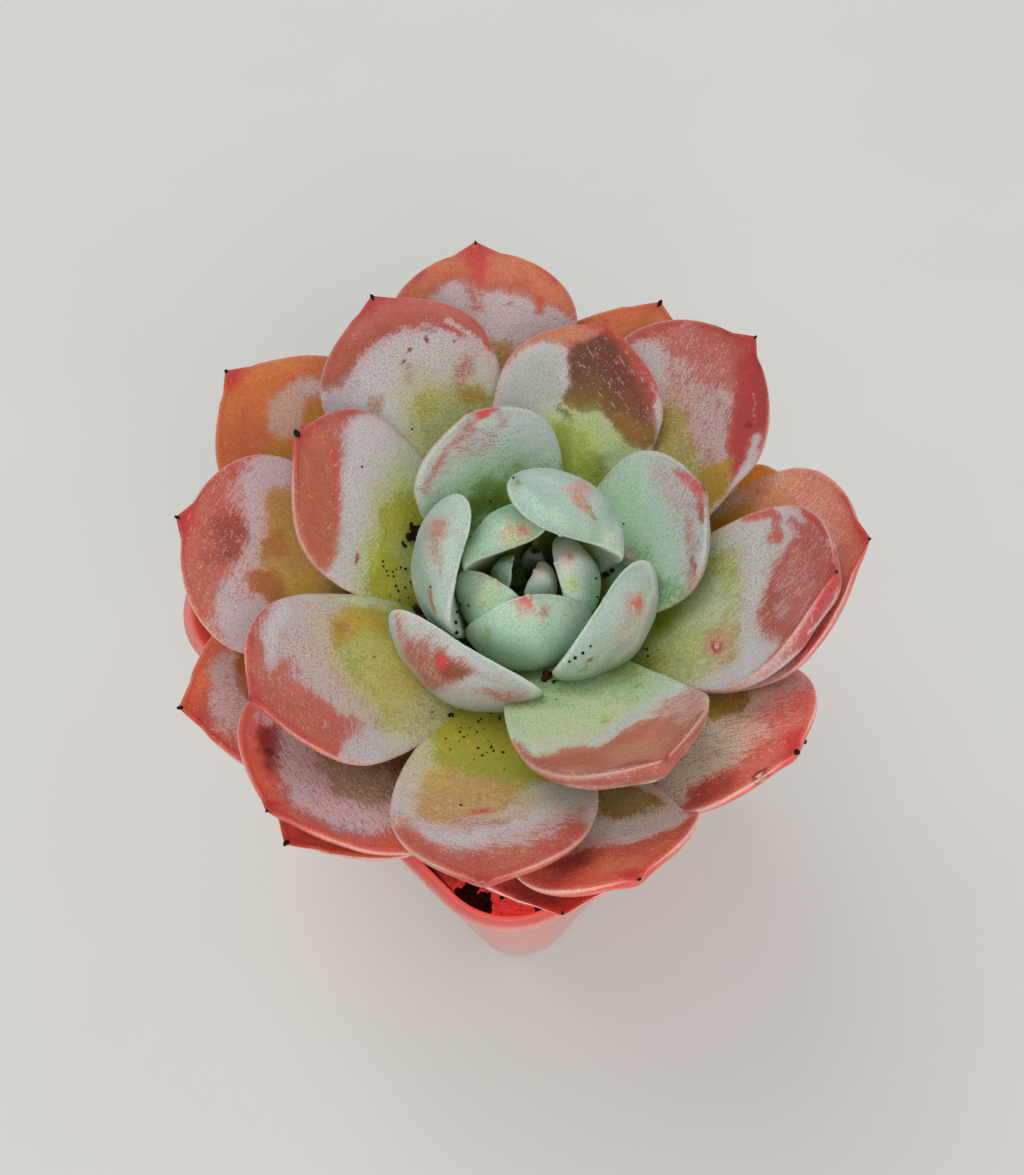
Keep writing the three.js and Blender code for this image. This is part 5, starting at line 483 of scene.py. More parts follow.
        ("f", 0.72, 1.5, 0.7, 0, 1, ((31.6, -0.8), (31.8, 1.4), (32.1, 3.5), (32.8, 5.4), (33.5, 7.5), (36.3, 6.5), (36.4, 4.0), (36.6, 1.5), (36.6, -1.0), (36.1, -3.4), (35.1, -5.2), (34.1, -7.0), (30.8, -9.0), (28.4, -7.4), (29.5, -5.2), (30.8, -3.0))),
    ],
    "base_leaf_right_front": [
        ("t", (176, 46, 48), 1, 1, 0, -1, ((36.5, 0.5), (38.9, 1.2), (40.6, -1.5), (38.3, -2.3))),
        ("f", 0.03, 1, 1, 0, -1, ((36.5, 0.5), (38.9, 1.2), (40.6, -1.5), (38.3, -2.3))),
    ],
    "outer_leaf_right": [
        ("t", (146, 150, 74), 2, 1, 0, 1, ((12.4, -7.9), (12.9, -5.0), (13.1, -2.0), (13.3, 1.2), (16.3, 1.6), (19.4, 2.0), (19.9, 4.1), (20.4, 6.0), (22.6, 8.7), (27.0, 8.8), (27.2, 6.1), (27.4, 3.4), (28.0, 0.5), (28.4, -2.3), (28.8, -5.0), (27.4, -7.0), (26.3, -9.1), (24.0, -9.8), (21.4, -10.3), (17.0, -9.1))),
        ("f", 0.4, 1.8, 1, 0, 1, ((12.4, -7.9), (12.9, -5.0), (13.1, -2.0), (13.3, 1.2), (16.3, 1.6), (19.4, 2.0), (19.9, 4.1), (20.4, 6.0), (22.6, 8.7), (27.0, 8.8), (27.2, 6.1), (27.4, 3.4), (28.0, 0.5), (28.4, -2.3), (28.8, -5.0), (27.4, -7.0), (26.3, -9.1), (24.0, -9.8), (21.4, -10.3), (17.0, -9.1))),
        ("t", (112, 118, 6), 1.2, 0.95, 0, 1, ((13.1, 0.9), (15.5, 0.9), (17.6, 0.9), (17.5, -2.4), (14.8, -3.8), (13.6, -6.5), (13.3, -2.7))),
        ("f", 0.04, 1, 1, 0, 1, ((13.1, 0.9), (15.5, 0.9), (17.6, 0.9), (17.5, -2.4), (14.8, -3.8), (13.6, -6.5), (13.3, -2.7))),
        ("t", (128, 128, 36), 1.4, 0.9, 0, 1, ((12.4, -7.4), (14.6, -6.4), (16.5, -5.2), (19.7, -5.7), (23.3, -6.5), (22.8, -9.4), (20.2, -9.4), (17.7, -9.4), (15.1, -8.4))),
        ("f", 0.14, 1.2, 0.9, 0, 1, ((12.4, -7.4), (14.6, -6.4), (16.5, -5.2), (19.7, -5.7), (23.3, -6.5), (22.6, -8.8), (20.2, -9.2), (17.7, -9.4), (15.1, -8.4))),
        ("f", 0.6, 1.2, 0.8, 0, 1, ((17.9, 1.9), (20.1, 2.4), (22.4, 2.8), (23.5, 0.6), (24.9, -1.7), (22.6, -2.1), (20.4, -2.6), (19.0, -0.4))),
        ("t", (170, 176, 150), 1.4, 0.7, 0, 1, ((19.2, 3.1), (21.6, 3.5), (23.8, 3.9), (26.8, 0.7), (25.3, -1.1), (23.6, -2.9), (19.4, -1.8), (19.2, 0.8))),
        ("t", (166, 126, 76), 1.2, 0.9, 0, 1, ((22.5, -3.6), (25.6, -3.2), (28.8, -2.8), (29.7, -5.2), (30.8, -7.6), (27.9, -8.7), (23.6, -7.4))),
        ("f", 0.32, 1, 0.9, 0, 1, ((22.5, -3.6), (25.6, -3.2), (28.8, -2.8), (29.7, -5.2), (30.8, -7.6), (27.9, -8.7), (23.6, -7.4))),
        ("w", 0.85, 1.2, 1, 0, 1, ((21.2, 0.2), (25.0, -1.1), (28.7, -2.3), (29.9, -5.6), (31.1, -8.9), (26.8, -8.2), (22.9, -7.8), (21.9, -3.9))),
        ("t", (162, 154, 150), 1.6, 0.95, 0, 1, ((21.4, 8.8), (23.6, 9.9), (25.7, 11.2), (29.4, 12.3), (32.6, 11.4), (35.7, 10.6), (37.2, 7.9), (34.1, 8.0), (33.5, 6.5), (31.5, 3.8), (31.4, 1.9), (31.4, -0.1), (30.6, -3.2), (34.5, -6.5), (38.9, -7.8), (38.1, -9.2), (37.0, -11.5), (32.5, -11.5), (28.8, -12.1), (25.9, -11.6), (23.2, -11.2), (25.4, -10.4), (27.4, -9.5), (30.2, -7.6), (29.5, -3.8), (28.7, -1.6), (28.0, 0.5), (27.9, 2.5), (28.0, 4.5), (27.0, 7.0), (24.3, 7.8))),
        ("f", 0.8, 1.3, 1, 0, 1, ((21.1, 8.9), (23.3, 10.2), (25.4, 11.6), (29.4, 12.5), (32.5, 11.8), (35.5, 11.0), (37.2, 8.2), (34.1, 8.1), (33.3, 6.5), (31.3, 3.9), (31.0, 2.0), (31.1, 0.0), (30.3, -3.1), (34.0, -6.2), (39.0, -8.0), (38.0, -9.3), (37.4, -11.9), (32.8, -11.8), (28.9, -12.4), (26.0, -11.8), (23.3, -11.5), (25.7, -10.7), (27.4, -9.5), (30.2, -7.6), (29.5, -3.8), (28.7, -1.6), (28.0, 0.5), (27.9, 2.5), (28.0, 4.5), (27.0, 7.0), (24.1, 8.0))),
        ("f", 0.95, 0.8, 0.9, 0, 1, ((25.0, -10.7), (27.2, -10.3), (30.2, -10.3), (30.8, -8.5), (31.8, -7.0), (31.3, -4.9), (34.6, -6.5), (38.7, -8.3), (38.2, -9.2), (35.5, -11.0), (32.0, -11.3), (28.7, -11.8))),
        ("t", (166, 78, 70), 1.2, 1, 0, 1, ((34.3, 10.5), (36.6, 9.1), (39.6, 7.0), (43.7, 2.6), (47.5, -2.3), (43.4, -1.5), (42.5, -2.7), (41.5, -4.9), (40.2, -6.8), (38.5, -8.8), (38.2, -7.6), (33.3, -5.3), (31.2, -2.2), (31.4, -0.1), (31.6, 2.1), (32.7, 4.6), (34.3, 6.2), (36.2, 7.0), (34.6, 8.7))),
        ("f", 0.24, 1, 1, 0, 1, ((34.6, 10.4), (36.6, 9.1), (39.6, 7.0), (43.7, 2.6), (47.5, -2.3), (43.4, -1.5), (42.5, -2.7), (41.5, -4.9), (40.2, -6.8), (38.5, -8.8), (38.6, -7.7), (33.8, -5.5), (31.3, -2.2), (31.5, -0.1), (31.8, 2.1), (33.0, 4.5), (34.5, 6.1), (36.4, 7.0), (34.8, 8.6))),
        ("t", (158, 46, 50), 0.9, 0.9, 0, -1, ((43.5, -1.3), (43.9, 0.7), (43.9, -0.9), (41.6, -1.1), (40.1, -3.4), (38.0, -5.3), (38.7, -8.2), (37.2, -9.9), (35.5, -10.7), (37.9, -9.3), (39.6, -7.5), (40.9, -5.7), (42.1, -3.6))),
        ("f", 0.05, 0.8, 0.95, 0, -1, ((43.5, -1.3), (43.9, 0.7), (43.9, -0.9), (41.6, -1.1), (40.1, -3.4), (38.0, -5.3), (38.7, -8.2), (37.2, -9.9), (35.5, -10.7), (37.9, -9.3), (39.6, -7.5), (40.9, -5.7), (42.1, -3.6))),
        ("t", (172, 96, 88), 1.2, 0.6, 0, 1, ((33.5, 4.7), (36.7, 5.7), (38.3, 3.2), (40.4, 0.3), (40.1, -2.2), (41.1, -5.4), (35.7, -3.8), (34.4, -0.7), (33.8, 2.0))),
        ("f", 0.42, 1, 0.7, 0, 1, ((33.1, 2.7), (36.0, 4.7), (36.5, 2.3), (37.5, -0.2), (37.3, -2.4), (37.3, -4.8), (33.8, -3.3), (33.2, -0.1))),
        ("t", (150, 70, 56), 1.2, 0.7, 0, 1, ((31.4, -0.1), (33.0, 2.8), (35.1, 0.4), (35.5, -2.3), (36.2, -5.2), (33.3, -4.5), (32.2, -2.3))),
        ("t", (178, 86, 76), 0.3, 0.9, 0.6, 1, ((29.0, 11.3), (30.9, 11.2))),
        ("f", 0.18, 0.35, 0.9, 0.6, 1, ((29.0, 11.3), (30.9, 11.2))),
        ("t", (178, 86, 76), 0.3, 0.9, 0.6, 1, ((30.9, 11.3), (32.6, 10.2))),
        ("f", 0.18, 0.35, 0.9, 0.6, 1, ((30.9, 11.3), (32.6, 10.2))),
        ("t", (178, 86, 76), 0.3, 0.9, 0.6, 1, ((32.1, 9.2), (33.1, 7.5))),
        ("f", 0.18, 0.35, 0.9, 0.6, 1, ((32.1, 9.2), (33.1, 7.5))),
        ("t", (178, 86, 76), 0.3, 0.9, 0.6, 1, ((31.8, 7.6), (33.1, 7.2))),
        ("f", 0.18, 0.35, 0.9, 0.6, 1, ((31.8, 7.6), (33.1, 7.2))),
        ("t", (178, 86, 76), 0.3, 0.9, 0.6, 1, ((27.4, 11.2), (29.0, 11.3))),
        ("f", 0.18, 0.35, 0.9, 0.6, 1, ((27.4, 11.2), (29.0, 11.3))),
        ("t", (150, 34, 40), 0.2, 1, 0.85, 1, ((25.4, -5.5),)),
        ("f", 0, 0.2, 1, 0.9, 1, ((25.4, -5.5),)),
        ("t", (216, 168, 158), 0.15, 1, 0.38, 1, ((25.6, -5.5),)),
        ("t", (190, 150, 80), 0.3, 0.6, 0.5, 1, ((23.3, -5.6),)),
        ("f", 0.9, 0.2, 0.8, 0.35, 1, ((23.1, -5.4),)),
        ("b", 1, 1.2, 1, 0, 1, ((24.9, 9.0), (29.0, 8.2), (33.1, 7.3), (37.5, 6.1), (42.6, 4.4), (43.1, 0.8), (42.8, -2.1), (41.6, -4.7), (40.1, -7.0), (38.2, -9.2), (33.4, -8.0), (28.1, -6.3), (26.7, -2.3), (25.8, 1.6), (25.3, 5.2))),
        ("p", 0.6, 1.2, 1, 0, 1, ((22.1, 8.2), (26.2, 8.7), (30.1, 9.2), (30.2, 6.2), (30.6, 3.0), (31.1, 0.0), (28.5, 0.5), (26.7, 3.4), (25.1, 6.3))),
        ("f", 0.92, 0.3, 0.85, 0.25, -1, ((35.2, 10.4), (38.6, 7.7), (40.3, 5.6), (42.3, 3.2), (44.7, -0.5), (41.4, -1.5), (40.6, -3.4), (40.5, -5.7))),
        ("x", (168, 176, 124), 4, 0.8, 0, 1, ((12.1, -0.4), (15.0, 0.3), (18.0, 0.9), (20.9, 1.6), (23.1, -2.2), (25.4, -5.9), (22.8, -7.1), (20.3, -8.3), (17.7, -9.4), (14.2, -9.2), (13.3, -5.0))),
        ("b", 1, 1, 1, 0, 1, ((19.9, 12.5), (24.6, 11.8), (29.7, 10.5), (34.6, 9.4), (35.5, 5.9), (36.6, 2.2), (38.9, -2.0), (35.3, -2.6), (32.2, -3.6), (29.4, -4.8), (26.5, -6.1), (24.5, -2.2), (22.9, 1.5), (21.8, 5.2), (20.7, 8.9))),
        ("t", (160, 164, 122), 2.5, 0.55, 0, 1, ((14.5, -3.6), (17.0, -1.6), (19.6, 0.4), (24.5, -0.3), (26.6, -3.3), (29.0, -6.4), (27.6, -8.3), (26.4, -10.2), (23.3, -10.7), (19.8, -11.0), (17.2, -7.4))),
        ("f", 0.48, 2.5, 0.6, 0, 1, ((14.5, -3.6), (17.0, -1.6), (19.6, 0.4), (24.5, -0.3), (26.6, -3.3), (29.0, -6.4), (27.6, -8.3), (26.4, -10.2), (23.3, -10.7), (19.8, -11.0), (17.2, -7.4))),
        ("t", (176, 120, 92), 1.2, 0.8, 0, 1, ((23.3, -6.5), (22.9, -3.1), (25.7, -2.9), (27.5, -5.6), (26.7, -7.6))),
        ("f", 0.3, 1.2, 0.7, 0, 1, ((23.3, -6.5), (22.9, -3.1), (25.7, -2.9), (27.5, -5.6), (26.7, -7.6))),
        ("t", (150, 34, 40), 0.2, 1, 0.85, 1, ((25.4, -5.5),)),
        ("f", 0, 0.2, 1, 0.9, 1, ((25.4, -5.5),)),
        ("t", (216, 168, 158), 0.15, 1, 0.38, 1, ((25.6, -5.5),)),
    ],
    "lower_leaf_right": [
        ("t", (178, 142, 92), 1.4, 1, 0, 1, ((20.4, 8.4), (21.4, 10.7), (22.4, 13.0), (24.6, 14.1), (26.8, 15.2), (29.1, 15.4), (31.4, 15.5), (33.7, 15.1), (36.0, 14.5), (35.8, 12.2), (35.4, 9.9), (33.2, 10.4), (30.9, 10.8), (28.3, 10.3), (25.6, 9.7), (22.0, 8.0))),
        ("f", 0.3, 1.2, 1, 0, 1, ((20.4, 8.4), (21.4, 10.7), (22.4, 13.0), (24.6, 14.1), (26.8, 15.2), (29.1, 15.4), (31.4, 15.5), (33.7, 15.1), (36.0, 14.5), (35.8, 12.2), (35.4, 9.9), (33.2, 10.4), (30.9, 10.8), (28.3, 10.3), (25.6, 9.7), (22.0, 8.0))),
        ("t", (192, 164, 124), 1, 0.9, 0, 1, ((22.4, 13.6), (24.6, 14.1), (26.8, 14.6), (31.1, 14.4), (34.8, 13.8), (32.8, 13.2), (29.0, 12.9), (26.4, 12.7), (23.8, 12.3))),
        ("f", 0.5, 0.9, 0.9, 0, 1, ((22.4, 13.6), (24.6, 14.1), (26.8, 14.6), (31.1, 14.4), (34.8, 13.8), (32.8, 13.2), (29.0, 12.9), (26.4, 12.7), (23.8, 12.3))),
        ("t", (164, 116, 28), 0.9, 0.95, 0, 1, ((21.7, 11.1), (24.0, 11.7), (26.3, 12.0), (28.6, 12.0), (31.1, 11.8), (34.2, 9.6), (32.0, 10.0), (29.7, 10.2), (25.6, 9.7), (23.7, 9.0), (21.7, 8.1))),
        ("f", 0.05, 0.8, 1, 0, 1, ((21.7, 11.1), (24.0, 11.7), (26.3, 12.0), (28.6, 12.0), (31.1, 11.8), (34.2, 9.6), (32.0, 10.0), (29.7, 10.2), (25.6, 9.7), (23.7, 9.0), (21.7, 8.1))),
        ("t", (184, 112, 62), 1, 0.9, 0, 1, ((28.7, 14.1), (31.5, 13.4), (34.4, 12.5), (34.9, 9.3), (30.9, 10.8))),
        ("f", 0.14, 0.9, 0.9, 0, 1, ((28.7, 14.1), (31.5, 13.4), (34.4, 12.5), (34.9, 9.3), (30.9, 10.8))),
        ("w", 0.7, 1, 1, 0, 1, ((28.3, 14.7), (32.2, 13.7), (36.0, 12.5), (35.3, 8.9), (32.5, 10.0), (29.5, 11.0))),
        ("t", (190, 104, 84), 1.3, 1, 0, 1, ((34.6, 14.4), (37.2, 13.2), (39.6, 12.0), (41.2, 9.5), (42.7, 7.1), (43.7, 4.7), (45.2, 2.0), (42.1, 2.8), (39.8, 2.9), (36.7, 6.3), (35.1, 9.2), (34.9, 11.8))),
        ("f", 0.34, 1.2, 1, 0, 1, ((34.6, 14.4), (37.2, 13.2), (39.6, 12.0), (41.2, 9.5), (42.7, 7.1), (43.7, 4.7), (45.2, 2.0), (42.1, 2.8), (39.8, 2.9), (36.7, 6.3), (35.1, 9.2), (34.9, 11.8))),
        ("f", 0.7, 1, 0.9, 0, 1, ((35.4, 9.7), (38.3, 8.0), (40.4, 3.7), (40.1, 0.6), (38.7, 3.1), (37.4, 5.4))),
        ("t", (170, 124, 118), 1, 0.8, 0, 1, ((35.4, 9.7), (38.3, 8.0), (40.4, 3.7), (40.1, 0.6), (38.7, 3.1), (37.4, 5.4))),
        ("t", (180, 68, 62), 1.1, 1, 0, 1, ((41.3, 8.9), (44.7, 5.2), (46.4, 1.8), (47.5, -1.1), (47.9, -5.2), (46.1, -7.6), (45.9, -11.3), (42.7, -12.0), (40.5, -13.6), (38.7, -15.5), (36.7, -12.3), (38.2, -10.0), (40.0, -7.9), (40.3, -5.8), (41.0, -3.9), (40.7, -1.6), (40.3, 0.6), (42.0, 2.0), (41.7, 5.3))),
        ("f", 0.12, 1, 1, 0, 1, ((41.3, 8.9), (44.7, 5.2), (46.4, 1.8), (47.5, -1.1), (47.9, -5.2), (46.1, -7.6), (45.9, -11.3), (42.7, -12.0), (40.5, -13.6), (38.7, -15.5), (36.7, -12.3), (38.2, -10.0), (40.0, -7.9), (40.3, -5.8), (41.0, -3.9), (40.7, -1.6), (40.3, 0.6), (42.0, 2.0), (41.7, 5.3))),
        ("t", (178, 44, 50), 0.9, 0.85, 0, 1, ((43.1, 2.2), (47.0, -0.6), (45.7, -2.0), (43.2, 0.2))),
        ("t", (110, 34, 34), 0.9, 0.8, 0, 1, ((39.4, 2.0), (41.4, 1.3), (41.3, -1.8), (40.1, -3.6), (39.6, -0.7))),
        ("b", 1, 1, 1, 0, 1, ((34.6, 13.8), (37.4, 11.3), (40.3, 8.9), (43.3, 6.3), (41.9, 4.4), (41.0, 2.1), (38.1, 4.7), (35.1, 7.3), (34.8, 10.5))),
        ("p", 0.8, 1, 1, 0, 1, ((35.4, 9.9), (38.7, 7.9), (42.1, 5.6), (41.5, 2.7), (41.3, -0.4), (41.5, -3.9), (39.4, 0.6), (38.1, 4.7), (36.7, 7.3))),
        ("f", 0.85, 0.3, 0.7, 0.3, 1, ((41.4, -6.5), (40.4, -8.1), (39.3, -9.4), (38.5, -11.3), (37.7, -13.1))),
        ("x", (200, 166, 150), 2, 0.85, 0, 1, ((26.9, 16.0), (30.3, 15.9), (33.8, 15.6), (37.4, 15.0), (41.3, 14.0), (41.9, 10.7), (42.4, 7.4), (43.4, 3.9), (44.2, 0.6), (41.2, -0.9), (38.2, -2.5), (35.2, -4.2), (33.0, -0.6), (30.9, 3.1), (29.2, 6.5), (28.3, 9.7), (27.6, 12.8))),
        ("t", (184, 122, 102), 2, 0.6, 0, 1, ((26.9, 16.0), (30.3, 15.9), (33.8, 15.6), (37.4, 15.0), (41.3, 14.0), (42.3, 10.4), (43.5, 6.8), (44.8, 3.1), (45.9, -0.1), (46.6, -5.1), (45.2, -8.0), (44.7, -11.7), (38.4, -8.4), (34.0, -6.7), (32.0, -2.1), (30.4, 2.4), (29.2, 6.5), (28.3, 9.7), (27.6, 12.8))),
        ("f", 0.35, 2, 0.35, 0, 1, ((26.9, 16.0), (30.3, 15.9), (33.8, 15.6), (37.4, 15.0), (41.3, 14.0), (42.3, 10.4), (43.5, 6.8), (44.8, 3.1), (45.9, -0.1), (46.6, -5.1), (45.2, -8.0), (44.7, -11.7), (38.4, -8.4), (34.0, -6.7), (32.0, -2.1), (30.4, 2.4), (29.2, 6.5), (28.3, 9.7), (27.6, 12.8))),
    ],
    "base_leaf_right": [
        ("t", (178, 118, 38), 1, 1, 0, 1, ((31.4, 11.4), (35.1, 9.0), (38.7, 6.5), (37.4, 4.4), (35.0, 5.4), (32.3, 6.5), (29.7, 7.4))),
        ("f", 0.04, 1, 1, 0, 1, ((31.4, 11.4), (35.1, 9.0), (38.7, 6.5), (37.4, 4.4), (35.0, 5.4), (32.3, 6.5), (29.7, 7.4))),
        ("t", (190, 110, 58), 1, 0.8, 0, 1, ((33.1, 10.0), (35.5, 8.2), (37.8, 6.4), (36.7, 5.9), (35.0, 7.2), (33.2, 8.4))),
    ],
    "base_leaf_back": [
        ("t", (190, 108, 62), 1.2, 1, 0, 1, ((39.0, 10.1), (41.8, 7.1), (44.8, 4.2), (47.7, 1.3), (48.0, -2.6), (44.6, -4.1), (42.7, -1.8), (40.7, 0.5), (38.8, 2.7), (38.8, 6.4))),
        ("f", 0.03, 1, 1, 0, 1, ((39.0, 10.1), (41.8, 7.1), (44.8, 4.2), (47.7, 1.3), (48.0, -2.6), (44.6, -4.1), (42.7, -1.8), (40.7, 0.5), (38.8, 2.7), (38.8, 6.4))),
        ("t", (196, 96, 70), 1, 0.6, 0, 1, ((41.3, 7.1), (44.1, 4.0), (46.9, 1.0), (46.2, -0.2), (43.4, 2.5), (40.7, 5.2))),
    ],
    "outer_leaf_right_back": [
        ("t", (166, 74, 64), 1.2, 1, 0, 1, ((33.5, 14.0), (35.7, 13.7), (37.8, 13.4), (39.7, 11.7), (41.6, 9.9), (42.8, 7.4), (44.1, 5.1), (45.3, 2.4), (46.5, 0.1), (44.6, -5.4), (42.7, -10.0), (40.2, -11.7), (37.6, -13.8), (34.7, -12.1), (32.6, -12.9), (30.5, -14.1), (28.6, -14.0), (30.2, -10.5), (31.7, -8.6), (33.3, -6.6), (35.2, -5.2), (37.0, -3.9), (38.4, -2.0), (39.6, 0.2), (38.5, 4.3), (37.7, 7.2), (37.0, 9.3), (36.1, 11.4))),
        ("f", 0.12, 1, 1, 0, 1, ((33.5, 14.0), (35.7, 13.7), (37.8, 13.4), (39.7, 11.7), (41.6, 9.9), (42.8, 7.4), (44.1, 5.1), (45.3, 2.4), (46.5, 0.1), (44.6, -5.4), (42.7, -10.0), (40.2, -11.7), (37.6, -13.8), (34.7, -12.1), (32.6, -12.9), (30.5, -14.1), (28.6, -14.0), (30.4, -10.7), (31.9, -8.9), (33.5, -6.9), (35.2, -5.4), (37.1, -4.1), (38.4, -2.0), (39.8, 0.0), (38.5, 4.3), (37.7, 7.2), (37.0, 9.3), (36.1, 11.4))),
        ("t", (164, 52, 54), 1.2, 0.9, 0, 1, ((41.1, -0.2), (44.8, -1.1), (43.2, -5.0), (41.8, -8.8), (40.1, -10.7), (38.2, -12.5), (34.8, -11.3), (32.8, -12.6), (30.6, -13.5), (29.2, -13.1), (31.9, -9.1), (34.9, -6.2), (37.0, -5.2), (38.7, -4.0))),
        ("f", 0.04, 1, 1, 0, 1, ((41.3, -0.4), (44.8, -1.1), (43.2, -5.0), (41.8, -8.8), (40.1, -10.7), (38.2, -12.5), (34.8, -11.3), (32.8, -12.6), (30.6, -13.5), (29.2, -13.1), (32.1, -9.3), (35.1, -6.5), (37.0, -5.4), (38.9, -4.2))),
        ("t", (180, 110, 98), 1, 0.7, 0, 1, ((36.8, 11.7), (38.7, 10.0), (40.6, 8.2), (40.8, 5.5), (37.7, 7.2), (36.4, 9.9))),
        ("f", 0.36, 1, 0.8, 0, 1, ((37.0, 11.9), (38.9, 10.0), (40.6, 8.2), (40.8, 5.5), (37.5, 7.1), (36.4, 9.9))),
        ("t", (156, 90, 80), 1.4, 1, 0, 1, ((34.5, 12.2), (36.6, 10.0), (36.1, 7.3), (37.1, 5.6), (38.4, 3.6), (39.1, -0.2), (37.0, -3.9), (35.2, -5.4), (33.5, -6.9), (31.5, -8.9), (29.4, -10.8), (27.4, -7.5), (29.3, -3.1), (30.2, 0.9), (31.0, 4.8), (32.9, 8.0), (33.8, 10.1))),
        ("f", 0.58, 1.2, 1, 0, 1, ((34.5, 12.2), (36.6, 10.0), (36.1, 7.3), (37.1, 5.6), (38.4, 3.6), (39.1, -0.2), (36.8, -3.7), (35.2, -5.2), (33.5, -6.9), (31.4, -8.8), (29.3, -10.7), (27.4, -7.5), (29.3, -3.1), (30.2, 0.9), (31.0, 4.8), (32.9, 8.0), (33.8, 10.1))),
        ("f", 0.78, 1, 0.9, 0, 1, ((34.2, 12.5), (36.6, 9.7), (34.5, 6.6), (32.8, 5.3), (31.0, 4.3), (32.3, 7.7), (33.3, 10.1))),
        ("t", (172, 158, 146), 1.2, 0.8, 0, 1, ((34.2, 12.5), (36.6, 9.7), (34.5, 6.6), (32.8, 5.3), (31.0, 4.3), (32.3, 7.7), (33.3, 10.1))),
        ("f", 0.72, 1.2, 0.8, 0, 1, ((34.4, 0.0), (35.2, -4.1), (33.1, -6.4), (31.0, -8.8), (29.3, -5.9), (31.9, -2.9))),
        ("t", (150, 130, 54), 1.4, 1, 0, 1, ((29.1, 4.5), (31.0, 3.7), (33.1, 2.9), (31.2, -0.6), (29.5, -3.4), (27.6, -7.8), (29.3, -10.7), (28.3, -13.9), (24.8, -13.3), (25.3, -9.4), (25.1, -6.2), (25.0, -3.0), (23.7, -0.5), (26.5, 2.0))),
        ("f", 0.3, 1.2, 1, 0, 1, ((29.1, 4.5), (31.0, 3.7), (33.1, 2.9), (31.2, -0.6), (29.5, -3.4), (27.6, -7.8), (29.3, -10.7), (28.3, -13.9), (24.8, -13.3), (25.3, -9.4), (25.1, -6.2), (25.0, -3.0), (23.7, -0.5), (26.5, 2.0))),
        ("t", (160, 124, 38), 1, 0.9, 0, 1, ((27.4, -7.5), (30.4, -10.9), (27.2, -13.8), (24.0, -13.0), (25.6, -10.4))),
        ("f", 0.1, 0.9, 0.9, 0, 1, ((27.0, -7.7), (30.2, -11.1), (27.2, -13.8), (24.0, -13.0), (25.6, -10.3))),
        ("w", 0.8, 1.2, 1, 0, 1, ((33.5, 6.1), (34.9, 4.2), (36.4, 2.2), (34.7, -0.6), (33.0, -3.1), (31.0, -5.9), (27.9, -8.0), (24.6, -9.9), (25.1, -5.1), (25.8, -0.3), (28.4, 1.7), (31.0, 4.0))),
        ("p", 0.95, 1.2, 1, 0, 1, ((35.7, 7.3), (37.5, 3.8), (39.4, 0.0), (37.1, -2.6), (34.7, -5.2), (32.3, -7.9), (30.9, -5.6), (29.3, -3.1), (30.7, 0.0), (32.0, 3.3), (33.8, 5.3))),
        ("t", (176, 116, 56), 0.8, 0.8, 0, 1, ((32.8, 6.1), (34.0, 4.9), (32.1, 2.9), (30.9, 3.9))),
        ("f", 0.95, 0.4, 0.95, 0.65, 1, ((35.6, -12.2), (33.3, -13.4), (30.0, -14.3), (27.4, -14.7))),
        ("t", (196, 170, 166), 0.5, 0.8, 0.6, 1, ((35.6, -12.2), (33.3, -13.4), (30.0, -14.3), (27.4, -14.7))),
        ("t", (176, 90, 80), 0.3, 0.6, 0.3, 1, ((33.7, -12.0), (30.9, -13.5))),
        ("t", (140, 24, 34), 0.15, 1, 0.55, 1, ((36.1, -9.2),)),
        ("t", (210, 150, 140), 0.1, 1, 0.22, 1, ((36.1, -9.2),)),
        ("f", 0, 0.15, 1, 0.6, 1, ((36.1, -9.2),)),
        ("f", 0.9, 0.12, 0.8, 0.16, 1, ((39.8, -6.6), (36.6, -10.3))),
        ("t", (120, 80, 40), 0.2, 0.8, 0.4, 1, ((34.0, 12.4),)),
        ("p", 0.55, 1.2, 1, 0, 1, ((35.4, 12.5), (37.5, 9.7), (39.8, 6.7), (42.0, 3.8), (39.6, 1.3), (37.1, -1.6), (34.5, -4.5), (31.9, -7.4), (29.9, -4.0), (27.9, -1.1), (26.0, 1.9), (28.4, 4.8), (30.9, 7.4), (33.1, 9.9))),
        ("t", (172, 92, 82), 1.5, 0.8, 0, 1, ((37.1, 11.3), (38.9, 9.8), (40.6, 8.2), (41.5, 5.3), (42.4, 2.3), (40.5, 0.2), (38.5, -2.2), (35.4, 0.0), (36.4, 4.0), (36.1, 6.3), (35.7, 8.5))),
        ("f", 0.22, 1.2, 0.85, 0, 1, ((37.3, 10.7), (38.9, 9.3), (40.5, 8.0), (41.5, 5.2), (42.4, 2.2), (40.5, -0.2), (38.2, -2.5), (35.6, -0.3), (36.6, 4.2), (36.4, 8.5))),
        ("b", 1, 1, 1, 0, 1, ((37.5, 11.7), (39.4, 8.6), (41.3, 5.5), (43.4, 2.0), (40.8, -0.8), (38.2, -3.9), (35.4, -6.9), (33.0, -4.5), (30.4, -2.0), (32.3, 1.7), (34.2, 5.3), (35.9, 8.7))),
        ("f", 0.62, 1.2, 0.7, 0, 1, ((35.9, 1.6), (38.0, -2.2), (35.7, -4.4), (33.3, -6.6), (32.3, -3.4), (34.2, -0.9))),
        ("t", (150, 104, 84), 1.2, 0.6, 0, 1, ((35.9, 1.6), (38.0, -2.2), (35.7, -4.4), (33.3, -6.6), (32.3, -3.4), (34.2, -0.9))),
    ],
    "middle_leaf_right": [
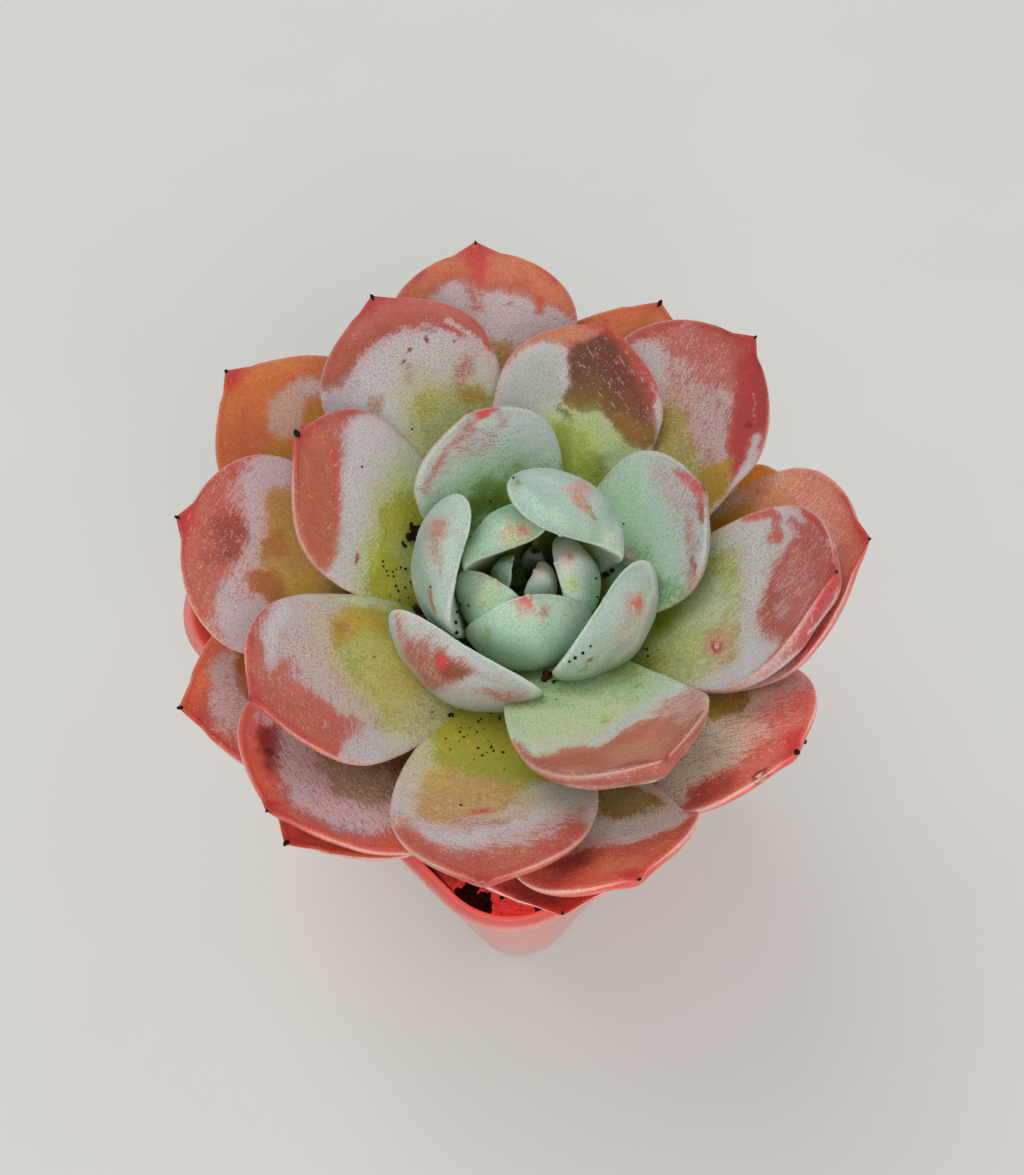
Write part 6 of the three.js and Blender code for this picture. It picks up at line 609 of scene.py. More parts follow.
        ("t", (148, 172, 152), 2, 1, 0, 1, ((11.9, 11.6), (14.3, 11.4), (16.8, 11.0), (19.1, 10.0), (21.3, 9.2), (23.3, 7.0), (25.4, 4.8), (26.0, 1.0), (27.6, -3.7), (26.1, -6.1), (24.8, -8.7), (22.2, -9.6), (19.9, -10.8), (17.7, -12.2), (14.1, -10.6), (10.4, -9.0), (9.6, -5.8), (8.8, -2.6), (8.1, 0.7), (9.4, 4.2), (10.6, 7.8))),
        ("f", 0.8, 2, 1, 0, 1, ((11.9, 11.6), (14.3, 11.4), (16.8, 11.0), (19.1, 10.0), (21.3, 9.2), (23.3, 7.0), (25.4, 4.8), (26.0, 1.0), (27.6, -3.7), (26.1, -6.1), (24.8, -8.7), (22.2, -9.6), (19.9, -10.8), (17.7, -12.2), (14.1, -10.6), (10.4, -9.0), (9.6, -5.8), (8.8, -2.6), (8.1, 0.7), (9.4, 4.2), (10.6, 7.8))),
        ("t", (160, 134, 130), 1.4, 0.9, 0, 1, ((20.0, 9.1), (23.7, 6.3), (25.1, 2.5), (24.9, -1.5), (23.9, -4.3), (22.6, -7.0), (20.5, -9.2), (18.1, -11.0), (18.5, -7.4), (20.2, -4.9), (21.7, -2.3), (20.7, 1.3), (19.7, 5.2))),
        ("f", 0.66, 1.2, 0.9, 0, 1, ((20.0, 9.1), (23.7, 6.3), (25.1, 2.5), (24.9, -1.5), (23.9, -4.3), (22.6, -7.0), (20.5, -9.2), (18.1, -11.0), (18.5, -7.4), (20.2, -4.9), (21.7, -2.3), (20.7, 1.3), (19.7, 5.2))),
        ("t", (198, 84, 86), 0.6, 0.9, 0, 1, ((23.0, 5.1), (24.9, 2.7), (25.9, -0.5), (26.0, -2.9), (24.6, -0.8), (23.6, 2.4))),
        ("f", 0.25, 0.5, 0.9, 0, 1, ((23.2, 4.8), (24.8, 2.6), (25.7, -0.2), (25.8, -2.2), (24.7, -0.7), (23.8, 2.1))),
        ("t", (150, 80, 56), 0.5, 0.9, 0, 1, ((24.3, -0.9), (25.4, -1.9), (24.2, -4.9), (23.5, -4.2), (23.7, -2.5))),
        ("f", 0.12, 0.5, 0.9, 0, 1, ((24.3, -0.9), (25.4, -1.9), (24.2, -4.9), (23.5, -4.2), (23.7, -2.5))),
        ("t", (140, 86, 60), 0.3, 0.9, 0.45, 1, ((20.6, -7.6), (20.2, -8.7))),
        ("f", 0.1, 0.3, 0.9, 0.4, 1, ((20.6, -7.6), (20.2, -8.7))),
        ("t", (160, 100, 80), 0.3, 0.7, 0.35, 1, ((20.3, -9.6), (18.5, -10.6), (17.5, -11.0))),
        ("f", 0.35, 0.3, 0.7, 0.35, 1, ((20.3, -9.6), (18.5, -10.6), (17.5, -11.0))),
        ("t", (160, 110, 90), 0.4, 0.7, 0.4, 1, ((22.2, -2.7), (21.0, -5.1))),
        ("f", 0.45, 0.5, 0.7, 0.5, 1, ((22.5, -1.4), (21.5, -3.7), (20.5, -6.1))),
        ("t", (120, 150, 100), 1, 0.8, 0, 1, ((13.0, -0.2), (15.6, -2.2), (14.9, -4.0), (12.6, -2.5))),
        ("f", 0.45, 1, 0.8, 0, 1, ((13.0, -0.2), (15.6, -2.2), (14.9, -4.0), (12.6, -2.5))),
        ("t", (140, 160, 90), 0.8, 0.8, 0, 1, ((12.7, 10.7), (15.0, 11.0), (16.4, 10.5), (14.8, 9.7), (12.9, 9.4))),
        ("f", 0.4, 0.7, 0.8, 0, 1, ((12.7, 10.7), (15.0, 11.0), (16.4, 10.5), (14.8, 9.7), (12.9, 9.4))),
        ("t", (96, 136, 76), 1.5, 0.8, 0, 1, ((14.7, -5.6), (17.7, -9.1), (17.4, -12.8), (14.3, -11.3), (11.5, -10.0), (13.2, -7.8))),
        ("f", 0.35, 1.3, 0.8, 0, 1, ((14.7, -5.6), (17.7, -9.1), (17.4, -12.8), (14.3, -11.3), (11.5, -10.0), (13.2, -7.8))),
        ("f", 0.95, 0.5, 0.8, 0.5, -1, ((25.5, -1.1), (25.1, -3.9), (23.3, -7.2), (20.8, -9.7))),
        ("b", 0.8, 1, 1, 0, 1, ((23.9, 4.1), (24.9, 0.9), (26.5, -2.8), (24.7, -4.9), (22.7, -7.1), (21.3, -9.5), (19.7, -12.0), (17.7, -9.1), (19.1, -5.7), (20.7, -2.4), (22.2, 0.9))),
        ("p", 0.35, 1, 0.8, 0, 1, ((20.2, 7.0), (22.4, 4.4), (24.5, 2.0), (22.9, -1.2), (21.5, -4.3), (20.1, -7.7), (18.5, -3.4), (18.9, 0.2), (19.5, 3.6))),
        ("x", (162, 190, 162), 4, 0.85, 0, 1, ((10.6, 9.0), (14.8, 8.5), (18.9, 7.9), (19.2, 3.5), (19.6, -0.8), (17.5, -3.2), (15.2, -5.4), (13.0, -7.5), (10.6, -5.1), (8.2, -2.7), (9.0, 1.1), (9.8, 5.1))),
        ("x", (184, 172, 180), 2, 0.7, 0, 1, ((19.9, 6.3), (21.6, 4.6), (23.3, 2.9), (23.6, 0.3), (24.1, -2.5), (22.9, -5.6), (21.6, -8.6), (18.9, -9.9), (19.7, -7.3), (20.5, -4.8), (20.0, -1.2), (19.5, 2.4))),
        ("f", 0.45, 1, 0.6, 0, 1, ((20.6, 1.7), (23.0, -0.9), (22.7, -3.6), (22.5, -6.1), (21.3, -8.4), (19.7, -10.4), (16.9, -11.6), (18.4, -9.6), (19.8, -7.4), (20.0, -4.4), (20.3, -1.4))),
        ("b", 1, 1, 1, 0, 1, ((20.2, 7.0), (22.9, 3.2), (25.6, -0.4), (24.2, -3.5), (22.9, -6.4), (21.6, -9.3), (20.3, -12.4), (17.0, -10.2), (17.6, -6.9), (18.2, -3.4), (18.7, 0.2), (19.4, 3.6))),
    ],
    "middle_leaf_back": [
        ("t", (152, 172, 150), 2, 1, 0, 1, ((17.0, 12.5), (18.7, 10.9), (20.3, 9.5), (21.9, 7.3), (23.3, 5.0), (24.7, 2.7), (24.7, 0.4), (25.2, -1.6), (24.1, -4.0), (23.1, -6.5), (21.2, -8.3), (19.5, -10.1), (16.6, -10.9), (13.6, -11.7), (11.8, -10.8), (10.1, -9.8), (9.9, -6.2), (9.6, -2.8), (9.3, 0.7), (10.8, 4.8), (12.4, 8.9), (14.7, 10.7))),
        ("f", 0.8, 2, 1, 0, 1, ((17.0, 12.5), (18.7, 10.9), (20.3, 9.5), (21.9, 7.3), (23.3, 5.0), (24.7, 2.7), (24.7, 0.4), (25.2, -1.6), (24.1, -4.0), (23.1, -6.5), (21.2, -8.3), (19.5, -10.1), (16.6, -10.9), (13.6, -11.7), (11.8, -10.8), (10.1, -9.8), (9.9, -6.2), (9.6, -2.8), (9.3, 0.7), (10.8, 4.8), (12.4, 8.9), (14.7, 10.7))),
        ("t", (168, 170, 170), 1.3, 0.7, 0, 1, ((23.1, -4.1), (21.8, -6.3), (20.3, -8.6), (18.2, -9.6), (16.0, -10.4), (15.9, -8.6), (18.1, -6.5), (20.3, -4.5))),
        ("f", 0.92, 1, 0.8, 0, 1, ((23.4, -4.3), (21.9, -6.4), (20.3, -8.6), (18.2, -9.6), (16.0, -10.4), (16.2, -7.9), (18.3, -6.1), (20.3, -4.3))),
        ("t", (158, 122, 116), 1.3, 0.9, 0, 1, ((23.3, 0.7), (21.9, -1.4), (20.7, -3.5), (18.5, -1.1), (18.7, 1.3), (19.0, 3.7), (17.5, 7.3), (16.4, 9.4), (17.8, 10.0), (18.9, 8.0), (20.0, 6.0), (21.7, 3.3))),
        ("f", 0.6, 1.2, 0.9, 0, 1, ((23.3, 0.7), (21.9, -1.4), (20.7, -3.5), (18.5, -1.1), (18.7, 1.3), (19.0, 3.7), (17.5, 7.3), (16.4, 9.4), (17.8, 10.0), (18.9, 8.0), (20.0, 6.0), (21.7, 3.3))),
        ("t", (168, 108, 98), 0.8, 0.9, 0, 1, ((23.4, -0.7), (21.5, 2.0), (20.5, 5.0), (18.7, 7.8), (17.0, 10.1), (18.4, 10.5), (19.7, 9.0), (21.0, 7.4), (21.9, 5.4), (22.7, 3.4), (24.0, 0.3))),
        ("f", 0.34, 0.7, 0.9, 0, 1, ((23.3, -0.2), (21.7, 2.4), (20.5, 5.2), (18.9, 7.7), (17.3, 9.6), (18.6, 10.2), (20.9, 7.2), (21.8, 5.3), (22.5, 3.2), (23.8, 0.5))),
        ("t", (202, 66, 72), 0.5, 0.95, 0, 1, ((24.7, -0.2), (23.8, -3.9), (22.9, -2.5), (22.9, -0.5))),
        ("f", 0.06, 0.4, 0.95, 0, 1, ((24.6, -0.4), (23.7, -3.7), (23.1, -2.4), (23.0, -0.5))),
        ("t", (164, 114, 124), 0.8, 0.8, 0, 1, ((23.1, -3.4), (22.4, -5.4), (20.6, -4.3), (21.1, -3.0))),
        ("f", 0.5, 0.7, 0.8, 0, 1, ((23.1, -3.4), (22.4, -5.4), (20.6, -4.3), (21.1, -3.0))),
        ("t", (104, 142, 74), 2, 0.9, 0, 1, ((16.5, 3.3), (16.0, -0.7), (15.7, -4.5), (15.0, -8.1), (14.2, -11.9), (12.0, -10.8), (9.9, -9.7), (9.7, -6.1), (9.5, -2.8), (9.3, 0.7), (10.9, 3.1), (12.6, 5.8), (14.6, 4.5))),
        ("f", 0.34, 1.8, 0.9, 0, 1, ((16.2, 3.3), (15.7, -0.4), (15.3, -4.3), (14.4, -7.9), (13.6, -11.7), (11.7, -10.7), (9.9, -9.7), (9.7, -6.1), (9.5, -2.8), (9.3, 0.7), (10.9, 3.1), (12.6, 5.8), (14.5, 4.7))),
        ("t", (88, 110, 20), 1.5, 0.9, 0, 1, ((14.3, 6.2), (14.0, 2.4), (13.7, -1.3), (10.1, -1.2), (10.5, 1.8), (10.8, 4.8))),
        ("f", 0.08, 1.3, 0.9, 0, 1, ((14.3, 6.2), (14.0, 2.4), (13.7, -1.3), (10.1, -1.2), (10.5, 1.8), (10.8, 4.8))),
        ("t", (180, 88, 84), 0.15, 0.7, 0.2, 1, ((21.2, 5.2), (20.1, 7.5), (18.8, 8.7))),
        ("t", (180, 96, 90), 0.15, 0.7, 0.18, 1, ((22.2, 3.6), (21.4, 5.6))),
        ("f", 0.97, 0.3, 0.8, 0.35, 1, ((18.7, 10.4), (21.3, 7.4), (22.4, 5.3), (23.4, 3.1))),
        ("b", 0.9, 1, 1, 0, 1, ((17.8, 10.6), (19.9, 8.4), (21.9, 6.1), (22.8, 3.3), (23.7, 0.5), (20.7, 0.2), (19.0, 3.1), (17.3, 6.1), (17.6, 8.4))),
        ("p", 0.5, 1, 1, 0, 1, ((20.3, 4.3), (20.3, 0.8), (20.2, -3.0), (18.5, -5.5), (17.4, -2.6), (16.3, 0.0), (18.3, 2.2))),
        ("x", (146, 178, 136), 4, 0.9, 0, 1, ((18.7, 5.7), (17.2, 2.4), (16.0, -0.9), (14.8, -4.1), (11.6, -3.0), (8.4, -2.1), (10.1, 1.5), (11.9, 5.0), (13.8, 8.5), (16.3, 7.2))),
        ("b", 1, 1, 1, 0, 1, ((16.9, 12.2), (18.4, 9.2), (19.7, 6.0), (20.9, 2.6), (22.0, -0.7), (23.1, -4.1), (21.3, -6.6), (19.4, -9.2), (17.5, -11.9), (17.3, -7.3), (17.1, -2.9), (17.0, 1.6), (17.0, 5.2), (17.0, 8.8))),
    ],
    "inner_leaf_front": [
        ("t", (168, 156, 158), 2, 1, 0, -1, ((18.1, -12.7), (21.5, -10.0), (23.3, -8.1), (24.6, -4.7), (25.1, -1.7), (25.6, 1.2), (24.9, 3.8), (23.9, 6.3), (22.6, 8.9), (20.7, 11.4), (13.9, 10.8), (12.9, 7.6), (15.8, 5.2), (13.9, 1.2), (15.0, -2.3), (15.9, -5.4), (16.7, -7.7), (13.6, -12.0))),
        ("f", 0.9, 2, 1, 0, -1, ((18.1, -12.7), (21.5, -10.0), (23.3, -8.1), (24.6, -4.7), (25.1, -1.7), (25.6, 1.2), (24.9, 3.8), (23.9, 6.3), (22.6, 8.9), (20.7, 11.4), (13.9, 10.8), (12.9, 7.6), (15.8, 5.2), (13.9, 1.2), (15.0, -2.3), (15.9, -5.4), (16.7, -7.7), (13.6, -12.0))),
        ("t", (182, 118, 104), 0.9, 0.9, 0, -1, ((20.5, -7.4), (22.7, -3.4), (22.2, -0.6), (18.9, -0.7), (15.6, -4.1), (16.7, -6.4))),
        ("f", 0.5, 0.8, 0.9, 0, -1, ((20.5, -7.4), (22.7, -3.4), (22.2, -0.6), (18.9, -0.7), (15.6, -4.1), (16.7, -6.4))),
        ("t", (170, 96, 72), 0.8, 0.95, 0, -1, ((21.7, -2.4), (23.6, 0.4), (23.2, 3.6), (21.8, 2.2), (20.2, -0.6))),
        ("f", 0.14, 0.7, 0.95, 0, -1, ((21.8, -2.2), (23.6, 0.5), (23.2, 3.3), (21.9, 2.0), (20.5, -0.4))),
        ("t", (204, 72, 76), 0.6, 0.95, 0, -1, ((22.8, -2.0), (24.1, 0.2), (22.9, 0.9), (21.7, -0.9))),
        ("f", 0.1, 0.6, 0.9, 0, -1, ((22.8, -1.9), (23.9, 0.2), (22.9, 0.6), (21.9, -0.8))),
        ("t", (166, 108, 88), 0.9, 0.9, 0, -1, ((20.9, 4.1), (22.3, 6.4), (21.7, 8.1), (20.8, 9.7), (15.2, 10.0), (18.3, 8.0), (19.7, 5.7))),
        ("f", 0.44, 0.8, 0.9, 0, -1, ((20.9, 4.1), (22.3, 6.4), (21.7, 8.1), (20.8, 9.7), (15.2, 10.0), (18.3, 8.0), (19.7, 5.7))),
        ("b", 1, 1, 1, 0, -1, ((20.6, -8.7), (22.6, -5.1), (23.6, -2.1), (22.2, -0.5), (18.8, 0.2), (15.2, -3.3), (15.8, -5.0), (16.4, -6.7), (19.2, -7.3))),
        ("f", 0.98, 0.5, 0.9, 0.5, -1, ((21.1, -9.5), (23.0, -5.5), (23.9, -1.5), (24.5, 0.7), (24.3, 2.6))),
        ("t", (160, 116, 112), 0.3, 0.7, 0.5, -1, ((23.1, 2.7), (23.0, 4.4), (22.7, 6.2))),
        ("f", 0.6, 0.3, 0.7, 0.5, -1, ((23.1, 2.7), (23.0, 4.4), (22.7, 6.2))),
        # a painted highlight along the upper margin
        ("x", (202, 206, 202), 0.6, 0.85, 0.5, 1, ((21.5, -9.1), (22.6, -6.5), (23.4, -4.1), (24.2, -1.6), (24.5, 0.8), (5.4, -1.6), (5.0, 1.5), (6.0, 4.4), (20.8, 10.2))),
        ("x", (186, 190, 192), 2, 0.6, 0, -1, ((22.5, -1.0), (23.0, 1.5), (23.1, 3.9), (22.4, 6.4), (21.3, 8.8), (17.7, 6.9), (18.1, 4.1), (16.6, 0.5), (20.5, 0.3))),
        ("f", 0.42, 1.2, 0.8, 0, -1, ((21.5, -8.8), (22.6, -6.3), (23.3, -3.9), (23.9, -1.0), (23.7, 1.6), (21.1, 1.6), (18.7, -2.0), (19.6, -3.8), (19.9, -5.8), (21.1, -7.2))),
        ("t", (160, 92, 78), 1.2, 0.7, 0, -1, ((21.5, -8.8), (22.6, -6.3), (23.3, -3.9), (23.9, -1.0), (23.7, 1.6), (21.1, 1.6), (18.7, -2.0), (19.6, -3.8), (19.9, -5.8), (21.1, -7.2))),
        ("b", 1, 1, 1, 0, -1, ((21.5, -8.8), (22.6, -6.3), (23.3, -3.9), (23.9, -1.0), (23.7, 1.6), (21.1, 1.6), (18.7, -2.0), (19.6, -3.8), (19.9, -5.8), (21.1, -7.2))),
        ("f", 0.3, 1, 0.85, 0, -1, ((21.6, -8.9), (22.8, -6.1), (23.7, -3.8), (24.2, -0.8), (23.9, 1.8), (22.7, 2.0), (20.9, 1.8), (18.3, -2.0), (19.4, -3.8), (19.9, -5.8), (21.3, -7.0))),
        ("t", (168, 96, 80), 1, 0.8, 0, -1, ((21.6, -8.9), (22.8, -6.1), (23.7, -3.8), (24.2, -0.8), (23.9, 1.8), (22.7, 2.0), (20.9, 1.8), (18.3, -2.0), (19.4, -3.8), (19.9, -5.8), (21.3, -7.0))),
        ("t", (132, 74, 44), 0.7, 0.95, 0, -1, ((23.1, -2.1), (23.6, -0.6), (23.4, 1.4), (23.0, 3.1), (22.0, 2.8), (21.8, 0.5), (22.1, -1.3))),
        ("f", 0.08, 0.6, 0.95, 0, -1, ((23.1, -2.1), (23.6, -0.6), (23.4, 1.4), (23.0, 3.1), (22.0, 2.8), (21.8, 0.5), (22.1, -1.3))),
        ("t", (206, 70, 76), 0.5, 0.95, 0, -1, ((23.0, -1.8), (23.7, -0.3), (22.8, 0.1), (22.1, -0.8))),
        ("f", 0.08, 0.5, 0.9, 0, -1, ((23.0, -1.8), (23.7, -0.3), (22.8, 0.1), (22.1, -0.8))),
    ],
    "inner_leaf_right": [
        ("t", (150, 172, 154), 2, 1, 0, -1, ((10.7, -9.4), (17.4, -9.6), (21.4, -8.3), (23.4, -5.2), (24.4, -2.0), (24.7, 1.5), (22.8, 5.1), (20.8, 9.0), (16.0, 11.8), (14.7, 10.3), (12.2, 9.6), (15.0, 5.8), (14.1, 3.4), (13.5, 0.5), (11.8, -1.7), (13.2, -5.2), (11.3, -7.1))),
        ("f", 0.86, 2, 1, 0, -1, ((10.7, -9.4), (17.4, -9.6), (21.4, -8.3), (23.4, -5.2), (24.4, -2.0), (24.7, 1.5), (22.8, 5.1), (20.8, 9.0), (16.0, 11.8), (14.7, 10.3), (12.2, 9.6), (15.0, 5.8), (14.1, 3.4), (13.5, 0.5), (11.8, -1.7), (13.2, -5.2), (11.3, -7.1))),
        ("t", (160, 156, 158), 1.2, 0.8, 0, -1, ((20.8, 0.8), (19.8, 3.4), (18.0, 6.7), (16.9, 4.8), (14.4, 4.0), (14.8, 1.0), (13.8, -1.2), (16.2, -5.2), (19.1, -3.8), (20.2, -1.6))),
        ("t", (206, 120, 112), 0.9, 0.8, 0, -1, ((22.3, 1.8), (20.2, 4.3), (18.9, 2.5), (21.2, -0.4))),
        ("f", 0.5, 0.9, 0.8, 0, -1, ((22.3, 1.8), (20.2, 4.3), (18.9, 2.5), (21.2, -0.4))),
        ("t", (204, 72, 74), 0.4, 0.95, 0, -1, ((21.4, 1.8), (20.1, 3.3), (20.0, 2.2), (21.0, 1.1))),
        ("f", 0.1, 0.4, 0.9, 0, -1, ((21.4, 1.8), (20.1, 3.3), (20.0, 2.2), (21.0, 1.1))),
        # a painted highlight along the crease of the keel
        ("t", (200, 206, 204), 0.25, 0.8, 0.3, -1, ((20.7, 1.5), (19.5, -0.7), (18.9, -3.6), (18.2, -5.2), (16.0, -6.4))),
        ("f", 1, 0.25, 0.9, 0.3, -1, ((20.7, 1.5), (19.5, -0.7), (18.9, -3.6), (18.2, -5.2), (16.0, -6.4))),
        ("t", (118, 108, 60), 0.25, 0.9, 0.3, -1, ((17.8, -7.1), (19.1, -6.7), (19.1, -6.1), (18.3, -6.0), (17.3, -6.5))),
        ("f", 0.1, 0.3, 0.9, 0.35, -1, ((17.8, -7.1), (19.0, -6.6), (19.0, -6.1))),
        ("t", (150, 160, 120), 0.5, 0.6, 0.8, -1, ((18.4, -6.9),)),
        # painted highlights along the margin and the keel, painted shade on the top face, and a lighter band by the
        # keel
        ("x", (200, 210, 196), 0.6, 0.85, 0.5, -1, ((19.7, 8.5), (19.3, 7.4), (18.7, 6.1), (19.1, 2.1), (19.4, -0.2), (19.3, -2.2))),
        ("x", (198, 208, 194), 0.5, 0.7, 0.35, -1, ((20.8, 1.6), (19.3, 2.3), (17.5, -0.4), (16.9, -2.2), (15.5, -3.6))),
        ("x", (126, 162, 136), 1.6, 0.7, 0, 1, ((22.2, -2.8), (22.3, 0.5), (21.7, 3.9), (21.7, 6.6), (23.2, 5.4), (23.9, 2.8), (24.5, 0.3), (23.3, -2.3))),
        ("x", (174, 194, 180), 1.6, 0.6, 0, -1, ((19.1, -8.8), (19.9, -7.5), (19.8, -5.9), (20.4, -3.6), (20.6, -1.1), (20.6, 2.7), (19.0, 1.6), (18.4, -1.4), (17.0, -4.0), (16.5, -6.2), (14.9, -7.9))),
        ("t", (176, 140, 122), 1, 0.7, 0, -1, ((21.4, 1.8), (20.1, 2.4), (19.2, 0.5), (18.0, -2.5), (18.3, -4.2), (20.5, -2.3), (21.1, -0.2))),
        ("f", 0.5, 1, 0.7, 0, -1, ((21.4, 1.8), (20.1, 2.4), (19.2, 0.5), (18.0, -2.5), (18.3, -4.2), (20.5, -2.3), (21.1, -0.2))),
    ],
    "heart_leaf_front": [
        ("t", (140, 164, 148), 2, 1, 0, -1, ((4.1, -9.7), (12.8, -6.5), (15.4, -3.4), (16.7, -1.5), (18.0, 0.4), (16.3, 2.9), (14.6, 5.5), (11.9, 7.4), (5.9, 9.5), (6.5, 7.4), (7.2, 5.3), (6.7, 3.3), (8.1, 0.7), (8.7, -1.9), (7.7, -4.2), (7.8, -7.0))),
        ("f", 0.82, 2, 1, 0, -1, ((4.1, -9.7), (12.8, -6.5), (15.4, -3.4), (16.7, -1.5), (18.0, 0.4), (16.3, 2.9), (14.6, 5.5), (11.9, 7.4), (5.9, 9.5), (6.5, 7.4), (7.2, 5.3), (6.7, 3.3), (8.1, 0.7), (8.7, -1.9), (7.7, -4.2), (7.8, -7.0))),
        ("t", (204, 128, 118), 0.9, 0.8, 0, -1, ((16.3, -2.4), (17.1, 0.9), (15.1, 1.0), (15.0, -1.7))),
        ("f", 0.45, 0.9, 0.8, 0, -1, ((16.3, -2.4), (17.1, 0.9), (15.1, 1.0), (15.0, -1.7))),
        ("t", (198, 84, 82), 0.4, 0.9, 0, -1, ((16.8, -0.9), (16.9, 0.6), (16.1, 0.1), (16.0, -0.9))),
        ("f", 0.1, 0.4, 0.9, 0, -1, ((16.8, -0.9), (16.9, 0.6), (16.1, 0.1), (16.0, -0.9))),
        ("t", (164, 112, 96), 0.6, 0.85, 0, -1, ((15.9, 1.1), (15.2, 2.5), (14.4, 1.9), (14.5, 0.9))),
        ("f", 0.46, 0.6, 0.85, 0, -1, ((15.9, 1.1), (15.2, 2.5), (14.4, 1.9), (14.5, 0.9))),
        ("t", (172, 150, 120), 0.8, 0.7, 0, -1, ((14.8, 3.6), (12.9, 6.5), (12.5, 5.5), (13.9, 3.4))),
        ("f", 0.6, 0.8, 0.7, 0, -1, ((14.8, 3.6), (12.9, 6.5), (12.5, 5.5), (13.9, 3.4))),
        ("t", (140, 150, 74), 0.5, 0.85, 0, -1, ((12.4, -6.5), (13.2, -4.8), (12.1, -5.4), (11.8, -6.4))),
        ("f", 0.4, 0.5, 0.85, 0, -1, ((12.4, -6.5), (13.2, -4.8), (12.1, -5.4), (11.8, -6.4))),
        ("p", 0.7, 0.8, 1, 0, -1, ((16.1, 0.9), (15.3, 2.8), (14.0, 2.3), (14.4, 0.6))),
        ("f", 1, 0.1, 1, 0.22, -1, ((11.7, -1.4),)),
        # painted highlights along the rims and the ridge, painted shade in the lower hollow, and a lighter patch by the
        # point
        ("x", (196, 208, 194), 0.6, 0.85, 0.5, 1, ((8.8, -8.3), (13.1, -6.1), (15.4, -3.2), (17.2, -0.3))),
        ("x", (196, 206, 194), 0.6, 0.8, 0.5, 1, ((17.2, 0.5), (15.4, 3.4), (12.7, 6.1), (8.1, 8.3))),
        ("x", (186, 202, 188), 0.5, 0.6, 0.3, -1, ((17.0, 0.1), (15.2, 1.1), (13.7, 2.4), (11.6, 3.9))),
        ("x", (112, 154, 128), 2, 0.7, 0, -1, ((6.8, -8.5), (10.4, -6.2), (10.5, -3.6), (9.5, -0.2), (11.5, 0.3), (12.2, -1.6), (12.5, -3.5), (12.6, -6.3))),
        ("x", (172, 200, 182), 2.5, 0.7, 0, -1, ((14.7, -3.6), (15.4, -1.9), (15.7, -0.0), (14.7, 1.6), (13.3, 3.4), (12.3, 0.6), (12.7, -1.6), (12.8, -3.6))),
    ],
    "heart_leaf_left": [
        ("t", (198, 120, 108), 0.8, 0.85, 0, 1, ((13.4, -2.2), (15.4, 0.5), (13.4, 1.5), (2.4, -4.7))),
        ("f", 0.4, 0.8, 0.85, 0, 1, ((13.4, -2.2), (15.4, 0.5), (13.4, 1.5), (2.4, -4.7))),
        ("t", (150, 160, 96), 1, 0.7, 0, -1, ((13.5, 0.0), (13.3, 1.8), (12.5, 1.9), (12.3, 0.3))),
        ("f", 0.4, 1, 0.7, 0, -1, ((13.5, 0.0), (13.3, 1.8), (12.5, 1.9), (12.3, 0.3))),
        # a painted highlight along the rim, painted shade low on the underside, and a lighter patch by the point
        ("x", (194, 208, 190), 0.6, 0.85, 0.5, 1, ((10.0, -5.5), (13.2, -2.5), (15.0, 0.2), (14.1, 1.4), (13.1, 2.4))),
        ("x", (108, 148, 118), 1.5, 0.75, 0, -1, ((10.4, -4.2), (8.5, -2.9), (7.4, -1.2), (9.6, -0.0), (11.4, -1.9))),
        ("x", (168, 194, 170), 1.5, 0.6, 0, -1, ((12.3, -3.0), (13.9, 0.1), (12.7, 1.7), (11.7, -0.1))),
    ],
    "heart_leaf_back": [
        ("t", (196, 158, 100), 1.2, 0.85, 0, -1, ((9.1, -0.4), (9.4, -2.5), (10.3, -2.6), (11.2, -0.9), (10.6, 0.5))),
        ("f", 0.4, 1.1, 0.85, 0, -1, ((9.1, -0.4), (9.4, -2.5), (10.3, -2.6), (11.2, -0.9), (10.6, 0.5))),
        ("t", (206, 92, 82), 0.5, 0.9, 0, -1, ((10.0, -1.3), (10.0, -2.7), (10.4, -2.5), (10.6, -1.3))),
        ("t", (198, 136, 128), 0.8, 0.75, 0, -1, ((9.6, 1.7), (10.2, 0.2), (10.7, 1.0), (10.3, 2.0))),
        ("f", 0.5, 0.8, 0.75, 0, -1, ((9.6, 1.7), (10.2, 0.2), (10.7, 1.0), (10.3, 2.0))),
        # a painted highlight along the rim, painted shade in the hollow, a lighter patch, and painted highlights on the
        # ridges from the point
        ("x", (194, 206, 188), 0.6, 0.85, 0.5, 1, ((7.7, 6.8), (3.4, 3.0), (0.4, -1.2), (0.3, -3.6), (9.9, -4.5))),
        ("x", (102, 146, 112), 2, 0.75, 0, -1, ((6.1, -0.7), (7.1, -2.9), (8.6, -4.7), (9.5, -3.1), (8.7, 0.1))),
        ("x", (176, 198, 180), 1.5, 0.7, 0, -1, ((8.5, 5.4), (9.3, 3.4), (9.2, 1.2), (10.1, -1.5), (11.6, 0.0), (11.4, 3.4))),
        ("x", (190, 204, 188), 0.4, 0.6, 0.25, -1, ((10.3, -1.6), (9.8, 0.3))),
        ("x", (190, 204, 188), 0.4, 0.6, 0.25, -1, ((10.3, -1.6), (9.6, -2.9))),
    ],
    "heart_leaf_right": [
        ("t", (210, 140, 90), 0.8, 0.9, 0, -1, ((11.9, 2.0), (11.0, 1.8), (11.1, -0.3), (12.1, -0.6))),
        ("f", 0.3, 0.7, 0.9, 0, -1, ((11.9, 2.0), (11.0, 1.8), (11.1, -0.3), (12.1, -0.6))),
        ("t", (206, 88, 78), 0.35, 0.9, 0.5, -1, ((12.1, 0.8), (11.8, 0.1))),
        ("t", (138, 150, 70), 0.8, 0.85, 0, -1, ((11.7, -2.3), (10.6, -2.6), (9.9, -4.3), (10.9, -3.9))),
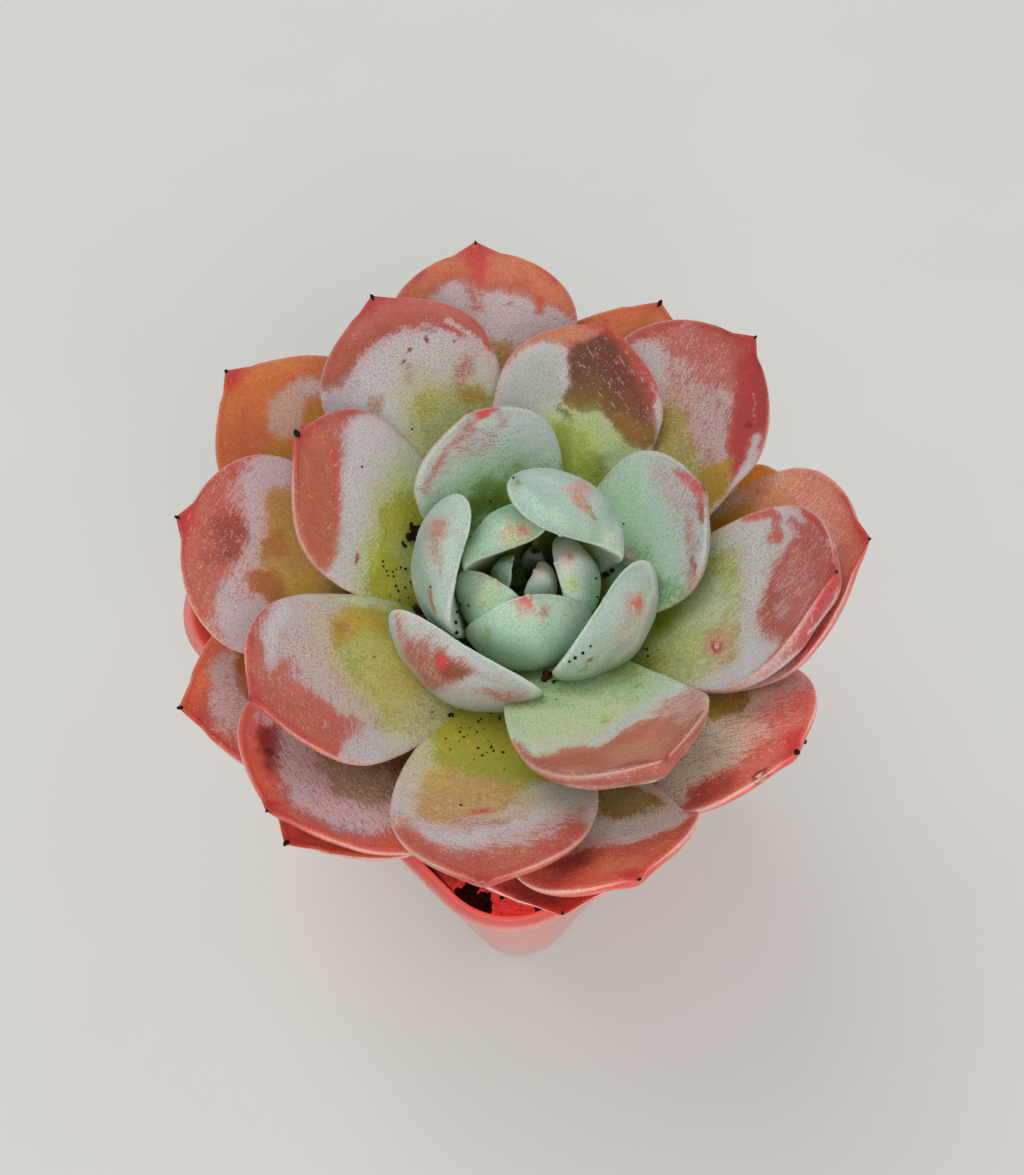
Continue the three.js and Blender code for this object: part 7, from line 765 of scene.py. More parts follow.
        ("f", 0.3, 0.7, 0.85, 0, -1, ((11.7, -2.3), (10.6, -2.6), (9.9, -4.3), (10.9, -3.9))),
        # a painted highlight along the rim, painted shade in the hollow, and a lighter patch by the point
        ("x", (190, 206, 188), 0.6, 0.85, 0.5, 1, ((11.6, 3.3), (13.3, 0.5), (11.9, -2.1), (6.6, -2.7))),
        ("x", (114, 156, 128), 1.5, 0.7, 0, -1, ((10.1, -1.2), (7.3, -1.9), (5.9, -3.5), (7.3, -5.0), (9.4, -3.5))),
        ("x", (178, 198, 178), 1.2, 0.7, 0, -1, ((11.4, 2.9), (10.1, 2.8), (10.0, -0.5), (10.9, -2.6), (12.1, -0.5))),
    ],
    "bud_leaf_right": [
        ("t", (196, 124, 108), 0.6, 0.85, 0, 1, ((10.7, -0.4), (6.7, 2.1), (5.8, 0.4), (7.9, -0.7))),
        ("f", 0.45, 0.6, 0.85, 0, 1, ((10.7, -0.4), (6.7, 2.1), (5.8, 0.4), (7.9, -0.7))),
        ("x", (172, 188, 162), 1, 0.7, 0, -1, ((8.2, -1.6), (7.6, 1.3), (6.2, 1.8), (2.2, 1.8), (6.2, -1.2))),
        ("t", (196, 100, 88), 0.6, 0.8, 0, -1, ((8.3, 0.3), (7.6, 1.2), (7.7, 0.1), (8.0, -0.3))),
        ("f", 0.2, 0.5, 0.7, 0, -1, ((8.3, 0.3), (7.6, 1.2), (7.7, 0.1), (8.0, -0.3))),
    ],
    "bud_leaf_left": [
        ("f", 0.3, 2, 0.8, 0, -1, ((5.1, -1.0), (5.7, -1.8), (11.0, 0.0), (10.2, 1.7), (8.9, 3.8), (3.9, 1.7), (4.2, -0.0))),
    ],
    "inner_leaf_left": [
        ("t", (150, 170, 154), 2, 1, 0, -1, ((13.8, -2.0), (14.2, -4.5), (13.5, -7.7), (13.0, -10.8), (16.7, -9.2), (18.5, -9.2), (20.1, -6.6), (21.8, -4.3), (23.2, -0.9), (24.0, 2.3), (24.4, 5.4), (23.4, 8.8), (8.4, 8.4), (13.8, 10.2), (9.8, 6.8), (11.0, 4.7), (12.0, 2.3), (13.0, 0.2))),
        ("f", 0.86, 2, 1, 0, -1, ((13.8, -2.0), (14.2, -4.5), (13.5, -7.7), (13.0, -10.8), (16.7, -9.2), (18.5, -9.2), (20.1, -6.6), (21.8, -4.3), (23.2, -0.9), (24.0, 2.3), (24.4, 5.4), (23.4, 8.8), (8.4, 8.4), (13.8, 10.2), (9.8, 6.8), (11.0, 4.7), (12.0, 2.3), (13.0, 0.2))),
        ("t", (204, 120, 112), 1.1, 0.85, 0, -1, ((16.5, -4.5), (19.2, -4.7), (21.0, -1.5), (19.7, 0.1))),
        ("f", 0.42, 1, 0.85, 0, -1, ((16.5, -4.5), (19.2, -4.7), (21.0, -1.5), (19.7, 0.1))),
        ("t", (206, 78, 78), 0.6, 0.85, 0, -1, ((18.6, -3.7), (19.8, -3.4), (20.3, -1.3), (19.4, -1.4))),
        ("f", 0.15, 0.6, 0.85, 0, -1, ((18.6, -3.7), (19.8, -3.4), (20.3, -1.3), (19.4, -1.4))),
        ("t", (172, 136, 120), 1, 0.7, 0, -1, ((17.9, -1.1), (20.8, -0.5), (20.6, 2.8), (19.0, 2.8))),
        ("f", 0.55, 1, 0.7, 0, -1, ((17.9, -1.1), (20.8, -0.5), (20.6, 2.8), (19.0, 2.8))),
        ("t", (150, 104, 72), 0.4, 0.85, 0.55, -1, ((18.4, 5.1), (17.8, 7.2))),
        ("f", 0.25, 0.4, 0.85, 0.5, -1, ((18.4, 5.1), (17.8, 7.2))),
        ("t", (140, 140, 80), 0.5, 0.7, 0.5, -1, ((19.4, 6.9), (19.0, 7.7))),
        # a painted highlight along the rim, painted shade on the left, and a lighter band in the middle
        ("x", (200, 210, 196), 0.6, 0.85, 0.5, 1, ((18.9, -7.9), (20.7, -4.7), (21.3, -1.1), (21.2, 2.2), (9.5, 2.0))),
        ("x", (126, 162, 136), 1.6, 0.7, 0, -1, ((15.1, -2.8), (15.8, 0.8), (15.8, 3.7), (15.3, 5.7), (10.7, 5.6), (13.5, 8.7), (18.7, 7.1), (19.2, 4.9), (19.0, 2.5), (18.8, 0.0), (17.7, -3.2))),
        ("x", (180, 196, 186), 1.5, 0.6, 0, -1, ((18.0, -6.0), (19.2, -6.4), (20.4, -3.5), (21.2, -1.2), (21.1, 0.7), (20.7, 2.6), (19.8, 1.4), (19.5, -1.9))),
        ("t", (160, 128, 104), 0.8, 0.8, 0, -1, ((18.0, -4.5), (19.7, -3.7), (21.1, 0.2), (20.4, 3.5), (19.7, 1.7), (18.6, -1.5))),
        ("f", 0.4, 0.8, 0.8, 0, -1, ((18.0, -4.5), (19.7, -3.7), (21.1, 0.2), (20.4, 3.5), (19.7, 1.7), (18.6, -1.5))),
    ],
    "inner_leaf_back": [
        ("t", (152, 172, 154), 2, 1, 0, -1, ((16.4, 9.4), (14.3, 9.0), (11.0, 9.2), (13.8, 5.6), (13.6, 3.2), (13.0, 1.0), (12.6, -1.4), (15.3, -4.7), (16.1, -7.1), (14.5, -9.2), (4.8, -7.5), (5.1, -4.5), (21.9, -3.3), (21.0, -1.0), (20.4, 2.4), (19.1, 5.8))),
        ("f", 0.86, 2, 1, 0, -1, ((16.4, 9.4), (14.3, 9.0), (11.0, 9.2), (13.8, 5.6), (13.6, 3.2), (13.0, 1.0), (12.6, -1.4), (15.3, -4.7), (16.1, -7.1), (14.5, -9.2), (4.8, -7.5), (5.1, -4.5), (21.9, -3.3), (21.0, -1.0), (20.4, 2.4), (19.1, 5.8))),
        ("t", (206, 132, 124), 1.1, 0.85, 0, -1, ((17.5, 2.2), (13.1, 1.3), (16.8, -1.7), (19.0, 0.2))),
        ("f", 0.45, 1, 0.85, 0, -1, ((17.5, 2.2), (13.1, 1.3), (16.8, -1.7), (19.0, 0.2))),
        ("t", (208, 88, 84), 0.6, 0.7, 0, -1, ((17.3, 1.1), (15.9, 0.1), (17.9, -0.4), (18.1, 0.6))),
        ("t", (176, 120, 80), 0.5, 0.8, 0.6, -1, ((18.6, -0.3),)),
        ("t", (134, 126, 74), 0.5, 0.85, 0.6, -1, ((18.3, -1.9), (18.6, -2.9))),
        ("f", 0.3, 0.5, 0.8, 0.6, -1, ((18.3, -1.9), (18.6, -2.9))),
        ("t", (120, 112, 70), 0.3, 0.8, 0.5, -1, ((17.6, 6.9),)),
        ("f", 0.3, 0.3, 0.8, 0.5, -1, ((17.6, 6.9),)),
        ("t", (140, 134, 90), 0.3, 0.7, 0.4, -1, ((18.5, -5.5), (18.3, -6.4))),
        # a painted highlight along the rim, a lighter upper part, painted shade below it and darker at the end, and a
        # painted highlight on the ridge
        ("x", (200, 210, 200), 0.6, 0.85, 0.5, -1, ((17.6, 7.6), (19.7, 4.6), (20.6, 1.3), (21.0, -0.5), (20.8, -2.4), (22.1, -5.7), (6.2, -6.7))),
        ("x", (182, 190, 186), 2, 0.6, 0, -1, ((16.5, 7.0), (16.3, 5.3), (15.5, 3.7), (15.8, 0.8), (14.3, -1.7), (15.9, -4.0), (17.2, -5.9), (19.6, -5.3), (19.6, -2.6), (18.4, 0.0), (18.3, 2.0), (17.9, 4.0))),
        ("x", (126, 162, 140), 1.6, 0.7, 0, -1, ((16.9, 7.7), (18.6, 4.1), (19.3, 2.3), (19.7, 0.5), (20.3, -1.2), (20.5, -2.9), (5.6, -4.6), (23.3, -4.7), (21.8, -2.1), (21.0, 0.4), (20.4, 2.4), (19.7, 4.5))),
        ("x", (118, 150, 122), 1.2, 0.7, 0, -1, ((16.4, 8.4), (16.0, 7.9), (17.9, 6.4), (18.2, 6.9))),
        ("x", (194, 204, 194), 0.5, 0.6, 0.35, -1, ((17.3, 6.8), (17.0, 4.5), (17.5, 0.8))),
        ("t", (176, 132, 106), 0.8, 0.8, 0, -1, ((17.7, 2.0), (17.6, 0.2), (18.1, -2.1), (19.3, -1.9), (19.3, 0.3))),
        ("f", 0.35, 0.8, 0.8, 0, -1, ((17.7, 2.0), (17.6, 0.2), (18.1, -2.1), (19.3, -1.9), (19.3, 0.3))),
    ],
    "middle_leaf_front": [
        ("t", (162, 178, 138), 2, 1, 0, -1, ((12.3, -8.9), (11.0, -6.7), (6.5, -3.4), (5.0, -1.7), (4.6, -1.5), (25.5, 11.2), (25.5, 11.3), (25.5, 11.5), (25.7, 12.2), (32.3, 10.2), (34.5, 8.1), (35.1, 6.6), (37.2, 2.6), (37.9, -0.5), (36.6, -2.7), (35.1, -4.8), (33.5, -6.9), (32.3, -8.4), (30.8, -9.9), (30.0, -11.6), (26.1, -11.4), (22.0, -11.4), (17.2, -10.1))),
        ("f", 0.6, 2, 1, 0, -1, ((12.3, -8.9), (11.0, -6.7), (6.5, -3.4), (5.0, -1.7), (4.6, -1.5), (25.5, 11.2), (25.5, 11.3), (25.5, 11.5), (25.7, 12.2), (32.3, 10.2), (34.5, 8.1), (35.1, 6.6), (37.2, 2.6), (37.9, -0.5), (36.6, -2.7), (35.1, -4.8), (33.5, -6.9), (32.3, -8.4), (30.8, -9.9), (30.0, -11.6), (26.1, -11.4), (22.0, -11.4), (17.2, -10.1))),
        ("t", (158, 168, 90), 1.4, 0.8, 0, 1, ((14.3, -2.5), (15.0, 0.2), (15.9, 2.7), (18.8, 4.3), (21.9, 5.6), (22.1, 3.6), (22.6, 1.6), (20.7, -1.0), (17.1, -1.7))),
        ("f", 0.38, 1.2, 0.8, 0, 1, ((14.3, -2.5), (15.0, 0.2), (15.9, 2.7), (18.8, 4.3), (21.9, 5.6), (22.1, 3.6), (22.6, 1.6), (20.7, -1.0), (17.1, -1.7))),
        ("t", (148, 152, 44), 0.9, 0.9, 0, 1, ((16.8, -1.0), (19.7, 1.0), (23.3, 2.0), (23.9, 0.2), (20.4, -1.1))),
        ("f", 0.14, 0.7, 0.9, 0, 1, ((16.9, -0.8), (19.8, 1.0), (23.2, 1.8), (23.7, 0.3), (20.5, -0.9))),
        ("t", (178, 180, 176), 1.2, 0.9, 0, 1, ((23.2, -10.9), (23.8, -8.3), (24.1, -5.6), (25.1, -3.6), (26.5, -1.7), (23.8, 1.5), (23.4, 4.9), (23.0, 7.8), (23.7, 9.5), (24.1, 11.3), (28.8, 11.3), (30.7, 8.3), (27.9, 6.1), (27.0, 3.2), (28.2, 0.0), (28.6, -2.6), (27.5, -4.6), (26.8, -6.6), (27.6, -8.7), (28.6, -10.8))),
        ("f", 0.97, 0.8, 1, 0, 1, ((23.0, -11.1), (24.0, -8.5), (24.1, -5.5), (24.9, -3.5), (26.2, -1.6), (23.8, 1.5), (23.4, 5.0), (23.0, 7.8), (23.7, 9.5), (24.1, 11.3), (29.2, 11.3), (30.5, 8.5), (27.7, 6.2), (26.8, 3.3), (28.2, 0.0), (28.6, -2.6), (27.5, -4.6), (26.8, -6.6), (27.9, -8.8), (28.9, -10.9))),
        ("t", (166, 96, 76), 0.9, 1, 0, 1, ((28.8, -10.6), (27.9, -8.7), (26.5, -6.5), (27.2, -4.4), (28.1, -2.4), (27.4, 0.4), (26.8, 3.3), (27.9, 5.4), (30.1, 7.2), (30.7, 9.5), (38.5, 7.1), (36.3, 5.2), (42.2, 1.0), (43.5, -1.9), (37.6, -2.4), (36.8, -4.2), (35.7, -6.0), (34.2, -8.1), (33.1, -10.3))),
        ("f", 0.08, 0.7, 1, 0, 1, ((28.5, -10.3), (26.8, -6.6), (27.4, -4.5), (28.6, -2.6), (27.7, 0.3), (27.0, 3.2), (28.1, 5.3), (30.4, 7.1), (31.2, 9.2), (38.5, 7.1), (36.3, 5.2), (42.2, 1.0), (43.5, -1.9), (37.6, -2.4), (36.8, -4.2), (35.7, -6.0), (34.2, -8.1), (33.1, -10.3))),
        ("t", (176, 116, 88), 1.2, 0.7, 0, 1, ((29.8, -3.1), (30.6, -1.0), (31.4, 1.0), (34.3, 2.7), (37.4, 0.3), (35.2, -1.0), (34.0, -2.8))),
        ("t", (156, 78, 56), 1.4, 0.6, 0, 1, ((28.4, -9.6), (28.6, -7.3), (28.9, -5.2), (29.8, -3.1), (35.8, -5.9), (34.6, -7.5), (33.0, -9.1))),
        ("t", (138, 48, 40), 0.6, 0.9, 0, 1, ((34.9, -6.8), (35.2, -5.2), (35.7, -3.6), (36.3, -2.1), (37.3, -0.8), (39.3, 0.4), (38.6, -1.1), (37.2, -3.2), (36.6, -4.6), (35.8, -6.0))),
        ("t", (192, 130, 128), 0.7, 0.85, 0, -1, ((29.2, -10.8), (33.0, -9.1), (34.3, -7.7), (35.4, -6.0), (36.1, -4.2), (36.7, -2.9), (37.2, -1.4), (36.9, 1.4), (38.8, -0.3), (35.2, -2.2), (34.6, -5.2), (32.4, -6.7), (31.9, -8.7), (30.7, -10.9))),
        ("f", 0.42, 0.6, 0.8, 0, -1, ((29.2, -10.8), (31.5, -10.1), (32.8, -9.2), (34.0, -7.7), (35.2, -6.0), (35.8, -4.2), (36.4, -2.8), (36.7, -1.3), (35.7, 1.9), (38.8, -0.3), (35.2, -2.2), (34.6, -5.2), (32.4, -6.7), (31.9, -8.7), (30.7, -10.9))),
        ("t", (150, 52, 48), 0.6, 0.8, 0, -1, ((33.7, -7.7), (34.6, -6.4), (35.1, -5.1), (36.0, -3.8), (36.4, -2.3), (34.8, -2.5), (34.7, -4.3), (34.0, -5.9))),
        ("f", 0.05, 0.5, 0.8, 0, -1, ((33.7, -7.7), (34.6, -6.4), (35.1, -5.1), (36.0, -3.8), (36.4, -2.3), (34.8, -2.5), (34.7, -4.3), (34.0, -5.9))),
        ("b", 1, 1, 1, 0, 1, ((19.8, 6.5), (21.9, 8.8), (23.8, 11.1), (27.7, 12.7), (36.6, 8.2), (35.7, 6.2), (36.4, 4.9), (32.0, 4.7), (28.0, 4.0), (24.0, 5.4))),
        ("f", 0.66, 0.9, 0.75, 0, 1, ((24.5, 7.3), (25.9, 9.5), (27.4, 11.7), (34.4, 8.4), (31.4, 7.6), (29.2, 6.4))),
        ("t", (176, 112, 98), 1, 0.6, 0, 1, ((24.5, 7.3), (25.9, 9.5), (27.4, 11.7), (34.4, 8.4), (31.4, 7.6), (29.2, 6.4))),
        ("w", 0.4, 1, 1, 0, 1, ((27.2, -6.8), (26.9, -3.6), (27.2, -0.5), (28.1, 2.3), (29.9, 4.9), (32.6, 7.1), (36.6, 4.4), (40.3, 1.6), (35.8, 0.6), (34.5, -1.9), (35.7, -5.2), (34.6, -7.6), (30.8, -7.1))),
        ("t", (196, 40, 44), 0.25, 0.9, 0.35, 1, ((38.7, -0.9), (39.3, 0.4))),
        ("t", (172, 106, 92), 1.2, 0.8, 0, 1, ((26.3, 5.5), (24.7, 8.7), (24.6, 11.6), (30.1, 11.4), (38.5, 7.1), (35.2, 6.6), (33.0, 5.5))),
        ("f", 0.42, 1, 0.8, 0, 1, ((26.3, 5.5), (24.7, 8.7), (24.6, 11.6), (30.1, 11.4), (38.5, 7.1), (35.2, 6.6), (33.0, 5.5))),
        ("b", 1, 1, 1, 0, 1, ((26.4, 4.8), (25.8, 7.2), (24.7, 9.7), (25.8, 11.3), (28.2, 12.5), (33.6, 9.7), (34.5, 7.9), (34.8, 6.3), (30.0, 5.8))),
        ("x", (178, 190, 160), 3, 0.85, 0, 1, ((13.1, -8.5), (13.7, -5.7), (14.1, -2.8), (14.7, 0.1), (15.9, 2.7), (18.8, 4.3), (21.9, 5.6), (24.4, 1.7), (27.2, -2.0), (27.1, -5.2), (27.9, -8.6), (27.8, -11.7), (23.0, -10.5), (18.3, -9.5))),
        ("t", (150, 150, 80), 2.5, 0.5, 0, 1, ((10.8, -7.2), (12.3, -4.2), (13.7, -1.2), (15.2, 1.7), (17.8, 3.3), (20.8, 4.7), (22.6, 1.9), (24.8, -1.0), (24.3, -3.2), (24.0, -5.5), (24.4, -8.1), (17.4, -7.4))),
        ("t", (188, 112, 98), 1.5, 0.6, 0, 1, ((23.9, -8.5), (24.1, -5.9), (24.2, -3.4), (24.8, -1.0), (23.8, 2.5), (23.4, 5.8), (23.4, 8.9), (27.8, 8.7), (29.9, 5.3), (32.5, 1.7), (30.4, -0.1), (29.3, -2.4), (28.7, -4.8), (28.5, -7.3))),
        ("t", (150, 84, 60), 0.8, 0.5, 0, 1, ((27.6, -2.2), (27.7, 0.3), (28.1, 2.6), (27.9, 5.4), (29.4, 3.3), (30.9, 1.2), (30.5, -0.5), (30.3, -2.2))),
        # lighter mint and more wax at the foot: the leaf's own colours, made lighter as painted light where the heart
        # shades it
        ("t", (150, 168, 124), 2.5, 0.7, 0, 1, ((11.1, -6.7), (9.8, -3.3), (8.7, 0.0), (9.8, 2.4), (10.8, 4.7), (14.0, 6.2), (17.7, 7.4), (20.3, 5.3), (22.9, 3.1), (21.6, 0.1), (20.9, -3.1), (19.0, -5.2), (17.4, -7.4))),
        ("f", 0.55, 2.5, 0.7, 0, 1, ((11.1, -6.7), (9.8, -3.3), (8.7, 0.0), (9.8, 2.4), (10.8, 4.7), (14.0, 6.2), (17.7, 7.4), (20.3, 5.3), (22.9, 3.1), (21.6, 0.1), (20.9, -3.1), (19.0, -5.2), (17.4, -7.4))),
        ("f", 0.85, 1.5, 0.7, 0, 1, ((16.5, -7.7), (16.7, -5.3), (16.5, -2.7), (16.9, -0.3), (17.6, 2.1), (20.1, 3.2), (22.3, 4.3), (22.5, 2.1), (22.9, -0.1), (22.7, -2.6), (22.9, -5.1), (21.9, -6.8), (21.1, -8.6))),
        ("t", (150, 78, 64), 0.8, 1, 0, -1, ((22.9, -10.5), (25.9, -9.9), (28.8, -9.3), (33.4, -8.8), (34.5, -7.3), (35.4, -5.6), (35.5, -3.7), (36.6, -1.9), (36.7, 0.3), (35.6, 2.6), (35.6, 4.6), (35.1, 6.3), (34.7, 8.1), (34.6, 9.6), (38.0, 6.5), (38.8, 4.2), (39.4, 1.7), (39.5, -0.7), (38.9, -3.0), (37.6, -5.5), (36.2, -8.0), (35.2, -10.5), (32.7, -11.3), (29.8, -11.9), (26.9, -12.6))),
        ("f", 0.22, 0.8, 0.9, 0, -1, ((22.9, -10.5), (25.9, -9.9), (28.8, -9.3), (33.4, -8.8), (34.5, -7.3), (35.4, -5.6), (35.5, -3.7), (36.6, -1.9), (36.7, 0.3), (35.6, 2.6), (35.6, 4.6), (35.1, 6.3), (34.7, 8.1), (34.6, 9.6), (38.0, 6.5), (38.8, 4.2), (39.4, 1.7), (39.5, -0.7), (38.9, -3.0), (37.6, -5.5), (36.2, -8.0), (35.2, -10.5), (32.7, -11.3), (29.8, -11.9), (26.9, -12.6))),
    ],
}

# Grains of soil lying on leaves: leaf, face, along, across, size, kind.
GRAINS = [
    ("outer_leaf_left", 1, 15.97, -0.21, 2.4, "clump"),
    ("outer_leaf_left", 1, 16.40, 1.89, 0.9, "clump"),
    ("outer_leaf_left_front", 1, 10.79, -5.33, 2, "redclump"),
    ("outer_leaf_left_front", 1, 10.94, -4.18, 1, "redclump"),
    ("middle_leaf_right", 1, 8.21, -1.69, 1.2, "clump"),
    ("middle_leaf_right", 1, 9.09, -1.78, 0.7, "black"),
    ("middle_leaf_right", 1, 12.01, -1.61, 2.2, "pale"),
    ("middle_leaf_right", 1, 12.21, -2.62, 1, "pale"),
    ("middle_leaf_front", 1, 9.92, -2.00, 1.3, "red"),
    ("middle_leaf_front", 1, 10.52, -2.72, 0.8, "red"),
    ("middle_leaf_front", 1, 11.46, -1.71, 0.9, "clump"),
    ("bud_leaf_back", -1, 9.58, -2.10, 1.1, "clump"),
    ("bud_leaf_back", -1, 9.33, -2.63, 1.2, "clump"),
    ("bud_leaf_back", -1, 9.22, -2.85, 0.8, "black"),
    ("bud_leaf_back", -1, 9.17, -1.87, 0.7, "black"),
    ("bud_leaf_back", -1, 9.41, -2.47, 0.45, "pale"),
    ("inner_leaf_left", 1, 14.74, 6.32, 0.5, "black"),
    ("inner_leaf_left", 1, 16.86, 8.06, 0.5, "black"),
    ("inner_leaf_left", 1, 15.91, 9.46, 0.6, "black"),
    ("heart_leaf_left", -1, 9.54, -2.94, 0.35, "black"),
    ("outer_leaf_left", 1, 12.38, 5.69, 0.3, "black"),
    ("inner_leaf_right", -1, 20.31, -7.36, 0.5, "black"),
    ("inner_leaf_right", -1, 20.57, -6.44, 0.5, "black"),
    ("inner_leaf_right", -1, 19.95, -8.02, 0.4, "black"),
    ("inner_leaf_right", -1, 20.93, -5.35, 0.35, "black"),
    ("middle_leaf_right", 1, 5.00, -4.94, 0.5, "black"),
    ("heart_leaf_right", -1, 6.90, -3.12, 0.35, "black"),
    ("outer_leaf_front", 1, 15.25, -7.32, 0.95, "clump"),
    ("outer_leaf_front", 1, 13.93, -7.76, 0.55, "black"),
    ("outer_leaf_front", 1, 14.82, -1.34, 0.7, "clump"),
    ("outer_leaf_front", 1, 13.57, -5.61, 0.4, "black"),
    ("outer_leaf_front", 1, 13.93, -3.59, 0.25, "black"),
    ("outer_leaf_front", 1, 14.11, -2.56, 0.3, "black"),
    ("outer_leaf_front", 1, 18.29, -5.78, 0.35, "black"),
    ("outer_leaf_front", 1, 19.09, -5.20, 0.25, "black"),
    ("outer_leaf_front", 1, 17.92, -3.72, 0.35, "black"),
    ("outer_leaf_front", 1, 17.49, -5.85, 0.25, "black"),
    ("outer_leaf_front", 1, 15.88, -3.89, 0.3, "black"),
    ("outer_leaf_front", 1, 15.35, -3.65, 0.3, "black"),
    ("outer_leaf_front", 1, 17.04, -2.98, 0.2, "black"),
    ("outer_leaf_front", 1, 13.75, -1.75, 0.25, "black"),
    ("outer_leaf_front", 1, 20.84, -3.16, 0.35, "black"),
    ("outer_leaf_front", 1, 20.42, -1.63, 0.4, "black"),
    ("outer_leaf_front", 1, 21.04, -1.23, 0.3, "black"),
    ("outer_leaf_front", 1, 21.16, -0.07, 0.35, "black"),
    ("outer_leaf_front", 1, 22.06, -2.49, 0.3, "black"),
    ("outer_leaf_front", 1, 18.68, -4.84, 0.2, "black"),
    ("outer_leaf_front", 1, 21.58, -6.41, 0.25, "black"),
    ("outer_leaf_front", 1, 19.96, -5.62, 0.2, "black"),
    ("outer_leaf_front", 1, 19.36, -2.15, 0.2, "black"),
    ("outer_leaf_front", 1, 21.42, -1.98, 0.25, "black"),
    ("outer_leaf_front", 1, 17.31, -4.75, 0.2, "black"),
    ("outer_leaf_front", 1, 24.35, 0.44, 0.2, "black"),
    ("outer_leaf_front", 1, 31.54, -3.76, 0.3, "black"),
    ("outer_leaf_front", 1, 22.94, -3.33, 0.2, "black"),
    ("outer_leaf_front", 1, 19.80, -7.32, 0.25, "black"),
    ("lower_leaf_left_front", 1, 21.46, 3.29, 0.7, "clump"),
    ("lower_leaf_left_front", 1, 21.14, 2.29, 0.4, "black"),
    ("lower_leaf_left_front", 1, 26.64, 4.00, 0.25, "black"),
    ("lower_leaf_left_front", 1, 27.13, 5.21, 0.25, "black"),
    ("lower_leaf_left_front", 1, 30.56, 5.75, 0.25, "black"),
    ("outer_leaf_left", 1, 17.83, 5.63, 0.35, "black"),
    ("outer_leaf_left", 1, 17.40, 6.12, 0.35, "black"),
    ("outer_leaf_left", 1, 16.68, 6.36, 0.35, "black"),
    ("outer_leaf_left", 1, 16.11, 6.76, 0.3, "black"),
    ("outer_leaf_left", 1, 15.39, 6.30, 0.35, "black"),
    ("outer_leaf_left", 1, 15.82, 5.88, 0.3, "black"),
    ("outer_leaf_left", 1, 15.54, 5.30, 0.3, "black"),
    ("outer_leaf_left", 1, 15.11, 4.70, 0.35, "black"),
    ("outer_leaf_left", 1, 14.39, 4.42, 0.4, "black"),
    ("outer_leaf_left", 1, 14.39, 7.16, 0.45, "black"),
    ("outer_leaf_left", 1, 13.67, 7.51, 0.4, "black"),
    ("outer_leaf_left", 1, 13.10, 6.57, 0.3, "black"),
    ("outer_leaf_left", 1, 12.81, 5.48, 0.3, "black"),
    ("outer_leaf_left", 1, 14.24, 8.69, 0.25, "black"),
    ("outer_leaf_left", 1, 13.10, 4.56, 0.3, "black"),
    ("outer_leaf_left", 1, 11.95, 7.38, 0.25, "black"),
    ("outer_leaf_left", 1, 12.81, 8.36, 0.25, "black"),
    ("outer_leaf_left", 1, 27.09, -3.18, 0.3, "black"),
    ("outer_leaf_right", 1, 14.30, -4.97, 0.45, "black"),
    ("outer_leaf_right", 1, 14.80, -5.97, 0.4, "black"),
    ("outer_leaf_right", 1, 13.79, -4.73, 0.25, "black"),
    ("outer_leaf_right", 1, 15.99, -5.08, 0.2, "black"),
    ("outer_leaf_right", 1, 16.67, -4.46, 0.15, "black"),
    ("outer_leaf_right", 1, 17.52, -6.12, 0.15, "black"),
    ("middle_leaf_back", 1, 12.26, 1.25, 0.35, "black"),
    ("middle_leaf_back", 1, 10.19, 4.81, 0.3, "black"),
    ("inner_leaf_back", -1, 16.54, 8.00, 0.35, "black"),
    ("heart_leaf_back", -1, 6.23, -0.85, 0.3, "black"),
    ("heart_leaf_back", -1, 6.35, 1.70, 0.25, "black"),
    ("heart_leaf_back", -1, 6.54, 3.76, 0.25, "black"),
    ("middle_leaf_right", 1, 13.48, 2.92, 0.25, "black"),
    ("heart_leaf_right", -1, 8.46, -1.57, 0.4, "black"),
    ("heart_leaf_left", -1, 10.84, -1.48, 0.3, "black"),
    ("inner_leaf_left", -1, 18.65, 4.47, 0.3, "black"),
    ("lower_leaf_front", 1, 26.77, 4.28, 0.3, "black"),
    ("lower_leaf_front", 1, 27.50, 3.93, 0.25, "black"),
    ("outer_leaf_left_back", 1, 26.82, 2.87, 0.3, "black"),
    ("outer_leaf_left_front", 1, 18.15, 6.68, 0.2, "black"),
    ("outer_leaf_left_front", 1, 20.61, -1.32, 0.2, "black"),
    ("outer_leaf_left_front", 1, 19.95, -6.98, 0.25, "black"),
    ("outer_leaf_left_front", 1, 17.08, 8.15, 0.3, "black"),
    ("middle_leaf_front", 1, 13.25, -1.54, 0.2, "black"),
    ("middle_leaf_front", 1, 12.90, 0.56, 0.2, "black"),
    ("middle_leaf_front", 1, 15.58, 1.55, 0.18, "black"),
    ("middle_leaf_front", 1, 15.46, 3.28, 0.15, "black"),
    ("middle_leaf_front", 1, 15.18, -2.74, 0.18, "black"),
    ("middle_leaf_front", 1, 14.30, -6.38, 0.15, "black"),
    ("middle_leaf_front", 1, 13.22, -4.49, 0.15, "black"),
]


# ---- numbers ------------------------------------------------------------
def rad(a):
    return np.asarray(a, float) * math.pi / 180.0


def smooth(a, b, x):
    x = np.clip((np.asarray(x, float) - a) / (b - a), 0.0, 1.0)
    return x * x * (3.0 - 2.0 * x)


def lerp(a, b, w):
    return a + (b - a) * w


def hash3(ix, iy, iz, seed):
    """A repeatable number from 0 to 1 for each lattice point."""
    n = (ix.astype(np.int64) * 374761393 + iy.astype(np.int64) * 668265263
         + iz.astype(np.int64) * 2147483647 + seed * 974634777) & 0xFFFFFFFF
    n = ((n ^ (n >> 13)) * 1274126177) & 0xFFFFFFFF
    n = ((n ^ (n >> 16)) * 2246822519) & 0xFFFFFFFF
    return ((n ^ (n >> 15)) & 0xFFFFFF) / float(0xFFFFFF)


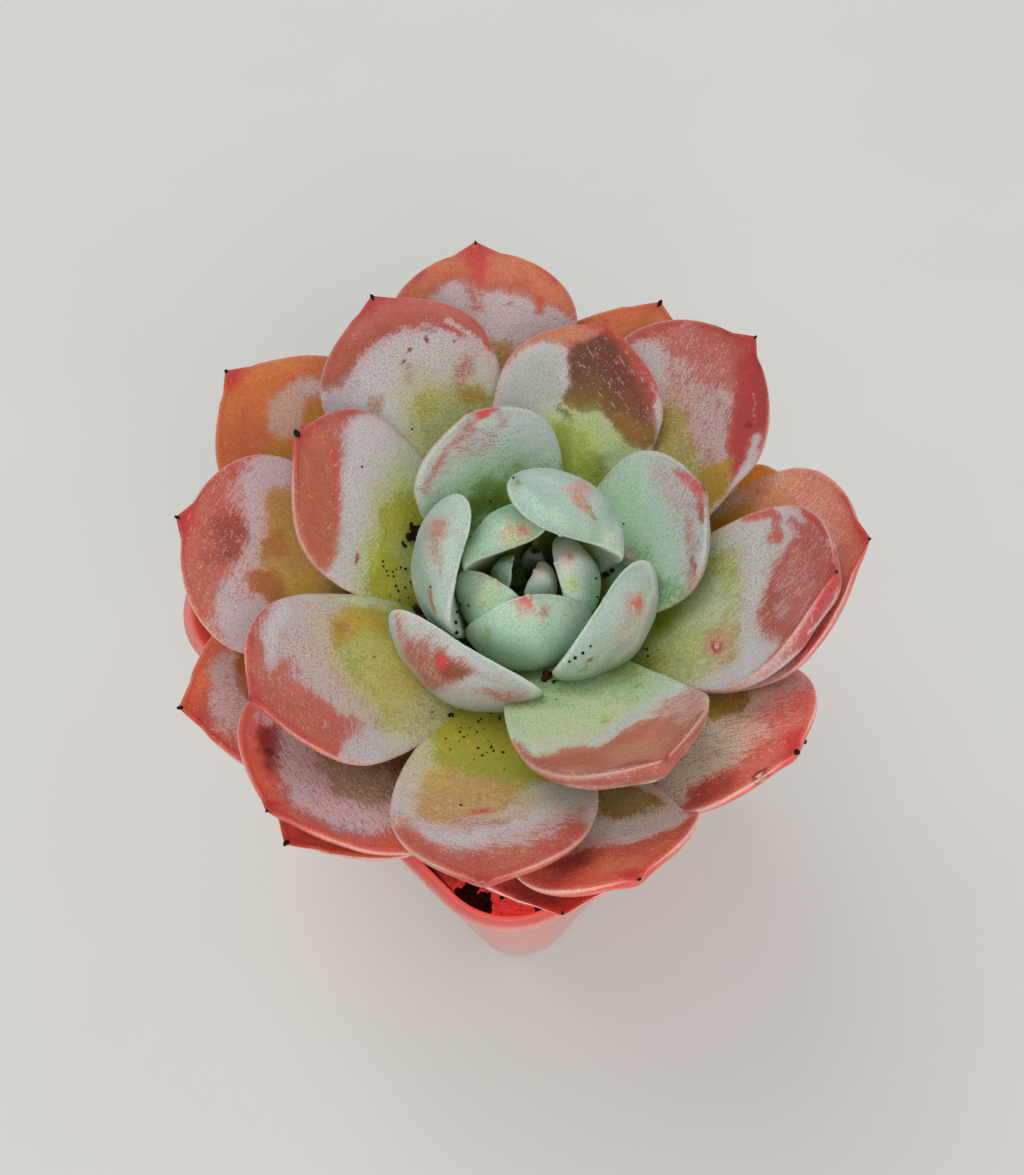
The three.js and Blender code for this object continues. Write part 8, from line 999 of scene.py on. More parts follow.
def noise(x, y=0.0, z=0.0, seed=1):
    """Smooth value noise from -1 to 1."""
    x, y, z = np.broadcast_arrays(np.asarray(x, float), np.asarray(y, float), np.asarray(z, float))
    ix, iy, iz = np.floor(x), np.floor(y), np.floor(z)
    fx, fy, fz = x - ix, y - iy, z - iz
    fx, fy, fz = (f * f * f * (f * (f * 6 - 15) + 10) for f in (fx, fy, fz))
    v = 0.0
    for dx in (0, 1):
        for dy in (0, 1):
            for dz in (0, 1):
                w = (fx if dx else 1 - fx) * (fy if dy else 1 - fy) * (fz if dz else 1 - fz)
                v = v + w * hash3(ix + dx, iy + dy, iz + dz, seed)
    return v * 2.0 - 1.0


def fractal(x, y=0.0, z=0.0, seed=1, octaves=3, fall=0.5):
    v, amp, total, k = 0.0, 1.0, 0.0, 1.0
    for o in range(octaves):
        v = v + amp * noise(np.asarray(x) * k, np.asarray(y) * k, np.asarray(z) * k, seed + 17 * o)
        total += amp
        amp *= fall
        k *= 2.03
    return v / total


def lin(rgb):
    """A colour as it looks in soft light, 0 to 255, to the surface's own linear colour."""
    c = np.asarray(rgb, float) / 255.0
    c = np.where(c <= 0.04045, c / 12.92, ((c + 0.055) / 1.055) ** 2.4)
    return np.clip(c / LOOK, 0.0, 0.95)


LOOK = 0.70


# ---- objects ------------------------------------------------------------
def make_object(name, co, faces, mats, smooth_faces=True, mat_index=None):
    me = bpy.data.meshes.new(name)
    me.from_pydata([tuple(p) for p in co], [], faces)
    me.validate()
    for m in mats:
        me.materials.append(m)
    if smooth_faces:
        me.polygons.foreach_set("use_smooth", [True] * len(me.polygons))
    if mat_index is not None:
        me.polygons.foreach_set("material_index", mat_index)
    me.update()
    ob = bpy.data.objects.new(name, me)
    bpy.context.scene.collection.objects.link(ob)
    return ob


def put_colour(me, name, rgb):
    a = me.attributes.new(name, "FLOAT_COLOR", "POINT")
    buf = np.ones((len(rgb), 4), np.float32)
    buf[:, :3] = rgb
    a.data.foreach_set("color", buf.ravel())


def put_vector(me, name, xyz):
    a = me.attributes.new(name, "FLOAT_VECTOR", "POINT")
    a.data.foreach_set("vector", np.asarray(xyz, np.float32).ravel())


# ---- leaves: shape -------------------------------------------------------
def outline(t, p):
    """Half-width and thickness along a leaf, each as a share of its full size."""
    tm, fb, bt = p["tm"], p["fb"], p["bt"]
    te, kc = p["tip"]
    tk = 0.45
    lo = fb + (1 - fb) * np.sin(np.pi / 2 * np.clip(t / tm, 0, 1)) ** 1.35
    tau = np.clip((t - tm) / (te - tm), 0, 1)
    f = np.where(t < tm, lo, (1 - tau ** 2.2) ** bt)
    fc = kc * np.clip((1 - t) / (1 - te), 0, 1.4)
    f = (f ** 3 + fc ** 3) ** (1 / 3)
    lo = p["hb"] + (1 - p["hb"]) * np.sin(np.pi / 2 * np.clip(t / tk, 0, 1))
    tg = np.clip((t - tk) / (te - tk), 0, 1)
    hi = (1 - tg ** 2.4) ** 0.62
    hi = (hi ** 3 + (0.17 * np.clip((1 - t) / (1 - te), 0, 1.2)) ** 3) ** (1 / 3)
    return f, np.where(t < tk, lo, hi)


def leaf_of(name):
    p = dict(zip(KEYS, LEAVES[name]))
    te, kc, full = TIPS.get(name, (0.955, 0.25, 1.0))
    p["tip"] = (te, kc)
    p["L"] *= full
    return p


def midrib(t, p, n=60):
    """Points along the midrib and the leaf's own axes there."""
    k = np.linspace(0, 1, n + 1)
    phi = rad(p["phi"]) + rad(p["bend"]) * k ** 1.5
    th = rad(p["th0"] + (p["th1"] - p["th0"]) * k)
    d = np.stack([np.cos(th) * np.cos(phi), np.cos(th) * np.sin(phi), np.sin(th)], -1)
    m = np.zeros((n + 1, 3))
    m[1:] = np.cumsum((d[1:] + d[:-1]) / 2 * p["L"] / n, 0)
    a = rad(p["phi"])
    m += np.array([AXIS[0] + p["rb"] * np.cos(a), AXIS[1] + p["rb"] * np.sin(a), p["zb"]])
    mi = np.stack([np.interp(t, k, m[:, i]) for i in range(3)], -1)
    phi, th = np.interp(t, k, phi), np.interp(t, k, th)
    along = np.stack([np.cos(th) * np.cos(phi), np.cos(th) * np.sin(phi), np.sin(th)], -1)
    side = np.stack([-np.sin(phi), np.cos(phi), 0 * phi], -1)
    up = np.cross(along, side)
    r = rad(p["roll"]) * np.clip(t * 1.6, 0, 1)
    c, s = np.cos(r)[:, None], np.sin(r)[:, None]
    return mi, along, c * side + s * up, c * up - s * side


def leaf_points(p, t, a, seed, relief=True):
    """The leaf's skin on stations t and angles a round the section, in millimetres."""
    f, g = outline(t, p)
    m, _, side, up = midrib(t, p)
    s, q = np.cos(a)[None, :], np.sin(a)[None, :]
    w = (p["W"] * f)[:, None]
    T = t[:, None]
    u = p["L"] * T
    if relief:
        ripple = 1 + 0.016 * fractal(u / 6.5, np.sign(s) * 9.0, 0.0, seed + 3) * smooth(0.1, 0.5, T) * smooth(1.0, 0.9, T)
    else:
        ripple = 1.0
    x = w * s * ripple
    z = g[:, None] * np.where(q > 0, p["tt"], p["tb"]) * q
    curl = w * p["cup"] * np.sin(np.pi / 2 * np.clip(T / 0.5, 0, 1))
    z = z + curl * (s ** 2 - 0.35)
    if relief:
        e = w * (1 - np.abs(s))
        body = smooth(0.12, 0.4, T) * smooth(1.0, 0.93, T)
        z = z + body * 0.24 * fractal(u / 8.0, x / 8.0, 4.0, seed)
        z = z + body * 0.045 * fractal(u / 2.1, x / 2.1, np.where(q > 0, 1.0, 7.0), seed + 5)
        top, low = np.clip(q, 0, 1) > 0, q <= 0
        # a faint raised rim inside the margin, a crease running to the point
        z = z + np.where(top, 0.10 * np.exp(-((e - 0.75) / 0.42) ** 2) * smooth(0.25, 0.6, T), 0.0)
        z = z - np.where(top, 0.30 * np.exp(-(x / 1.1) ** 2) * smooth(0.80, 0.93, T) * smooth(1.0, 0.955, T), 0.0)
        # the keel on the underside, and two soft flutes beside it
        z = z - np.where(low, 0.42 * np.exp(-(x / 1.5) ** 2) * smooth(0.5, 0.85, T) * smooth(1.0, 0.95, T), 0.0)
        z = z + np.where(low, 0.14 * np.exp(-((np.abs(x) - 0.45 * w) / 1.4) ** 2) * smooth(0.35, 0.7, T) * smooth(1.0, 0.9, T), 0.0)
    return (m[:, None, :] + x[..., None] * side[:, None, :] + z[..., None] * up[:, None, :]), x


def stations(n):
    k = np.linspace(0, 1, n)
    return 0.45 * k + 0.55 * np.sin(np.pi / 2 * k)


# ---- leaves: paint -------------------------------------------------------
C = {
    "green": (112, 128, 28), "yellow": (150, 148, 66), "lime": (138, 150, 78), "mint": (122, 160, 130),
    "dark": (60, 78, 26), "olive": (122, 100, 36), "tan": (165, 128, 74), "orange": (180, 98, 56),
    "coral": (166, 84, 66), "salmon": (178, 108, 92), "crimson": (172, 52, 52), "maroon": (92, 52, 36),
    "brown": (138, 84, 60), "pink": (186, 122, 112), "black": (22, 16, 14), "wine": (128, 50, 48),
    "pale": (198, 168, 160), "lilac": (160, 138, 146),
}


def inside(u, v, pts):
    """Distance in millimetres inside a closed outline; negative outside."""
    n = len(pts)
    d = np.full(u.shape, 1e9)
    odd = np.zeros(u.shape, bool)
    for i in range(n):
        ax, ay = pts[i]
        bx, by = pts[(i + 1) % n]
        ex, ey = bx - ax, by - ay
        ll = ex * ex + ey * ey + 1e-9
        h = np.clip(((u - ax) * ex + (v - ay) * ey) / ll, 0, 1)
        d = np.minimum(d, np.hypot(u - ax - h * ex, v - ay - h * ey))
        if ay != by:
            c = (ay > v) != (by > v)
            xi = ax + (v - ay) * ex / (by - ay)
            odd ^= c & (u < xi)
    return np.where(odd, d, -d)


def stroke(u, v, pts, width):
    d = np.full(u.shape, 1e9)
    for i in range(max(1, len(pts) - 1)):
        ax, ay = pts[i]
        bx, by = pts[min(i + 1, len(pts) - 1)]
        ex, ey = bx - ax, by - ay
        ll = ex * ex + ey * ey + 1e-9
        h = np.clip(((u - ax) * ex + (v - ay) * ey) / ll, 0, 1)
        d = np.minimum(d, np.hypot(u - ax - h * ex, v - ay - h * ey))
    return width - d


def ramp(x, stops):
    xs = [s[0] for s in stops]
    cols = np.array([lin(C[s[1]] if isinstance(s[1], str) else s[1]) for s in stops])
    return np.stack([np.interp(x, xs, cols[:, k]) for k in range(3)], -1)


def paint_leaf(name, p, T, S, Q, X, seed):
    """The colours and surface fields of every vertex of a leaf."""
    kind = name.split("_")[0]
    u, v = p["L"] * T, X
    f, _ = outline(T.ravel(), p)
    w = p["W"] * f.reshape(T.shape)
    e = w * (1 - np.abs(S))                      # millimetres in from the margin
    tip = p["L"] * (1 - T)                       # millimetres down from the point
    top = smooth(-0.12, 0.12, Q)
    n1 = fractal(u / 6.0, v / 6.0, 1.5, seed + 11)
    n2 = fractal(u / 2.2, v / 2.2, 3.5, seed + 12)
    edge = np.exp(-e / 2.6)
    x = T + 0.13 * edge + 0.05 * n1 + 0.02 * n2
    if kind in ("lower", "base"):
        upper = ramp(x, [(0.20, "dark"), (0.42, "olive"), (0.58, "tan"), (0.72, "orange"), (0.86, "coral"), (1.0, "crimson")])
        under = ramp(x, [(0.15, "lime"), (0.45, "tan"), (0.70, "salmon"), (0.95, "coral"), (1.05, "crimson")])
        far = 0.62 * smooth(0.46, 0.60, x) * smooth(0.93, 0.80, x) + 0.16
        lo = 0.66 - 0.30 * smooth(0.75, 0.98, x)
    elif kind == "outer":
        upper = ramp(x, [(0.15, "dark"), (0.34, "green"), (0.52, "yellow"), (0.68, "tan"), (0.84, "coral"), (1.0, "crimson")])
        under = ramp(x, [(0.15, "lime"), (0.50, "mint"), (0.78, "salmon"), (0.97, "coral"), (1.05, "crimson")])
        far = 0.70 * smooth(0.40, 0.58, x) * smooth(0.95, 0.82, x) + 0.14
        lo = 0.78 - 0.32 * smooth(0.8, 1.0, x)
    elif kind == "middle":
        upper = ramp(x, [(0.12, "dark"), (0.32, "green"), (0.55, "lime"), (0.80, "mint"), (1.0, "salmon")])
        under = ramp(x, [(0.15, "lime"), (0.55, "mint"), (0.88, "mint"), (1.02, "salmon")])
        far = 0.22 + 0.60 * smooth(0.30, 0.62, x)
        lo = 0.84 - 0.2 * smooth(0.9, 1.0, x)
    else:
        upper = ramp(x, [(0.10, "dark"), (0.40, "green"), (0.75, "lime"), (1.0, "mint")])
        under = ramp(x, [(0.10, "dark"), (0.35, "lime"), (0.60, "mint"), (1.05, "mint")])
        far = 0.15 + 0.65 * smooth(0.30, 0.75, x)
        lo = 0.55 + 0.30 * smooth(0.25, 0.6, x)
    col = lerp(under, upper, top[..., None])
    fa = lerp(lo, far, top)
    fld = np.zeros(T.shape + (3,))               # white flecks, pinholes, brush marks
    # the wax itself is minty near the foot and turns to grey and lilac outwards
    bloom = lerp(lin(BLOOM[kind][0]), lin(BLOOM[kind][1]), smooth(0.25, 0.85, x)[..., None])
    # outlines are never drawn dead straight
    u0, v0 = u, v
    u = u + 0.50 * fractal(u0 / 2.4, v0 / 2.4, 8.5, seed + 21) + 0.30 * noise(u0 / 0.9, v0 / 0.9, 8.5, seed + 22)
    v = v + 0.50 * fractal(u0 / 2.4, v0 / 2.4, 5.5, seed + 23) + 0.30 * noise(u0 / 0.9, v0 / 0.9, 5.5, seed + 24)
    # the paler line along the very margin: bare of wax, and lighter still as a painted highlight where light shines
    # through the thin edge
    rim = np.exp(-(e / 0.34) ** 2) * smooth(0.30, 0.55, T) * smooth(0.35, 0.0, np.abs(Q))
    for ch, value, soft, strength, width, face, pts in PAINT.get(name, ()):
        d = inside(u, v, pts) if width == 0 else stroke(u, v, pts, width)
        wob = soft * (0.9 * n2 + 0.5 * n1)
        k = smooth(-soft, soft, d + wob) * strength
        here = top if face > 0 else 1 - top
        k = k * lerp(0.30 + 0.70 * smooth(0.75, 1.0, np.abs(S)), 1.0, here)
        if ch == "t":
            col = lerp(col, lin(C[value] if isinstance(value, str) else value), k[..., None])
        elif ch == "x":
            bloom = lerp(bloom, lin(C[value] if isinstance(value, str) else value), k[..., None])
        elif ch == "f":
            fa = lerp(fa, value, k)
        elif ch == "w":
            fld[..., 0] = lerp(fld[..., 0], value, k)
        elif ch == "p":
            fld[..., 1] = lerp(fld[..., 1], value, k)
        elif ch == "b":
            fld[..., 2] = lerp(fld[..., 2], value, k)
    # the pale margin line, partly a painted highlight, then the crimson point and its dried dark tip
    if kind in ("outer", "lower", "base", "middle"):
        col = lerp(col, lin(C["pale"]), (rim * 0.62)[..., None])
        fa = fa * (1 - rim * 0.5)
        hot = smooth(3.0, 0.9, tip + 0.6 * n2) * {"middle": 0.22, "base": 0.55}.get(kind, 1.0)
        col = lerp(col, lin(C["crimson"]), (hot * 0.70)[..., None])
        fa = fa * (1 - 0.8 * hot)
        dark = smooth(0.55, 0.10, tip)
        col = lerp(col, lin(C["maroon"]), (dark * 0.8)[..., None])
        fa = fa * (1 - dark)
    # the inner leaves' margin gets whiter wax, partly a painted highlight
    if kind in ("heart", "inner", "bud"):
        bloom = lerp(bloom, lin((210, 216, 206)), (rim * 0.85)[..., None])
        fa = lerp(fa, 0.95, rim * 0.8)
    # painted light and shade: each leaf's colours scaled as a whole, and darkened on faces towards the heart
    painted_gain = PAINTED_LIGHT_GAIN.get(name, 1.0) * lerp(1.0, HEART_SHADE_DIM.get(name, 1.0), top)[..., None]
    return np.clip(col * painted_gain, 0.002, 0.95), np.clip(bloom * painted_gain, 0, 0.95), fa, fld


BLOOM = {
    "bud": ((156, 183, 162), (168, 188, 172)), "heart": ((153, 180, 158), (168, 187, 173)),
    "inner": ((150, 178, 158), (172, 184, 180)), "middle": ((150, 180, 156), (176, 184, 182)),
    "outer": ((166, 176, 150), (182, 178, 182)), "lower": ((172, 166, 150), (182, 172, 176)),
    "base": ((172, 156, 140), (178, 164, 164)),
}

# The dried points: length of the dark bead in millimetres.
MUCRO = {
    "outer_leaf_left": 0.95, "outer_leaf_left_back": 0.6, "lower_leaf_right_front": 0.85, "lower_leaf_back": 0.55,
    "base_leaf_right_front": 1.15, "base_leaf_back": 0.8, "lower_leaf_right": 0.45, "base_leaf_left_front": 0.85,
    "lower_leaf_left": 0.55, "lower_leaf_left_back": 0.5, "outer_leaf_right_back": 0.5, "base_leaf_left": 0.6,
    "lower_leaf_front": 0.45, "outer_leaf_right": 0.5, "lower_leaf_left_front": 0.35, "base_leaf_front": 0.4,
    "base_leaf_right": 0.5,
}


# ---- node help -----------------------------------------------------------
class Nodes:
    """A material under construction. Values may be numbers, tuples or sockets."""

    def __init__(self, name):
        self.mat = bpy.data.materials.new(name)
        self.mat.use_nodes = True
        self.t = self.mat.node_tree
        self.t.nodes.clear()
        self.out = self.t.nodes.new("ShaderNodeOutputMaterial")
        self.bsdf = self.t.nodes.new("ShaderNodeBsdfPrincipled")
        self.t.links.new(self.bsdf.outputs[0], self.out.inputs[0])

    def plug(self, sock, val):
        if isinstance(val, bpy.types.NodeSocket):
            self.t.links.new(val, sock)
        elif isinstance(val, (tuple, list)) and hasattr(sock.default_value, "__len__"):
            n = len(sock.default_value)
            sock.default_value = (tuple(val) + (1.0,) * 4)[:n]
        else:
            sock.default_value = val

    def new(self, kind, out=0, **ins):
        props = ins.pop("props", {})
        n = self.t.nodes.new(kind)
        for k, v in props.items():
            setattr(n, k, v)
        for k, v in ins.items():
            key = int(k[1:]) if k[0] == "_" and k[1:].isdigit() else k.replace("_", " ")
            self.plug(n.inputs[key], v)
        return n.outputs[out]

    def m(self, op, a, b=0.0, c=None, clamp=False):
        ins = {"_0": a, "_1": b}
        if c is not None:
            ins["_2"] = c
        return self.new("ShaderNodeMath", props={"operation": op, "use_clamp": clamp}, **ins)

    def add(self, *xs):
        r = xs[0]
        for x in xs[1:]:
            r = self.m("ADD", r, x)
        return r

    def mul(self, *xs):
        r = xs[0]
        for x in xs[1:]:
            r = self.m("MULTIPLY", r, x)
        return r

    def step(self, x, a, b, to=(0.0, 1.0)):
        return self.new("ShaderNodeMapRange", props={"interpolation_type": "SMOOTHSTEP"},
                        Value=x, From_Min=a, From_Max=b, To_Min=to[0], To_Max=to[1])

    def mix(self, f, a, b, blend="MIX"):
        n = self.t.nodes.new("ShaderNodeMix")
        n.data_type = "RGBA"
        n.blend_type = blend
        self.plug(n.inputs[0], f)
        self.plug(n.inputs[6], a)
        self.plug(n.inputs[7], b)
        return n.outputs[2]

    def attr(self, name, out="Color"):
        n = self.t.nodes.new("ShaderNodeAttribute")
        n.attribute_type = "GEOMETRY"
        n.attribute_name = name
        return n.outputs[out]

    def split(self, vec):
        n = self.t.nodes.new("ShaderNodeSeparateXYZ")
        self.plug(n.inputs[0], vec)
        return n.outputs[0], n.outputs[1], n.outputs[2]

    def place(self, scale=1000.0, rot=(0, 0, 0)):
        """The point in millimetres, in the object's own frame."""
        tc = self.t.nodes.new("ShaderNodeTexCoord").outputs["Object"]
        s = scale if isinstance(scale, tuple) else (scale,) * 3
        return self.new("ShaderNodeMapping", Vector=tc, Scale=s, Rotation=rot)

    def noise(self, vec, scale, detail=2.0, rough=0.5, warp=0.0, out=0):
        return self.new("ShaderNodeTexNoise", out, Vector=vec, Scale=scale, Detail=detail, Roughness=rough, Distortion=warp)

    def cells(self, vec, scale, out=0, rand=1.0, feature="F1"):
        return self.new("ShaderNodeTexVoronoi", out, props={"feature": feature}, Vector=vec, Scale=scale, Randomness=rand)

    def cell_pair(self, vec, scale):
        """Distance to the nearest cell point, and three random numbers for that cell."""
        d = self.cells(vec, scale)
        return d, self.split(d.node.outputs[1])

    def bump(self, height, strength, distance, normal=None):
        n = self.t.nodes.new("ShaderNodeBump")
        n.inputs["Strength"].default_value = strength
        n.inputs["Distance"].default_value = distance
        self.plug(n.inputs["Height"], height)
        if normal is not None:
            self.plug(n.inputs["Normal"], normal)
        return n.outputs[0]

    def set(self, **ins):
        for k, v in ins.items():
            self.plug(self.bsdf.inputs[k.replace("_", " ")], v)
        return self.mat


# ---- leaf skin -----------------------------------------------------------
def leaf_skin(name, fine, sss, grain):
    """Tissue under a dusting of wax that is rubbed, brushed and pinholed."""
    g = Nodes(name)
    p = g.place()
    tissue = g.attr("tissue")
    bloom = g.attr("bloom")
    fld = g.split(g.attr("marks", "Vector"))
    flow = g.attr("flow", "Vector")
    far = g.attr("wax", "Fac")
    n_wide = g.noise(p, 0.45, 2.0, 0.55)
    n_mid = g.noise(p, 1.5, 3.0, 0.62)
    n_fine = g.noise(p, 4.0 * fine, 2.0, 0.7)
    n_brush = g.noise(flow, 1.0, 3.0, 0.6)
    cov = g.add(far,
                g.mul(g.m("SUBTRACT", n_wide, 0.5), 0.80),
                g.mul(g.m("SUBTRACT", n_mid, 0.5), 1.10),
                g.mul(g.m("SUBTRACT", n_fine, 0.5), 1.35 * grain),
                g.mul(g.m("SUBTRACT", n_brush, 0.5), g.m("ADD", 0.85, g.mul(fld[2], 2.3))))
    ragged = g.step(cov, 0.36, 0.64)
    veil = g.step(far, 0.0, 1.05)                             # the even, thin bloom under the rest
    alpha = g.mul(g.add(g.mul(ragged, 0.58), g.mul(veil, 0.38)), g.step(n_mid, 0.25, 0.75, (1.0, 0.80)))
    # pinholes: the tissue showing through as small dark specks
    dens = g.add(fld[1], g.mul(veil, 0.16 * grain))
    v1, r1 = g.cell_pair(p, 1.35)
    hole = g.mul(g.step(v1, g.mul(r1[0], 0.21), g.mul(r1[0], 0.12)), g.step(g.add(dens, g.mul(r1[1], -0.9)), -0.02, 0.04))
    v2, r2 = g.cell_pair(p, 3.1)
    hole2 = g.mul(g.step(v2, 0.34, 0.22), g.step(g.add(dens, g.mul(r2[1], -0.80)), -0.02, 0.04))
    hole = g.m("MAXIMUM", hole, g.mul(hole2, 0.8))
    # flecks: stray white grains
    edge = g.mul(g.step(far, 0.02, 0.30), 0.20)
    fleck = g.mul(g.step(v2, g.mul(r2[0], 0.40), g.mul(r2[0], 0.22)), g.step(g.add(fld[0], edge, g.mul(r2[2], -0.92)), -0.02, 0.04))
    big = g.mul(g.step(v1, g.mul(r1[0], 0.20), g.mul(r1[0], 0.12)), g.step(g.add(fld[0], g.mul(r1[2], -1.05)), -0.02, 0.04))
    fleck = g.m("MAXIMUM", fleck, big)
    # the tissue: clouded, with fine darker grain
    warm = g.mix(1.0, tissue, (1.05, 1.03, 0.84), "MULTIPLY")
    base = g.mix(g.step(n_wide, 0.42, 0.66), tissue, warm)
    base = g.mix(g.mul(g.step(n_fine, 0.56, 0.36), 0.55), base, g.mix(1.0, base, (0.72, 0.60, 0.56), "MULTIPLY"))
    base = g.mix(g.mul(g.step(n_mid, 0.46, 0.70), 0.55), base, g.mix(1.0, base, (1.12, 1.14, 1.16), "MULTIPLY"))
    base = g.mix(g.mul(g.step(n_mid, 0.50, 0.30), 0.40), base, g.mix(1.0, base, (0.82, 0.76, 0.76), "MULTIPLY"))
    wax_c = g.mix(g.step(n_fine, 0.66, 0.36), g.mix(1.0, bloom, (1.05, 1.05, 1.06), "MULTIPLY"), g.mix(1.0, bloom, (0.84, 0.84, 0.80), "MULTIPLY"))
    # thin wax takes on a little of the colour it lies on
    hsv = g.t.nodes.new("ShaderNodeSeparateColor")
    hsv.mode = "HSV"
    g.plug(hsv.inputs[0], tissue)
    hue = g.t.nodes.new("ShaderNodeCombineColor")
    hue.mode = "HSV"
    g.plug(hue.inputs[0], hsv.outputs[0])
    g.plug(hue.inputs[1], g.mul(hsv.outputs[1], g.step(far, 0.2, 1.0, (0.44, 0.20))))
    hue.inputs[2].default_value = 1.0
    wax_c = g.mix(1.0, g.mix(1.0, wax_c, hue.outputs[0], "MULTIPLY"), (1.05, 1.05, 1.05), "MULTIPLY")
    col = g.mix(alpha, base, wax_c)
    col = g.mix(g.mul(hole, 0.72), col, g.mix(1.0, base, (0.50, 0.36, 0.32), "MULTIPLY"))
    col = g.mix(g.mul(fleck, 0.44), col, g.mix(1.0, bloom, (1.16, 1.15, 1.12), "MULTIPLY"))
    rough = g.add(0.40, g.mul(alpha, 0.38), g.mul(n_fine, 0.10))
    g.set(Base_Color=col, Roughness=rough, Normal=g.bump(n_fine, 0.30, 0.00012))
    g.bsdf.inputs["Subsurface Weight"].default_value = sss
    g.bsdf.inputs["Subsurface Radius"].default_value = (1.0, 0.62, 0.30)
    g.bsdf.inputs["Subsurface Scale"].default_value = 0.0022
    g.bsdf.inputs["Specular IOR Level"].default_value = 0.36
    g.bsdf.inputs["Sheen Weight"].default_value = 0.05
    g.bsdf.inputs["Sheen Roughness"].default_value = 0.5
    return g.mat


SKINS = {
    "bud": leaf_skin("bud_skin", 1.1, 0.20, 0.45),
    "heart": leaf_skin("heart_skin", 1.1, 0.18, 0.45),
    "inner": leaf_skin("inner_skin", 1.1, 0.16, 0.55),
    "middle": leaf_skin("middle_skin", 1.05, 0.14, 0.75),
    "outer": leaf_skin("outer_skin", 1.0, 0.08, 1.0),
    "lower": leaf_skin("lower_skin", 0.95, 0.08, 1.05),
    "base": leaf_skin("base_skin", 0.9, 0.08, 1.05),
}


def within(co):
    """No further out than the solid model."""
    return np.clip(co, np.array(CAD_LO) / MM + [0.02, 0.02, 0.0], np.array(CAD_HI) / MM - 0.02)


def build_leaf(i, name):
    p = leaf_of(name)
    kind = name.split("_")[0]
    nt, na = {"bud": (56, 48), "heart": (88, 80), "inner": (110, 96), "middle": (116, 100)}.get(kind, (122, 104))
    seed = 100 + 37 * i
    t = stations(nt)[:-1]
    a = np.linspace(0, 2 * np.pi, na, endpoint=False) + 0.5 * np.pi / na
    pts, x = leaf_points(p, t, a, seed)
    T = np.repeat(t[:, None], na, 1)
    S = np.repeat(np.cos(a)[None, :], nt - 1, 0)
    Q = np.repeat(np.sin(a)[None, :], nt - 1, 0)
    col, bloom, fa, fld = paint_leaf(name, p, T, S, Q, x, seed)
    # brush marks run at one slant to the midrib, set for each leaf
    ang = rad(FLOW.get(name, 70.0))
    uu, vv = p["L"] * T, x
    along = uu * np.cos(ang) + vv * np.sin(ang)
    cross = -uu * np.sin(ang) + vv * np.cos(ang)
    flow = np.stack([along * 0.45, cross * 3.2, np.sign(Q) * 3.0 + 0 * T], -1)
    co = pts.reshape(-1, 3)
    tipm, _, _, _ = midrib(np.array([1.0]), p)
    foot = pts[0].mean(0)
    inner = np.array([AXIS[0], AXIS[1], foot[2]]) - foot
    inner = inner / (np.linalg.norm(inner) + 1e-9)
    ring0 = foot + (pts[0] - foot) * 0.72 + inner * 0.9
    co = np.concatenate([co, ring0, [foot + inner * 1.5], tipm])
    n = nt - 1
    faces = []
    for r in range(n - 1):
        b = r * na
        for k in range(na):
            k1 = (k + 1) % na
            faces.append((b + k, b + k1, b + na + k1, b + na + k))
    z0, cap, tip = n * na, n * na + na, n * na + na + 1
    for k in range(na):
        k1 = (k + 1) % na
        faces.append((z0 + k, z0 + k1, k1, k))
        faces.append((cap, z0 + k1, z0 + k))
        faces.append(((n - 1) * na + k, (n - 1) * na + k1, tip))
    ob = make_object(name + "_skin", within(co) * MM, faces, [SKINS[kind]])
    me = ob.data

    def pad(arr):
        flat = arr.reshape(n * na, -1)
        return np.concatenate([flat, arr[0].reshape(na, -1), flat[:1], flat[-1:]])

    put_colour(me, "tissue", pad(col))
    put_colour(me, "bloom", pad(bloom))
    w = me.attributes.new("wax", "FLOAT", "POINT")
    w.data.foreach_set("value", pad(fa).ravel().astype(np.float32))
    put_vector(me, "marks", pad(fld))
    put_vector(me, "flow", pad(flow))
    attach(ob, "root")
    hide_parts(name)
    return ob


FLOW = {
    "lower_leaf_back": 90,
    "outer_leaf_left_back": 60,
    "outer_leaf_left": 78,
    "outer_leaf_back": 50,
    "outer_leaf_right_back": 20,
    "outer_leaf_right": 35,
    "lower_leaf_right_front": 30,
    "middle_leaf_front": 70,
    "outer_leaf_front": 75,
    "outer_leaf_left_front": 60,
    "inner_leaf_front": 20,
    "lower_leaf_left": 80,
    "lower_leaf_right": 30,
    "middle_leaf_back": 70,
    "middle_leaf_right": 25,
    "lower_leaf_left_front": 70,
    "lower_leaf_front": 60,
}

for i, nm in enumerate(LEAVES):
    build_leaf(i, nm)


# ---- the pot --------------------------------------------------------------
# the corner of the pot that no leaf shades, where daylight glows through the wall
CORNER = (-1.6, -44.8)


def square_ring(z, half, corner, arc=12, side=9):
    """A rounded square, turned as the pot stands, at height z."""
    ring = []
    for k in range(4):
        cx = (1 if k in (0, 3) else -1) * (half - corner)
        cy = (1 if k < 2 else -1) * (half - corner)
        for i in range(arc + 1):
            b = (k + i / arc) * math.pi / 2
            ring.append((cx + corner * math.cos(b), cy + corner * math.sin(b)))
        k2 = (k + 1) % 4
        nx = (1 if k2 in (0, 3) else -1) * (half - corner)
        ny = (1 if k2 < 2 else -1) * (half - corner)
        b = (k + 1) * math.pi / 2
        x0, y0 = cx + corner * math.cos(b), cy + corner * math.sin(b)
        x1, y1 = nx + corner * math.cos(b), ny + corner * math.sin(b)
        for i in range(1, side + 1):
            f = i / (side + 1)
            ring.append((x0 + (x1 - x0) * f, y0 + (y1 - y0) * f))
    r = np.array(ring)
    c, s = math.cos(POT_TURN), math.sin(POT_TURN)
    return np.stack([r[:, 0] * c - r[:, 1] * s, r[:, 0] * s + r[:, 1] * c, np.full(len(r), z)], -1)


